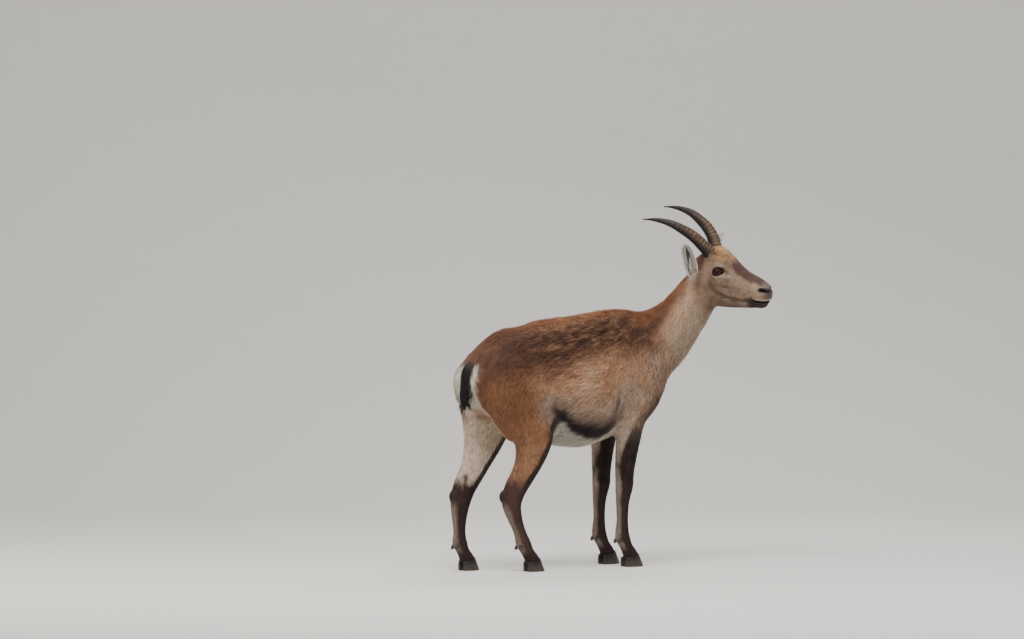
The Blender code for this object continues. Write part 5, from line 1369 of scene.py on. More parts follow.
def near_mouth(q, grow=0.0):
    h = to_head(q)
    d, _ = nostril_distance(h)
    m = np.abs(h[:, 1] - mouth_height(h[:, 0]))
    return ((h[:, 0] > 8.2 - grow) & (m < 0.9 + grow)) | (d < 1.1 + grow) | ((h[:, 0] > 13.0 - grow) & (np.abs(h[:, 2]) < 0.8 + grow) & (h[:, 1] < -6) & (h[:, 1] > -10.6))


# ======================================================================================================
# ears
# ======================================================================================================

def ear_frame(side):
    ear = EAR_R if side < 0 else EAR_L
    root, tip = np.array(ear["root"], float), np.array(ear["tip"], float)
    axis, length = unit(tip - root), np.linalg.norm(tip - root)
    face = np.array(ear["face"], float)
    face = unit(face - (face @ axis) * axis)
    return root, axis, length, face, np.cross(axis, face), ear["half"]


def ear_place(q, side):
    """Along the ear from root to tip, and across it from edge to edge (-1 to 1, forwards is positive)."""
    root, axis, length, face, across, half = ear_frame(side)
    d = to_head(q) - root
    s = d @ axis / length
    wide = half * np.interp(s, [0, .12, .3, .5, .7, .86, .95, 1], [.50, .74, .97, 1.0, .86, .58, .33, .14])
    lat = d @ across / np.maximum(wide, 0.2)
    return s, lat * (1 if across[0] > 0 else -1)


def fine_ear(side, ns=58, nq=33):
    """The ear with a rounded edge and low folds in its hollow."""
    ear = EAR_R if side < 0 else EAR_L
    verts, faces = ear_mesh(ear, side, thick=0.30, ns=ns, nq=nq, grow=-0.05)
    h = to_head(verts)
    root, axis, length, face, across, half = ear_frame(side)
    s = (h - root) @ axis / length
    m = ns * nq
    j = (np.arange(m) % nq) / (nq - 1) * 2 - 1
    folds = sum(0.085 * np.exp(-((j - c + 0.15 * (s[:m] - 0.5)) / 0.085) ** 2) for c in (-0.42, -0.05, 0.34))
    folds *= np.clip(s[:m] / 0.2, 0, 1) * np.clip((0.85 - s[:m]) / 0.25, 0, 1)
    inner = ((h[:m] - h[m:2 * m]) @ face > 0)
    sink = np.clip((0.14 - s) / 0.14, 0, 1) ** 1.3 * 2.1
    h[:m] += face * (folds * np.where(inner, 1, 0))[:, None]
    h[m:2 * m] += face * (folds * np.where(inner, 0, 1))[:, None]
    lat = (h - root) @ across
    h = h + across * (lat * 0.32 * step(s, 0.62, 0.88))[:, None] - axis * (0.35 * step(s, 0.90, 1.0) * (np.abs(lat) < 9))[:, None]
    if side > 0:
        h[:, 0] += 0.95 * step(s, 0.25, 0.95)
    inward = unit(np.array([root[0] * 0.1 - root[0] * 0.05, -0.2, -root[2] * 0.55]))
    h = h - axis * sink[:, None] * 0.75 + inward * sink[:, None] * 0.55
    return from_head(h), faces


# ======================================================================================================
# the skin
# ======================================================================================================

def shape_eyes(ob):
    q = placed(coords(ob.data))
    h = to_head(q)
    f, u, l = head_axes()
    for side in (-1, 1):
        c, out, fore, up = eye_axes(side)
        x, y, z = eye_place(h, side)
        m = (z > -0.6) & (np.hypot(x, y) < 4.2)
        xs, ys, zs = x[m], y[m], z[m]
        e = lid_distance(xs, ys)
        r = np.hypot(xs, ys)
        lid = np.where(r < 1.1, np.sqrt(np.clip(1.63 ** 2 - r * r, 0, None)), 1.203 - 0.90 * (r - 1.1))
        lid = np.maximum(lid, zs - 0.22 - 0.10 * (xs < 0))
        ball = np.sqrt(np.clip(BALL ** 2 - np.minimum(r, 1.4) ** 2, 0, None))
        away = step(e, 0.12, 1.75)
        high = mix(lid, zs, away)
        high += 0.05 * np.exp(-((e - 0.16) / 0.10) ** 2)
        high -= (0.10 * np.exp(-((e - 0.50) / 0.13) ** 2)) * step(ys, 0.0, 0.6) * (np.abs(xs) < 1.9)
        high -= (0.07 * np.exp(-((e - 0.62) / 0.14) ** 2)) * step(-ys, 0.1, 0.7) * (np.abs(xs) < 2.0)
        high += (0.07 * np.exp(-((e - 0.92) / 0.20) ** 2)) * step(-ys, 0.1, 0.7) * (np.abs(xs) < 2.0)
        wall = step(-e, -0.06, 0.10)
        new = mix(high, np.minimum(lid - 0.55, ball - 0.35), wall)
        move = (new - zs) * (1 - step(r, 3.4, 4.2))
        h[m] += out * move[:, None]
    set_coords(ob, from_head(h))
    return ob


def shape_mouth(ob):
    def by(q, no):
        h = to_head(q)
        a, b, c = h.T
        s = np.abs(c)
        on = in_face(q) & (a > 7.0)
        m = b - mouth_height(a)
        along = step(a, 8.6, 9.9)
        wide = 0.20 + 0.10 * step(a, 10, 12)
        out = -0.50 * np.exp(-(m / wide) ** 2) * along
        out += 0.09 * np.exp(-((m - 0.46) / 0.26) ** 2) * along + 0.12 * np.exp(-((m + 0.44) / 0.28) ** 2) * along
        out -= 0.34 * step(-m, 0.15, 0.7) * step(a, 13.0, 14.4)
        out += 0.36 * step(-m, 0.9, 2.1) * step(a, 9.0, 11.5) * (1 - step(a, 14.0, 15.2)) * (1 - step(s, 1.8, 3.0))
        d, at = nostril_distance(h)
        open_to = 0.56 + 0.16 * step(at, 0.25, 0.8)
        out -= 1.05 * (1 - step(d, open_to - 0.18, open_to + 0.14))
        above = step(b - np.interp(a, [12.4, 13.3, 14.1, 14.7], [-6.15, -6.3, -6.62, -6.98]), -0.2, 0.3)
        out += (0.05 + 0.12 * above) * np.exp(-((d - open_to - 0.30) / 0.18) ** 2)
        out -= 0.15 * np.exp(-(s / 0.13) ** 2) * step(a, 13.4, 14.4) * (1 - step(b, -7.0, -6.6)) * step(b, -10.3, -9.9)
        return np.where(on, out, 0.0)
    return moved(ob, by)


def clamp_feet(ob):
    q = placed(coords(ob.data))
    which = leg_of(q)
    for k, foot in enumerate(FEET_NAMES):
        p, up = coronet_plane(foot)
        d = (q - p) @ up
        m = (which == k) & (d < -0.25) & (q[:, 2] < 8)
        q[m] -= (d[m] + 0.25)[:, None] * up
    set_coords(ob, q)


def swing_tail(ob):
    """The tail's lower part leans a little towards the right side."""
    q = placed(coords(ob.data))
    x, y, z = q.T
    w = step(-x, 32.5, 35.0) * (1 - step(np.abs(y), 2.6, 5.6)) * step(z, 42.0, 48.0)
    q[:, 1] -= tail_swing(z) * w
    set_coords(ob, q)


def build_skin():
    ob = flesh_object("skin", 0.004)
    co = coords(ob.data)
    no = normals_of(ob.data, co)
    q = placed(co)
    table, count = neighbours(ob.data)
    by = averaged(body_forms(q) * (1 - head_share(q)) - coat_depth(q), table, count, 5)
    set_coords(ob, q + no * by[:, None])
    lighter(ob, lambda q: ~in_face(q), 58000)
    soft = lambda q: head_share(q, 4.0)
    evened(ob, 5, soft)
    finer(ob, in_face)
    evened(ob, 9, soft)
    moved(ob, lambda q, n: face_forms(to_head(q)) * head_share(q, 2.0))
    slots = [bpy.data.materials.new("flesh_a"), bpy.data.materials.new("flesh_b")]
    for s in slots:
        ob.data.materials.append(s)
    for side in (-1, 1):
        ear = mesh_object("ear", *fine_ear(side))
        for s in slots:
            ear.data.materials.append(s)
        ear.data.polygons.foreach_set("material_index", np.ones(len(ear.data.polygons), np.int32))
        mod = ob.modifiers.new("join", "BOOLEAN")
        mod.operation, mod.solver, mod.object = "UNION", "EXACT", ear
        baked(ob)
        bpy.data.objects.remove(ear)
    # soften where the ears grow out of the head

    def root(q):
        out = np.zeros(len(q))
        for side in (-1, 1):
            r, axis, length, face, across, half = ear_frame(side)
            h = to_head(q)
            s = (h - r) @ axis / length
            d = np.linalg.norm(h - r - axis * 0.5, axis=1)
            out = np.maximum(out, (1 - step(s, 0.02, 0.16)) * (1 - step(d, 1.6, 2.8)))
        return out
    evened(ob, 10, root)
    finer(ob, lambda q: near_eye(q, 2.9) | (near_mouth(q, 0.5)))
    evened(ob, 3, lambda q: (near_eye(q, 2.7) | near_mouth(q, 0.3)).astype(float))
    finer(ob, lambda q: near_eye(q, 2.35) | near_mouth(q))
    swing_tail(ob)
    home = placed(coords(ob.data))
    shape_eyes(ob)
    shape_mouth(ob)
    evened(ob, 2, lambda q: near_mouth(q, 0.3).astype(float))
    clamp_feet(ob)
    bm = bmesh.new()
    bm.from_mesh(ob.data)
    bmesh.ops.triangulate(bm, faces=[f for f in bm.faces if len(f.verts) > 3])
    bm.to_mesh(ob.data)
    bm.free()
    ob.name = ob.data.name = "skin"
    return ob, home


def ear_marks(ob):
    """For each vertex -1 or 1 on the right or left ear, else 0, and 1 where it faces into the ear's hollow."""
    me = ob.data
    index = np.zeros(len(me.polygons), np.int32)
    me.polygons.foreach_get("material_index", index)
    first, total = np.zeros(len(me.polygons), np.int64), np.zeros(len(me.polygons), np.int64)
    me.polygons.foreach_get("loop_start", first)
    me.polygons.foreach_get("loop_total", total)
    corner = np.zeros(len(me.loops), np.int64)
    me.loops.foreach_get("vertex_index", corner)
    face_of = np.repeat(np.arange(len(first)), total)
    mark = np.zeros(len(me.vertices))
    mark[corner[index[face_of] == 1]] = 1
    co = coords(me)
    q = placed(co)
    side = np.sign(to_head(q)[:, 2])
    no = normals_of(me, co)
    f, u, l = head_axes()
    inside = np.zeros(len(q))
    for sd in (-1, 1):
        root, axis, length, face, across, half = ear_frame(sd)
        d = no @ np.stack([f, u, l], 1) @ face
        m = (side == sd)
        inside[m] = step(d[m], -0.15, 0.25)
    ear = (mark * side).astype(int)
    return ear, inside * (ear != 0)


# ======================================================================================================
# the coat
# ======================================================================================================

def lie_of_coat(q, n, ear=None):
    """Unit vectors along the surface, from the roots to the tips of the hair."""
    x, y, z = q.T
    top, low = trunk_edges(x)
    v = np.clip((z - low) / (top - low), 0, 1)
    sy = np.sign(y + 1e-9)
    away = step(np.abs(y), 1.0, 5.0) * sy
    d = np.stack([-np.ones(len(q)), 0.10 * away, -0.22 - 0.45 * (1 - v)], 1)
    rump = step(-x, 22, 33)
    d = mix(d, np.stack([-0.45 * np.ones(len(q)), 0.10 * away, -1.0 * np.ones(len(q))], 1), rump)
    flare = step(-x, 32.5, 34) * step(np.abs(y), 1.6, 3.2) * step(z, 47, 50) * (1 - step(z, 62, 65))
    d = mix(d, np.stack([-0.35 * np.ones(len(q)), 1.0 * sy, -0.75 * np.ones(len(q))], 1), flare)
    thigh = step(-x, 10, 18) * (1 - step(z, 50, 62))
    d = mix(d, np.stack([-0.55 * np.ones(len(q)), 0.0 * away, -1.0 * np.ones(len(q))], 1), thigh)
    shoulder = step(x, 8, 16)
    d = mix(d, np.stack([-0.70 * np.ones(len(q)), 0.05 * away, -0.40 - 0.75 * (1 - v)], 1), shoulder)
    chest = step(x, 24, 31) * (1 - step(z, 64, 72))
    d = mix(d, np.stack([-0.30 * np.ones(len(q)), -0.15 * away, -1.0 * np.ones(len(q))], 1), chest)
    legs = leg_share(q)
    d = mix(d, np.stack([-0.22 * np.ones(len(q)), 0.0 * away, -1.0 * np.ones(len(q))], 1), legs)
    near = x > 18
    if near.any():
        p = q[near]
        t, tan, up = neck_place(p)
        nd = -tan + np.array([-0.10, 0.0, -0.35]) * (1 - step(up, 0.3, 0.9))[:, None]
        nd += np.array([0.0, 0.0, -0.35]) * step(-up, 0.2, 0.9)[:, None]
        k = mix(d[near], nd, neck_share(p))
        h = to_head(p)
        f, u, l = head_axes()
        s = np.abs(h[:, 2])
        fd = -f + u * (0.55 * step(h[:, 1], 0.5, 3.5) * step(h[:, 0], -1, 3) - 0.45 * (1 - step(h[:, 1], -9, -3)) * (1 - step(h[:, 0], 2, 8)))[:, None]
        fd = fd + l * (np.sign(h[:, 2]) * 0.30 * step(h[:, 1], 0, 3) * (1 - step(s, 1.5, 3.5)))[:, None]
        for side in (-1, 1):
            c, out, fore, upe = eye_axes(side)
            ex, ey, ez = eye_place(h, side)
            axes = np.stack([f, u, l], 1)
            rad = ex[:, None] * (axes @ fore) + ey[:, None] * 1.3 * (axes @ upe)
            w = (ez > -1) * (1 - step(np.hypot(ex, ey), 1.8, 3.6))
            fd = mix(fd, units(rad) * 1.2 - f * 0.6, w * 0.85)
        k = mix(k, fd, head_share(p, 1.5))
        d[near] = k
    t = tail_share(q)
    d = mix(d, np.stack([-0.12 - 0.4 * rump, 1.15 * np.clip((y + tail_swing(z)) / 1.1, -1, 1) * (1 - step(z, 50, 56)), -1.0 * np.ones(len(q))], 1), t)
    if ear is not None:
        f, u, l = head_axes()
        for side in (-1, 1):
            m = ear == side
            if m.any():
                root, axis, length, face, across, half = ear_frame(side)
                s, lat = ear_place(q[m], side)
                sg = 1 if across[0] > 0 else -1
                axes = np.stack([f, u, l], 1)
                d[m] = axes @ axis + (lat * 0.22 * sg)[:, None] * (axes @ across)
    share, way = ear_root_share(q)
    if ear is not None:
        share = share * (ear == 0)
    d = mix(units(d), way, share * 0.85)
    d = d - (d * n).sum(1)[:, None] * n
    return units(d)


def coat_plan(q, n, ear, inside):
    """For each root: how many tufts to the square centimetre, their length, half width and rise at the tip, in centimetres."""
    x, y, z = q.T
    h = to_head(q)
    top, low = trunk_edges(x)
    ay = np.abs(y)
    dense = np.full(len(q), 8.8)
    length = np.full(len(q), 2.35)
    width = np.full(len(q), 0.098)
    rise = coat_depth(q) * 0.92
    crest = (1 - step(top - z, 1.0, 3.6)) * (1 - step(ay, 2.5, 5.0)) * step(x, -31, -26)
    length += 0.85 * crest
    dense += 3.0 * crest
    rise = rise * (1 + 0.38 * crest)
    under = belly_share(q) * (1 - step(z, 37.5, 41))
    length += 0.9 * under
    rise *= 1 + 0.25 * under
    rump = step(-x, 32.0, 33.8) * step(z, 46, 49) * (1 - step(z, 62, 65)) * (1 - step(ay, 6.0, 8.0))
    length += 0.7 * rump
    rise = mix(rise, 1.15 + 1.0 * (y > 0) * (1 - step(z, 52, 57)), rump * step(ay, 2.0, 3.4))
    chest = step(x, 24, 30) * (1 - step(z, 60, 66)) * (1 - leg_share(q))
    length += 0.5 * chest
    leg = leg_share(q)
    length = mix(length, np.interp(z, [3, 8, 16, 24, 30, 38, 46], [0.55, 0.70, 0.80, 1.0, 1.35, 1.8, 2.2]), leg)
    width = mix(width, np.interp(z, [3, 10, 24, 34, 46], [0.062, 0.066, 0.078, 0.095, 0.112]), leg)
    dense = mix(dense, np.interp(z, [3, 10, 24, 34, 46], [20.0, 19.0, 15.0, 11.0, 9.0]), leg)
    neck = neck_share(q)
    length = mix(length, 2.0, neck)
    width = mix(width, 0.068, neck)
    dense = mix(dense, 16.0, neck)
    head = head_share(q, 2.0)
    a, b, c = h.T
    hl = np.interp(a, [-9, -4, 2, 7, 11, 15], [1.10, 0.78, 0.62, 0.50, 0.36, 0.28])
    hl = hl * (1 + 0.30 * (1 - step(b, -10, -6)) * (1 - step(a, 0, 6))) * (1 + 0.35 * step(b, 3.2, 5.0) * step(a, -4, -1))
    length = mix(length, hl, head)
    rise = rise * (1 - 0.45 * head * step(a, 9.0, 12.0))
    width = mix(width, np.interp(a, [-9, -4, 4, 10, 15], [0.070, 0.052, 0.043, 0.036, 0.032]), head)
    dense = mix(dense, np.interp(a, [-9, -4, 4, 10, 15], [18, 23, 25.5, 29, 29]), head)
    tail = tail_share(q)
    length = mix(length, np.interp(z, [46, 48.5, 51, 56], [1.5, 2.3, 3.3, 3.4]), tail)
    dense = mix(dense, 17.0, tail)
    rise = mix(rise, np.interp(z, [46, 48, 53, 58], [1.7, 2.3, 1.9, 0.8]), tail)
    width = mix(width, 0.125, tail)
    fore_top = head * step(b - 0.25 * np.abs(c), 3.4, 5.0) * step(a, -4.5, -2.5) * (1 - step(a, 3.0, 5.0))
    length = length * (1 + 0.9 * fore_top)
    width = width * (1 + 0.35 * fore_top)
    rise = rise * (1 + 0.8 * fore_top)
    on = ear != 0
    if on.any():
        s = np.zeros(len(q))
        lat = np.zeros(len(q))
        for side in (-1, 1):
            m = ear == side
            s[m], lat[m] = ear_place(q[m], side)
        edge = step(np.abs(lat), 0.6, 0.95)
        length = np.where(on, 0.52 + 0.25 * inside * edge + 0.40 * inside * (1 - edge), length)
        width = np.where(on, 0.040, width)
        dense = np.where(on, 26.0 - 9.0 * inside * (1 - edge), dense)
        rise = np.where(on, 0.07 + 0.12 * inside * (1 - edge), rise)
    root_share, _ = ear_root_share(q)
    root_share = root_share * (ear == 0)
    length = mix(length, 1.35, root_share)
    rise = mix(rise, 0.42, root_share)
    width = mix(width, 0.050, root_share)
    dense = mix(dense, 26.0, root_share)
    # bare places
    gap = np.ones(len(q), bool)
    for side in (-1, 1):
        ex, ey, ez = eye_place(h, side)
        m = (ez > -0.6) & (np.hypot(ex, ey) < 4) & (np.sign(c) == side)
        gap[m] &= lid_distance(ex[m], ey[m]) > 0.42
    d, at = nostril_distance(h)
    gap &= ~((head > 0.5) & (d < 0.80))
    m = np.abs(b - mouth_height(a))
    gap &= ~((head > 0.5) & (a > 8.4) & (m < 0.20))
    gap &= ~((head > 0.5) & (a > 13.6) & (np.abs(c) < 0.9) & (b < -6.1) & (b > -7.6))
    for side in (-1, 1):
        rows = horn_rows(side, 40)
        near = (head > 0.3) & (ear == 0)
        dd = np.full(len(q), 99.0)
        hp = h[near]
        if near.any():
            best = np.full(len(hp), 99.0)
            for r in rows[:16]:
                best = np.minimum(best, np.linalg.norm(hp - r[:3], axis=1) - 0.92 * 0.5 * (r[3] + r[4]))
            dd[near] = best
        gap &= dd > 0.0
    for foot in FEET_NAMES:
        p, up = coronet_plane(foot)
        low_part = z < 8
        gap &= ~(low_part & (leg_of(q) == FEET_NAMES.index(foot)) & ((q - p) @ up < 0.12))
    for foot in FEET_NAMES:
        p, up = coronet_plane(foot)
        over = (z < 8) & (leg_of(q) == FEET_NAMES.index(foot)) & ((q - p) @ up < 0.75)
        length = np.where(over, 1.15, length)
        width = np.where(over, 0.055, width)
        dense = np.where(over, 34.0, dense)
    dense = np.where(gap, dense, 0.0)
    return dense, length, width, rise


PIECES = ["coat_trunk_fore_right", "coat_trunk_fore_left", "coat_trunk_hind_right", "coat_trunk_hind_left", "coat_neck", "coat_head",
          "coat_legs_fore", "coat_legs_hind_right", "coat_legs_hind_left", "coat_tail", "coat_ears"]
PIECE_SLOT = ["trunk_coat", "trunk_coat", "trunk_coat", "trunk_coat", "neck_coat", "head_coat", "foreleg_coat", "hindleg_coat", "hindleg_coat", "tail_coat", "ear_coat"]


def piece_of(q, ear):
    x, y, z = q.T
    right = y < 0
    out = np.where(x > -4.5, np.where(right, 0, 1), np.where(right, 2, 3))
    leg = (z < 42.5) & (belly_share(q) < 0.5)
    out = np.where(leg & (x > 3), 6, np.where(leg, np.where(right, 7, 8), out))
    out = np.where((neck_share(q) > 0.5), 4, out)
    out = np.where((head_share(q) > 0.5), 5, out)
    out = np.where(ear != 0, 10, out)
    return np.where((x < -32.6) & (z > 46.0) & (np.abs(y) < 8.0), 9, out)


def flat_place(q, piece, ear, inside):
    """Each root's place on an unwrap of its own region: along and around it, both from 0 to 1."""
    x, y, z = q.T
    u, v = np.zeros(len(q)), np.zeros(len(q))
    for k in range(len(PIECES)):
        m = piece == k
        if not m.any():
            continue
        p = q[m]
        px, py, pz = p.T
        if k < 4:
            top, low = trunk_edges(px)
            ang = np.arctan2(pz - 0.5 * (top + low), np.abs(py) + 1e-6) / math.pi + 0.5
            uu = (px - px.min()) / (px.max() - px.min() + 1e-9)
            vv = ang
        elif k == 4:
            rows, ups = neck_rows(40)
            t, tan, up = neck_place(p)
            i = np.clip((t * 39).round().astype(int), 0, 39)
            off = p - rows[i, :3]
            side = np.cross(tan, units(ups[i] - (ups[i] * tan).sum(1)[:, None] * tan))
            ang = np.arctan2((off * side).sum(1), up * np.linalg.norm(off, axis=1)) / (2 * math.pi) + 0.5
            uu = ((p - rows[0, :3]) @ unit(rows[-1, :3] - rows[0, :3]))
            uu = (uu - uu.min()) / (uu.max() - uu.min() + 1e-9)
            vv = ang
        elif k == 5:
            h = to_head(p)
            ang = np.arctan2(h[:, 2], h[:, 1] + 4.5) / (2 * math.pi) + 0.5
            aa = h[:, 0]
            uu, vv = np.clip((aa + 13) / 29.5, 0, 1), ang
        elif k == 10:
            e = ear[m]
            uu, vv = np.zeros(len(p)), np.zeros(len(p))
            for side in (-1, 1):
                w = e == side
                if not w.any():
                    continue
                s, lat = ear_place(p[w], side)
                quarter = (0 if side < 0 else 2) + (inside[m][w] > 0.5)
                uu[w] = 0.25 * quarter + 0.02 + 0.20 * np.clip(0.5 + 0.5 * lat, 0, 1)
                vv[w] = np.clip(s, 0, 1)
        elif k in (6, 7, 8):
            uu, vv = np.zeros(len(p)), (pz - 3.0) / 42.0
            which = leg_of(p)
            for j, foot in enumerate(FEET_NAMES):
                w = which == j
                if not w.any():
                    continue
                lu, lw, dx, dy = leg_place(p[w], foot)
                ang = np.arctan2(lw, lu) / (2 * math.pi) + 0.5
                uu[w] = (0.5 * (j % 2) + 0.48 * ang) if k == 6 else ang
        else:
            ang = np.arctan2(py, -(px + 30.0)) / math.pi + 0.5
            uu, vv = ang, (pz - pz.min()) / (pz.max() - pz.min() + 1e-9)
        u[m], v[m] = uu, vv
    return 0.01 + 0.98 * np.clip(u, 0, 1), 0.01 + 0.98 * np.clip(v, 0, 1)


def triangles_of(me):
    me.calc_loop_triangles()
    tri = np.zeros(len(me.loop_triangles) * 3, np.int64)
    me.loop_triangles.foreach_get("vertices", tri)
    return tri.reshape(-1, 3)


def nearest_on(tree, p, fallback, fallback_normal):
    """Nearest points on the skin and its normals there, smoothly shaded ones being put in by the caller."""
    where, face = fallback.copy(), np.full(len(p), -1)
    for i, v in enumerate(p.tolist()):
        hit = tree.find_nearest(v, 2.0)
        if hit[0] is not None:
            where[i] = hit[0]
            face[i] = hit[2]
    return where, face


def ear_root_share(q):
    """1 close round the ears' roots, with the direction the ears rise in."""
    h = to_head(q)
    f, u, l = head_axes()
    share, way = np.zeros(len(q)), np.zeros((len(q), 3))
    for side in (-1, 1):
        r, axis, length, face, across, half = ear_frame(side)
        d = np.linalg.norm((h - r - face * 0.5) / np.array([1.0, 1.25, 1.0]), axis=1)
        k = 1 - step(d, 1.1, 2.3)
        way += k[:, None] * (np.stack([f, u, l], 1) @ axis)
        share = np.maximum(share, k)
    return share, way


def grow_coat(skin, ear, inside, home):
    from mathutils.bvhtree import BVHTree
    me = skin.data
    co = placed(coords(me))
    no = normals_of(me, coords(me))
    table, count = neighbours(me)
    smooth = units(averaged(no, table, count, 3))
    tri = triangles_of(me)
    p0, p1, p2 = co[tri[:, 0]], co[tri[:, 1]], co[tri[:, 2]]
    mid = (p0 + p1 + p2) / 3
    area = 0.5 * np.linalg.norm(np.cross(p1 - p0, p2 - p0), axis=1)
    tn = units(no[tri].sum(1))
    te = np.where(np.abs(ear[tri]).min(1) > 0, ear[tri[:, 0]], 0)
    ti = inside[tri].mean(1)
    dense, _, _, _ = coat_plan((home[tri[:, 0]] + home[tri[:, 1]] + home[tri[:, 2]]) / 3, tn, te, ti)
    run = np.cumsum(area * dense)
    total = int(run[-1])
    rng = np.random.default_rng(7)
    at = (np.arange(total) + rng.uniform(0.05, 0.95, total)) / total * run[-1]
    t = np.clip(np.searchsorted(run, at), 0, len(tri) - 1)
    r1, r2 = rng.random(total), rng.random(total)
    flip = r1 + r2 > 1
    r1, r2 = np.where(flip, 1 - r1, r1), np.where(flip, 1 - r2, r2)
    w = np.stack([1 - r1 - r2, r1, r2], 1)
    root = (co[tri[t]] * w[:, :, None]).sum(1)
    n = units((smooth[tri[t]] * w[:, :, None]).sum(1))
    e, ins = te[t], ti[t]
    before = (home[tri[t]] * w[:, :, None]).sum(1)
    dense, length, width, rise = coat_plan(before, n, e, ins)
    keep = dense > 0
    # thin out roots that fell on top of each other
    cell = 0.34 / np.sqrt(np.maximum(dense, 1.0) / 8.0)
    key = np.floor(root / cell[:, None] / 0.62).astype(np.int64)
    code = (key[:, 0] * 73856093) ^ (key[:, 1] * 19349663) ^ (key[:, 2] * 83492791) ^ (np.round(cell * 50).astype(np.int64) * 2654435761)
    _, first = np.unique(code, return_index=True)
    single = np.zeros(total, bool)
    single[first] = True
    keep &= single | (rng.random(total) < 0.45)
    root, n, e, ins, length, width, rise, before = (v[keep] for v in (root, n, e, ins, length, width, rise, before))
    m = len(root)
    lie = lie_of_coat(root, n, e)
    # locks: neighbouring hairs lean and gather alike
    lean = (noise(root, 2.6, 61) - 0.5) * 0.55 + (noise(root, 1.1, 63) - 0.5) * 0.35 + rng.normal(0, 0.11, m)
    calm = np.where(e != 0, 0.5, 1.0) * mix(1.0, 0.45, head_share(root))
    lean = lean * calm
    side = np.cross(n, lie)
    lie = units(lie * np.cos(lean)[:, None] + side * np.sin(lean)[:, None])
    side = np.cross(n, lie)
    lock = noise(root, 1.7, 65)
    length = length * rng.uniform(0.72, 1.22, m) * (0.86 + 0.28 * lock)
    width = width * rng.uniform(0.75, 1.25, m)
    rise = rise * rng.uniform(0.50, 1.02, m) * (0.82 + 0.30 * lock)
    # heights follow the skin's own curve
    tree = BVHTree.FromPolygons(co.tolist(), tri.tolist(), all_triangles=True)
    half_at, full_at = root + lie * (length * 0.5)[:, None], root + lie * length[:, None]
    fringe = np.zeros(m, bool)
    for k, foot in enumerate(FEET_NAMES):
        cp, cup = coronet_plane(foot)
        fringe |= (root[:, 2] < 8) & (leg_of(root) == k) & ((root - cp) @ cup < length * 0.9)
    open_skin = (e == 0) & ~fringe
    rise = np.where(fringe, rise * 0.6 + 0.30, rise)
    mid_n, tip_n = n.copy(), n.copy()
    mid_p, tip_p = half_at.copy(), full_at.copy()
    for target, place, normal in ((half_at, mid_p, mid_n), (full_at, tip_p, tip_n)):
        pos, face = nearest_on(tree, target[open_skin], target[open_skin], None)
        good = face >= 0
        nn = n[open_skin].copy()
        nn[good] = units(smooth[tri[face[good]]].sum(1))
        # far jumps, as over a fold, keep to the tangent plane
        jump = np.linalg.norm(pos - target[open_skin], axis=1) > 0.35 * length[open_skin] + 0.15
        turned = (nn * n[open_skin]).sum(1) < 0.2
        bad = jump | turned
        pos[bad] = target[open_skin][bad]
        nn[bad] = n[open_skin][bad]
        place[open_skin] = pos
        normal[open_skin] = nn
    mid_p = mid_p + mid_n * (rise * 0.66)[:, None]
    tip_p = tip_p + tip_n * (rise * 1.0)[:, None]
    base_p = root - n * np.minimum(0.10, 0.25 * rise + 0.01)[:, None]
    # nothing lies over the eyes
    hh = to_head(tip_p)
    over = np.zeros(m, bool)
    for sd in (-1, 1):
        ex, ey, ez = eye_place(hh, sd)
        near = (ez > -0.5) & (np.hypot(ex, ey) < 3)
        over[near] |= lid_distance(ex[near], ey[near]) < 0.12
    length_scale = np.where(over, 0.35, 1.0)
    tip_p = np.where(over[:, None], root + (tip_p - root) * 0.35, tip_p)
    mid_p = np.where(over[:, None], root + (mid_p - root) * 0.35, mid_p)
    # no sole is reached
    tip_p[:, 2] = np.maximum(tip_p[:, 2], 1.8)
    mid_p[:, 2] = np.maximum(mid_p[:, 2], 2.2)
    side_m = units(np.cross(mid_n, units(tip_p - base_p)))
    side_b = units(np.cross(n, units(mid_p - base_p)))
    thick = width * 0.62
    verts = np.zeros((m, 7, 3))
    verts[:, 0] = base_p - side_b * width[:, None]
    verts[:, 1] = base_p + side_b * width[:, None]
    verts[:, 2] = base_p + n * (thick * 1.1 + 0.06)[:, None]
    verts[:, 3] = mid_p - side_m * (width * 0.86)[:, None]
    verts[:, 4] = mid_p + side_m * (width * 0.86)[:, None]
    verts[:, 5] = mid_p + mid_n * thick[:, None]
    verts[:, 6] = tip_p
    tuft_faces = [(0, 2, 1), (0, 3, 5, 2), (2, 5, 4, 1), (1, 4, 3, 0), (3, 6, 5), (5, 6, 4), (4, 6, 3)]
    normals = np.zeros((m, 7, 3))
    for k, (nn, sd, amount) in enumerate(((n, side_b, -0.38), (n, side_b, 0.38), (n, side_b, 0.0), (mid_n, side_m, -0.38), (mid_n, side_m, 0.38), (mid_n, side_m, 0.0), (tip_n, side_m, 0.0))):
        normals[:, k] = units(nn + sd * amount)
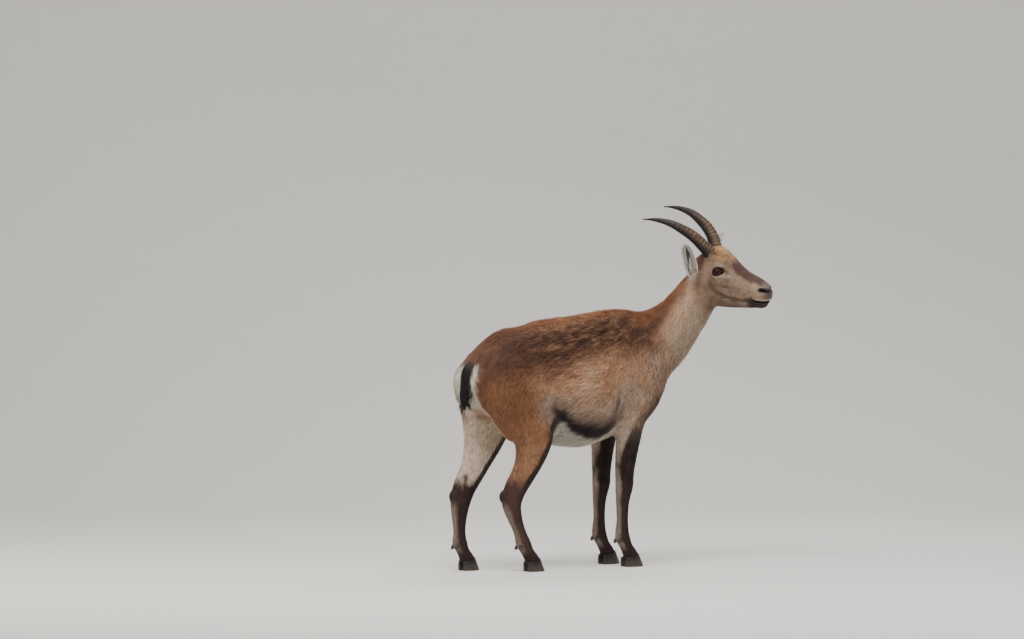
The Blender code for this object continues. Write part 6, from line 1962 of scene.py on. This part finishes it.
    # colours: the skin's markings, with each tuft's own tint; lighter tips, painted shade at the root where tufts
    # overlap, and a painted highlight along each tuft's ridge
    colour = coat_colour(before, e, ins)
    tip_colour = mix(colour, coat_colour(np.where(open_skin[:, None], before + lie * (length * 0.55)[:, None], before), e, ins), 0.7)
    tint = 1 + rng.normal(0, 0.13, m) + (lock - 0.5) * 0.22
    tint = np.clip(tint, 0.6, 1.5)
    warm = rng.normal(0, 0.045, m)
    tone = np.stack([1 + warm, np.ones(m), 1 - warm], 1) * tint[:, None]
    hair_tips_and_painted_shade = np.array([0.80, 0.80, 0.86, 0.96, 0.96, 1.02, 1.14])
    body = (e == 0) & (head_share(root) < 0.5)
    pick = rng.random(m)
    tint = tint * np.where(body & (pick < 0.16), 1.30, 1.0) * np.where(body & (pick > 0.82), 0.68, 1.0)
    tone = np.stack([1 + warm, np.ones(m), 1 - warm], 1) * tint[:, None]
    paint = np.ones((m, 7, 4))
    for k in range(7):
        base = colour if k < 3 else tip_colour
        paint[:, k, :3] = np.clip(base * tone * hair_tips_and_painted_shade[k], 0, 1)
    lr, lw, ln = lashes(tree, tri, smooth)
    if len(lr):
        k = len(lr)
        reach = 0.42 + 0.22 * rng.random(k)
        droop = np.array([0.0, 0.0, -0.10])
        ls = units(np.cross(ln, lw))
        lv = np.zeros((k, 7, 3))
        lm, lt = lr + lw * (reach * 0.5)[:, None], lr + (lw + droop) * reach[:, None]
        for j, (pt, sd, up_) in enumerate(((lr - lw * 0.05, -0.024, 0), (lr - lw * 0.05, 0.024, 0), (lr - lw * 0.05, 0, 0.022), (lm, -0.018, 0), (lm, 0.018, 0), (lm, 0, 0.018), (lt, 0, 0))):
            lv[:, j] = pt + ls * sd + ln * up_
        verts = np.concatenate([verts, lv])
        normals = np.concatenate([normals, np.repeat(ln[:, None, :], 7, 1)])
        dark = np.ones((k, 7, 4))
        dark[:, :, :3] = srgb(26, 17, 15)
        paint = np.concatenate([paint, dark])
        root, e, ins = np.concatenate([root, lr]), np.concatenate([e, np.zeros(k, int)]), np.concatenate([ins, np.zeros(k)])
    piece = piece_of(root, e)
    u, v = flat_place(root, piece, e, ins)
    local = np.array([(-0.5, -0.5), (0.5, -0.5), (0.0, -0.4), (-0.42, 0.1), (0.42, 0.1), (0.0, 0.1), (0.0, 0.5)]) * 0.003
    made = []
    for k, name in enumerate(PIECES):
        mine = piece == k
        c = int(mine.sum())
        if not c:
            continue
        made.append((tuft_object(name, verts[mine], normals[mine], paint[mine], u[mine], v[mine], local, tuft_faces), PIECE_SLOT[k]))
        print(name, c, "tufts", c * 10, "triangles")
    return made


def lashes(tree, tri, smooth):
    """Roots, ways out and normals of the hairs along the upper lids."""
    f, u, l = head_axes()
    axes = np.stack([f, u, l], 1)
    rng = np.random.default_rng(11)
    roots, ways, norms = [], [], []
    for side in (-1, 1):
        c, out, fore, up = eye_axes(side)
        for k in range(64):
            x = -1.45 + 3.05 * (k + rng.random() * 0.8) / 64
            top, _ = lid_edge(np.array([x]))
            y = float(top[0]) + 0.05 + 0.06 * rng.random()
            p = from_head(c + x * fore + y * up + 1.5 * out)
            hit = tree.find_nearest(p.tolist(), 1.0)
            if hit[0] is None:
                continue
            roots.append(np.array(hit[0]))
            ways.append(axes @ unit(out * 1.0 + up * 0.10 + fore * (0.25 * x - 0.30) + fore * rng.normal(0, 0.08)))
            norms.append(axes @ up)
    return np.array(roots), np.array(ways), np.array(norms)


def tuft_object(name, verts, normals, paint, u, v, local, faces):
    c = len(verts)
    loops = [i for f in faces for i in f]
    per = len(loops)
    base = (np.arange(c) * 7)[:, None]
    corner = (base + np.array(loops)[None, :]).ravel().astype(np.int32)
    sizes = np.array([len(f) for f in faces])
    starts = np.concatenate([[0], np.cumsum(sizes)[:-1]])
    first = ((np.arange(c) * per)[:, None] + starts[None, :]).ravel().astype(np.int32)
    me = bpy.data.meshes.new(name)
    me.vertices.add(c * 7)
    me.loops.add(c * per)
    me.polygons.add(c * len(faces))
    co = verts.reshape(-1, 3) * CM + np.array([ORIGIN_X, ORIGIN_Y, 0.0])
    me.vertices.foreach_set("co", co.ravel())
    me.loops.foreach_set("vertex_index", corner)
    me.polygons.foreach_set("loop_start", first)
    me.update(calc_edges=True)
    me.polygons.foreach_set("use_smooth", np.ones(c * len(faces), bool))
    attr = me.color_attributes.new("coat", "FLOAT_COLOR", "POINT")
    attr.data.foreach_set("color", paint.reshape(-1).astype(np.float32))
    layer = me.uv_layers.new(name="OFBake")
    place = np.stack([u, v], 1)[:, None, :] + local[None, :, :]
    layer.data.foreach_set("uv", np.clip(place.reshape(-1, 2)[corner], 0.001, 0.999).astype(np.float32).ravel())
    me.update()
    ob = bpy.data.objects.new(name, me)
    bpy.context.scene.collection.objects.link(ob)
    me.normals_split_custom_set_from_vertices(normals.reshape(-1, 3).astype(np.float32))
    return ob


# ======================================================================================================
# horns, eyes, hooves
# ======================================================================================================

def quiet(name, verts, faces):
    ob = mesh_object(name, verts, faces)
    ob.data.polygons.foreach_set("use_smooth", np.ones(len(ob.data.polygons), bool))
    return ob


def painted_points(ob, colours):
    attr = ob.data.color_attributes.new("coat", "FLOAT_COLOR", "POINT")
    attr.data.foreach_set("color", np.concatenate([np.clip(colours, 0, 1), np.ones((len(colours), 1))], 1).astype(np.float32).ravel())


RIDGES = [0.6, 1.5, 2.5, 3.5, 4.55, 5.65, 6.8, 8.0, 9.25, 10.6, 12.0, 13.5, 15.1, 16.9]


def fine_horn(side):
    count, around = ((300, 44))
    rows = horn_rows(side, count)
    pts, tan, fore, lat = horn_frames(rows)
    run = np.concatenate([[0], np.cumsum(np.linalg.norm(np.diff(pts, axis=0), axis=1))])
    total = run[-1]
    base = 2.6                                     # the ring count starts where the horn leaves the hair
    at = run - base
    high = np.zeros(count)
    for k, r in enumerate(RIDGES):
        amp = 0.150 * (1 - 0.55 * k / len(RIDGES)) * (0.55 + 0.75 * ((k * 37) % 10) / 10)
        d = at - r
        high += amp * np.exp(-(d / np.where(d > 0, 0.17, 0.30)) ** 2)
    fine = 0.018 * np.sin(at * 2 * np.pi / 0.21 + 1.3 * np.sin(at * 1.9)) * step(-at, -total, -2.0)
    q = np.linspace(0, 2 * np.pi, around, endpoint=False)
    c, s = np.cos(q), np.sin(q)
    rings, cols = [], []
    for i in range(count):
        wobble = 0.03 * np.sin(3 * q + run[i] * 0.7 + side) + 0.02 * np.sin(5 * q - run[i] * 1.1)
        grow = high[i] * np.clip(0.42 + 0.58 * c, 0.12, 1) + fine[i] * 0.8
        thin = step(run[i], total - 1.5, total)
        a = rows[i, 3] - 0.11 * (1 - thin) + grow + wobble * rows[i, 3] * 0.35
        b = rows[i, 4] - 0.09 * (1 - thin) + grow * 0.6 + wobble * rows[i, 4] * 0.35
        fa = np.where(c >= 0, 1.0, 0.86) * np.sign(c) * np.abs(c) ** 0.92 * a
        sd = np.sign(s) * np.abs(s) ** 0.92 * b
        rings.append(pts[i] + fore[i] * fa[:, None] + lat[i] * sd[:, None])
        # the horn's upper front side lighter and its underside near black: painted highlight and painted shade
        low = mix(srgb(22, 15, 14), srgb(22, 19, 22), step(run[i], total * 0.45, total * 0.95))
        up = mix(srgb(94, 74, 59), srgb(46, 43, 47), step(run[i], total * 0.35, total * 0.85))
        k = step(c + 0.25 * np.sin(5 * q + run[i] * 0.9) * 0.3, -0.15, 0.90)[:, None]
        col = low * (1 - k) + up * k
        # ring crests lightened and grooves darkened: painted highlight and painted shade
        col = col * (0.58 + 5.2 * high[i] + 0.38 * step(run[i], total * 0.55, total * 0.75))
        stripe = 1 + 0.12 * np.sin(at[i] * 2 * np.pi / 0.21) + 0.08 * np.sin(7 * q + run[i])
        cols.append(np.clip(col * np.atleast_1d(stripe)[:, None], 0, 1))
    rings = np.array(rings)
    verts, faces = tube(rings)
    ob = quiet("horn_%s_sheath" % ("left" if side > 0 else "right"), verts, faces)
    colours = np.array(cols).reshape(-1, 3)
    extra = len(verts) - len(colours)
    if extra > 0:
        colours = np.concatenate([colours, np.tile(colours[-1:], (extra, 1))])
    painted_points(ob, colours)
    return ob


def fine_eye(side):
    """Ball with a low dome in front, painted iris and level pupil."""
    c, out, fore, up = eye_axes(side)
    nr, na = (70, 96)
    th = np.concatenate([np.linspace(0.012, 1.15, 54), np.linspace(1.19, math.pi - 0.05, nr - 54)])
    ph = np.linspace(0, 2 * np.pi, na, endpoint=False)
    rings, cols = [], []
    for t in th:
        r = BALL * math.sin(t)
        zz = BALL * math.cos(t) + 0.13 * (1 - step(t, 0.30, 0.80))
        x, y = r * np.cos(ph), r * np.sin(ph)
        rings.append(c + x[:, None] * fore + y[:, None] * up + zz * out)
        # pupil: a level oblong; iris: red-brown with finer rays
        px, py = x / 0.66, y / 0.30
        pupil = 1 - step((np.abs(px) ** 2.6 + np.abs(py) ** 2.6) ** (1 / 2.6), 0.86, 1.06)
        rays = 0.5 + 0.5 * np.sin(ph * 61 + 2.0 * np.sin(ph * 7) + r * 3)
        rays2 = 0.5 + 0.5 * np.sin(ph * 23 + 1.5 * np.sin(ph * 5 + 1) - r * 5)
        iris = mix(srgb(78, 32, 22), srgb(116, 56, 36), rays * 0.45 + rays2 * 0.35)
        iris = iris * (1 - 0.50 * step(r, 1.00, 1.26)) * (0.62 + 0.38 * step(r, 0.35, 0.8)) * 0.36
        col = mix(iris, srgb(18, 9, 8), np.full(na, step(r if t < 1.57 else 9.0, 1.20, 1.38)))
        col = mix(col, srgb(3, 2, 3), pupil * (t < 1.2))
        cols.append(col)
    verts, faces = tube(np.array(rings))
    colours = np.array(cols).reshape(-1, 3)
    extra = len(verts) - len(colours)
    if extra > 0:
        tail = np.tile(srgb(9, 7, 10)[None, :], (extra, 1))
        colours = np.concatenate([colours, tail])
    # the wet tear corner ahead of the ball
    rings = []
    for t in np.linspace(0.12, math.pi - 0.12, 12):
        x, y, zz = 0.56 * math.sin(t) * np.cos(ph[::4]), 0.33 * math.sin(t) * np.sin(ph[::4]), 0.20 * math.cos(t)
        rings.append(c + (1.62 + x)[:, None] * fore + (y - 0.06)[:, None] * up + (0.62 - 0.22 * x)[:, None] * out + zz * out)
    more, more_faces = tube(np.array(rings))
    faces = list(faces) + [tuple(len(verts) + k for k in f) for f in more_faces]
    verts = np.concatenate([verts, more])
    colours = np.concatenate([colours, np.tile(srgb(34, 19, 18)[None, :], (len(more), 1))])
    verts = from_head(verts)
    ob = quiet("eye_%s_ball" % ("left" if side > 0 else "right"), verts, faces)
    painted_points(ob, colours)
    return ob


def fine_claw(foot, inner):
    o, f, l, length = foot_axes(foot)
    hs = np.concatenate([[0.0, 0.03, 0.07, 0.12], np.linspace(0.16, 1.0, 34)])
    ns = 24
    rings, cols = [], []
    for h in hs:
        size = np.interp(h, [0.0, 0.12, 0.5, 0.86, 1.0], [0.985, 1.01, 0.895, 0.785, 0.735])
        wide0 = np.interp(h, [0.0, 0.12, 0.5, 0.86, 1.0], [0.985, 1.01, 0.97, 0.94, 0.90])
        half = length * 0.5 * size
        middle = -CORONET_BACK * h - 0.10 * math.sin(math.pi * h)
        line = 0.018 * math.sin(h * 46) + 0.012 * math.sin(h * 91 + 1)
        pts, col = [], []
        for k in range(ns * 2):
            t = 2 * math.pi * (k + 0.5) / (ns * 2)
            cx, sx = math.cos(t), math.sin(t)
            fx = math.copysign(abs(cx) ** 0.86, cx)
            wide = 1.0 - 0.50 * max(fx, 0) ** 2.2 - 0.10 * max(-fx, 0) ** 2
            out = sx * -inner < 0
            grow = line if 0.14 < h < 0.99 else 0.0
            side = inner * abs(sx) ** 0.9 * wide * wide0 * ((1.14 + grow) if out else -0.79)
            along = fx * (half + grow - 0.02) + middle
            top = CORONET_Z + CORONET_SLOPE * (along + CORONET_BACK) - 0.02
            pts.append(o + f * along + l * (inner * (1.17 - 0.16 * max(fx, 0) ** 2 * (1 - 0.5 * h)) + side) + np.array([0, 0, h * top]))
            base = mix(srgb(62, 52, 46), srgb(34, 28, 27), step(h, 0.1, 0.8))
            col.append(base * (1 + 0.22 * math.sin(h * 46) + 0.10 * math.sin(t * 9)))
        rings.append(pts)
        cols.append(col)
    verts, faces = tube(np.array(rings))
    ob = quiet("claw_%s_%s" % (foot, "r" if inner < 0 else "l"), verts, faces)
    colours = np.array(cols).reshape(-1, 3)
    extra = len(verts) - len(colours)
    if extra > 0:
        colours = np.concatenate([colours, np.tile(srgb(60, 50, 44)[None, :], (extra, 1))])
    painted_points(ob, colours)
    return ob


def fine_dewclaw(foot, inner):
    rows = {"hind_right": HIND_R, "hind_left": HIND_L}.get(foot, FORE_R)
    x, y, z, _, back = rows[-4][:5]
    if foot == "fore_left":
        x, y = x + FORE_SHIFT, -y
    base = np.array([x - back + 1.05, y + inner * 1.02, z - 0.5])
    tip = np.array([x - back + 0.02, y + inner * 1.22, z - 2.05])
    ts = np.linspace(0, 1, 22)
    rr = np.interp(ts, [0, 0.45, 0.70, 0.85, 0.95, 1.0], [0.80, 0.80, 0.67, 0.50, 0.33, 0.20])
    rr = rr * (1 + 0.022 * np.sin(ts * 40)) * 0.84
    rows = np.array([np.concatenate([base + (tip - base) * t, [r * 0.8, r * 0.8, r, r]]) for t, r in zip(ts, rr)])
    verts, faces = tube(swept(rows, np.tile([-1.0, 0.0, 0.6], (len(ts), 1)), 22, 2.1))
    ob = quiet("spur_%s_%s" % (foot, "r" if inner < 0 else "l"), verts, faces)
    q = placed(coords(ob.data))
    t = (q - base) @ (tip - base) / ((tip - base) @ (tip - base))
    painted_points(ob, mix(np.tile(srgb(40, 33, 31), (len(q), 1)), srgb(70, 60, 54), step(t, 0.3, 1.0)) * (1 + 0.15 * np.sin(t * 40))[:, None])
    return ob


# ======================================================================================================
# materials
# ======================================================================================================

def material(name, rough=0.7, spec=0.3, coat=0.0, sheen=0.0, fine=900.0, coarse=90.0, depth=0.15, vary=0.25, stretch=(1, 1, 1), bump_distance=0.0004, subsurface=0.0):
    m = bpy.data.materials.new(name)
    m.use_nodes = True
    nt = m.node_tree
    for n in list(nt.nodes):
        nt.nodes.remove(n)
    out = nt.nodes.new("ShaderNodeOutputMaterial")
    bsdf = nt.nodes.new("ShaderNodeBsdfPrincipled")
    nt.links.new(bsdf.outputs["BSDF"], out.inputs["Surface"])
    bsdf.inputs["Specular IOR Level"].default_value = spec
    bsdf.inputs["Coat Weight"].default_value = coat
    bsdf.inputs["Coat Roughness"].default_value = 0.03
    bsdf.inputs["Sheen Weight"].default_value = sheen
    bsdf.inputs["Sheen Roughness"].default_value = 0.5
    at = nt.nodes.new("ShaderNodeAttribute")
    at.attribute_name = "coat"
    where = nt.nodes.new("ShaderNodeTexCoord")
    scale = nt.nodes.new("ShaderNodeMapping")
    scale.inputs["Scale"].default_value = stretch
    nt.links.new(where.outputs["Object"], scale.inputs["Vector"])
    big = nt.nodes.new("ShaderNodeTexNoise")
    big.inputs["Scale"].default_value = coarse
    big.inputs["Detail"].default_value = 4.0
    small = nt.nodes.new("ShaderNodeTexNoise")
    small.inputs["Scale"].default_value = fine
    small.inputs["Detail"].default_value = 3.0
    for n in (big, small):
        nt.links.new(scale.outputs["Vector"], n.inputs["Vector"])
    spread = nt.nodes.new("ShaderNodeMapRange")
    spread.inputs["From Min"].default_value = 0.3
    spread.inputs["From Max"].default_value = 0.7
    spread.inputs["To Min"].default_value = 1 - vary
    spread.inputs["To Max"].default_value = 1 + vary
    nt.links.new(big.outputs["Fac"], spread.inputs["Value"])
    tint = nt.nodes.new("ShaderNodeVectorMath")
    tint.operation = "SCALE"
    nt.links.new(at.outputs["Color"], tint.inputs[0])
    nt.links.new(spread.outputs["Result"], tint.inputs["Scale"])
    nt.links.new(tint.outputs["Vector"], bsdf.inputs["Base Color"])
    gloss = nt.nodes.new("ShaderNodeMapRange")
    gloss.inputs["To Min"].default_value = max(rough - 0.08, 0.02)
    gloss.inputs["To Max"].default_value = min(rough + 0.08, 1.0)
    nt.links.new(small.outputs["Fac"], gloss.inputs["Value"])
    nt.links.new(gloss.outputs["Result"], bsdf.inputs["Roughness"])
    if depth:
        bump = nt.nodes.new("ShaderNodeBump")
        bump.inputs["Strength"].default_value = depth
        bump.inputs["Distance"].default_value = bump_distance
        nt.links.new(small.outputs["Fac"], bump.inputs["Height"])
        nt.links.new(bump.outputs["Normal"], bsdf.inputs["Normal"])
    if subsurface:
        bsdf.inputs["Subsurface Weight"].default_value = subsurface
        bsdf.inputs["Subsurface Radius"].default_value = (0.006, 0.003, 0.002)
        bsdf.inputs["Subsurface Scale"].default_value = 0.5
    return m


def stage_material(name, colour):
    m = bpy.data.materials.new(name)
    m.use_nodes = True
    nt = m.node_tree
    bsdf = nt.nodes["Principled BSDF"]
    bsdf.inputs["Roughness"].default_value = 0.85
    bsdf.inputs["Specular IOR Level"].default_value = 0.2
    n = nt.nodes.new("ShaderNodeTexNoise")
    n.inputs["Scale"].default_value = 14.0
    where = nt.nodes.new("ShaderNodeTexCoord")
    nt.links.new(where.outputs["Object"], n.inputs["Vector"])
    ramp = nt.nodes.new("ShaderNodeValToRGB")
    c = srgb(*colour)
    ramp.color_ramp.elements[0].color = (*(c * 0.985), 1)
    ramp.color_ramp.elements[1].color = (*(c * 1.015), 1)
    nt.links.new(n.outputs["Fac"], ramp.inputs["Fac"])
    nt.links.new(ramp.outputs["Color"], bsdf.inputs["Base Color"])
    return m


# ======================================================================================================
# stage, light, camera
# ======================================================================================================

def build_stage():
    """A pale floor that curves up far behind the animal as the camera sees it."""
    psi = math.radians(35.0)
    r = np.array([math.cos(psi), -math.sin(psi), 0.0])
    d = np.array([math.sin(psi), math.cos(psi), 0.0])
    prof = [(-9.0, 0.0), (-3.0, 0.0), (0.0, 0.0), (2.6, 0.0)]
    for k in range(1, 13):
        a = math.pi / 2 * k / 12
        prof.append((2.6 + 2.4 * math.sin(a), 2.4 * (1 - math.cos(a))))
    prof += [(5.0, 4.0), (5.0, 7.0)]
    verts, faces = [], []
    for x in (-9.0, 9.0):
        for dd, z in prof:
            p = r * x + d * dd
            verts.append((p[0], p[1], z - 0.0002))
    n = len(prof)
    for i in range(n - 1):
        faces.append((i, i + 1, n + i + 1, n + i))
    me = bpy.data.meshes.new("studio_floor")
    me.from_pydata(verts, [], faces)
    me.update()
    bm = bmesh.new()
    bm.from_mesh(me)
    bmesh.ops.recalc_face_normals(bm, faces=bm.faces)
    bm.to_mesh(me)
    bm.free()
    if sum(p.normal.z for p in me.polygons) < 0:
        me.flip_normals()
    me.polygons.foreach_set("use_smooth", np.ones(len(me.polygons), bool))
    ob = bpy.data.objects.new("studio_floor", me)
    bpy.context.scene.collection.objects.link(ob)
    me.materials.append(stage_material("studio_paper", (226, 223, 217)))
    return ob


def area_light(name, at, to, size, power, colour=(1, 1, 1)):
    from mathutils import Vector
    li = bpy.data.lights.new(name, "AREA")
    li.shape, li.size, li.size_y, li.energy, li.color = "RECTANGLE", size[0], size[1], power, colour
    ob = bpy.data.objects.new(name, li)
    ob.location = at
    ob.rotation_euler = (Vector(to) - Vector(at)).to_track_quat("-Z", "Y").to_euler()
    ob.visible_glossy = name == "key"
    bpy.context.scene.collection.objects.link(ob)
    return ob


def build_light():
    psi = math.radians(35.0)
    r = np.array([math.cos(psi), -math.sin(psi), 0.0])
    d = np.array([math.sin(psi), math.cos(psi), 0.0])
    z = np.array([0, 0, 1.0])

    def at(x, dd, h):
        return tuple(r * x + d * dd + z * h)
    area_light("key", at(-0.6, -2.2, 3.8), at(0.0, 0.0, 0.55), (2.6, 2.0), 175, (1.0, 0.975, 0.94))
    area_light("fill", at(2.9, -2.4, 1.7), at(0.1, 0.0, 0.6), (2.2, 2.2), 52, (0.93, 0.96, 1.0))
    area_light("side", at(-3.2, -1.0, 1.6), at(-0.1, 0.0, 0.6), (2.0, 2.2), 42, (1.0, 0.97, 0.93))
    area_light("back", at(0.8, 2.4, 3.2), at(0.0, 0.0, 0.7), (2.4, 1.2), 60, (1.0, 1.0, 1.0))
    w = bpy.data.worlds.new("studio_air")
    bpy.context.scene.world = w
    w.use_nodes = True
    bg = w.node_tree.nodes["Background"]
    bg.inputs["Color"].default_value = (0.90, 0.92, 0.95, 1.0)
    bg.inputs["Strength"].default_value = 0.55


def build_camera():
    from mathutils import Vector
    psi, e = math.radians(35.0), math.radians(2.0)
    d = np.array([math.sin(psi), math.cos(psi), 0.0])
    look = d * math.cos(e) + np.array([0, 0, -math.sin(e)])
    target = np.array([-0.1303 + ORIGIN_X, 0.0912 + ORIGIN_Y, 0.746])
    cam = bpy.data.cameras.new("camera")
    cam.lens, cam.sensor_width, cam.sensor_fit = 250.0, 36.0, "HORIZONTAL"
    cam.clip_end = 100.0
    ob = bpy.data.objects.new("camera", cam)
    ob.location = target - look * (3.072 * 250.0 / 36.0)
    ob.rotation_euler = Vector(look).to_track_quat("-Z", "Y").to_euler()
    bpy.context.scene.collection.objects.link(ob)
    bpy.context.scene.camera = ob


# ======================================================================================================
# all together
# ======================================================================================================

def main():
    import time
    t0 = time.time()
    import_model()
    fleshy = ["trunk", "neck", "head", "tail", "leg_fore_right", "leg_fore_left", "leg_hind_right", "leg_hind_left", "ear_right", "ear_left"]
    skin, home = build_skin()
    print("skin", len(skin.data.vertices), "points", round(time.time() - t0, 1), "s")
    ear, inside = ear_marks(skin)
    skin.data.materials.clear()
    skin.data.materials.append(material("skin_and_underfur", rough=0.72, spec=0.22, sheen=0.15, fine=1500.0, coarse=160.0, depth=0.55, vary=0.16, bump_distance=0.0006))
    skin.data.polygons.foreach_set("material_index", np.zeros(len(skin.data.polygons), np.int32))
    skin.data.polygons.foreach_set("use_smooth", np.ones(len(skin.data.polygons), bool))
    painted_points(skin, coat_colour(home, ear, inside) * 0.86)
    skin.data.update()
    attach(skin, "root")
    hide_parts(*fleshy)
    fur = {}
    for ob, slot in grow_coat(skin, ear, inside, home):
        if slot not in fur:
            fur[slot] = material("hair_" + slot, rough=0.66, spec=0.25, sheen=0.10, fine=2600.0, coarse=500.0, depth=0.0, vary=0.10)
        ob.data.materials.append(fur[slot])
        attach(ob, "root")
    print("coat", round(time.time() - t0, 1), "s")
    sheath = material("horn_surface", rough=0.56, spec=0.28, fine=1300.0, coarse=160.0, depth=0.5, vary=0.24, bump_distance=0.0006)
    wet = material("eye_wet", rough=0.10, spec=0.08, coat=0.22, fine=900.0, coarse=700.0, depth=0.0, vary=0.06)
    hoof = material("hoof_surface", rough=0.50, spec=0.4, fine=1100.0, coarse=220.0, depth=0.5, vary=0.22, stretch=(1, 1, 3), bump_distance=0.0005)
    for side, word in ((-1, "right"), (1, "left")):
        ob = fine_horn(side)
        ob.data.materials.append(sheath)
        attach(ob, "root")
        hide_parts("horn_" + word)
        ob = fine_eye(side)
        ob.data.materials.append(wet)
        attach(ob, "root")
        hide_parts("eye_" + word)
    for foot in FEET:
        for inner in (-1, 1):
            ob = fine_claw(foot, inner)
            ob.data.materials.append(hoof)
            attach(ob, "root")
            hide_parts("hoof_%s_%s" % (foot, "r" if inner < 0 else "l"))
            ob = fine_dewclaw(foot, inner)
            ob.data.materials.append(hoof)
            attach(ob, "root")
            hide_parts("dewclaw_%s_%s" % (foot, "r" if inner < 0 else "l"))
    floor = build_stage()
    build_light()
    build_camera()
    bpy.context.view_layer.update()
    print("scene", round(time.time() - t0, 1), "s")


main()
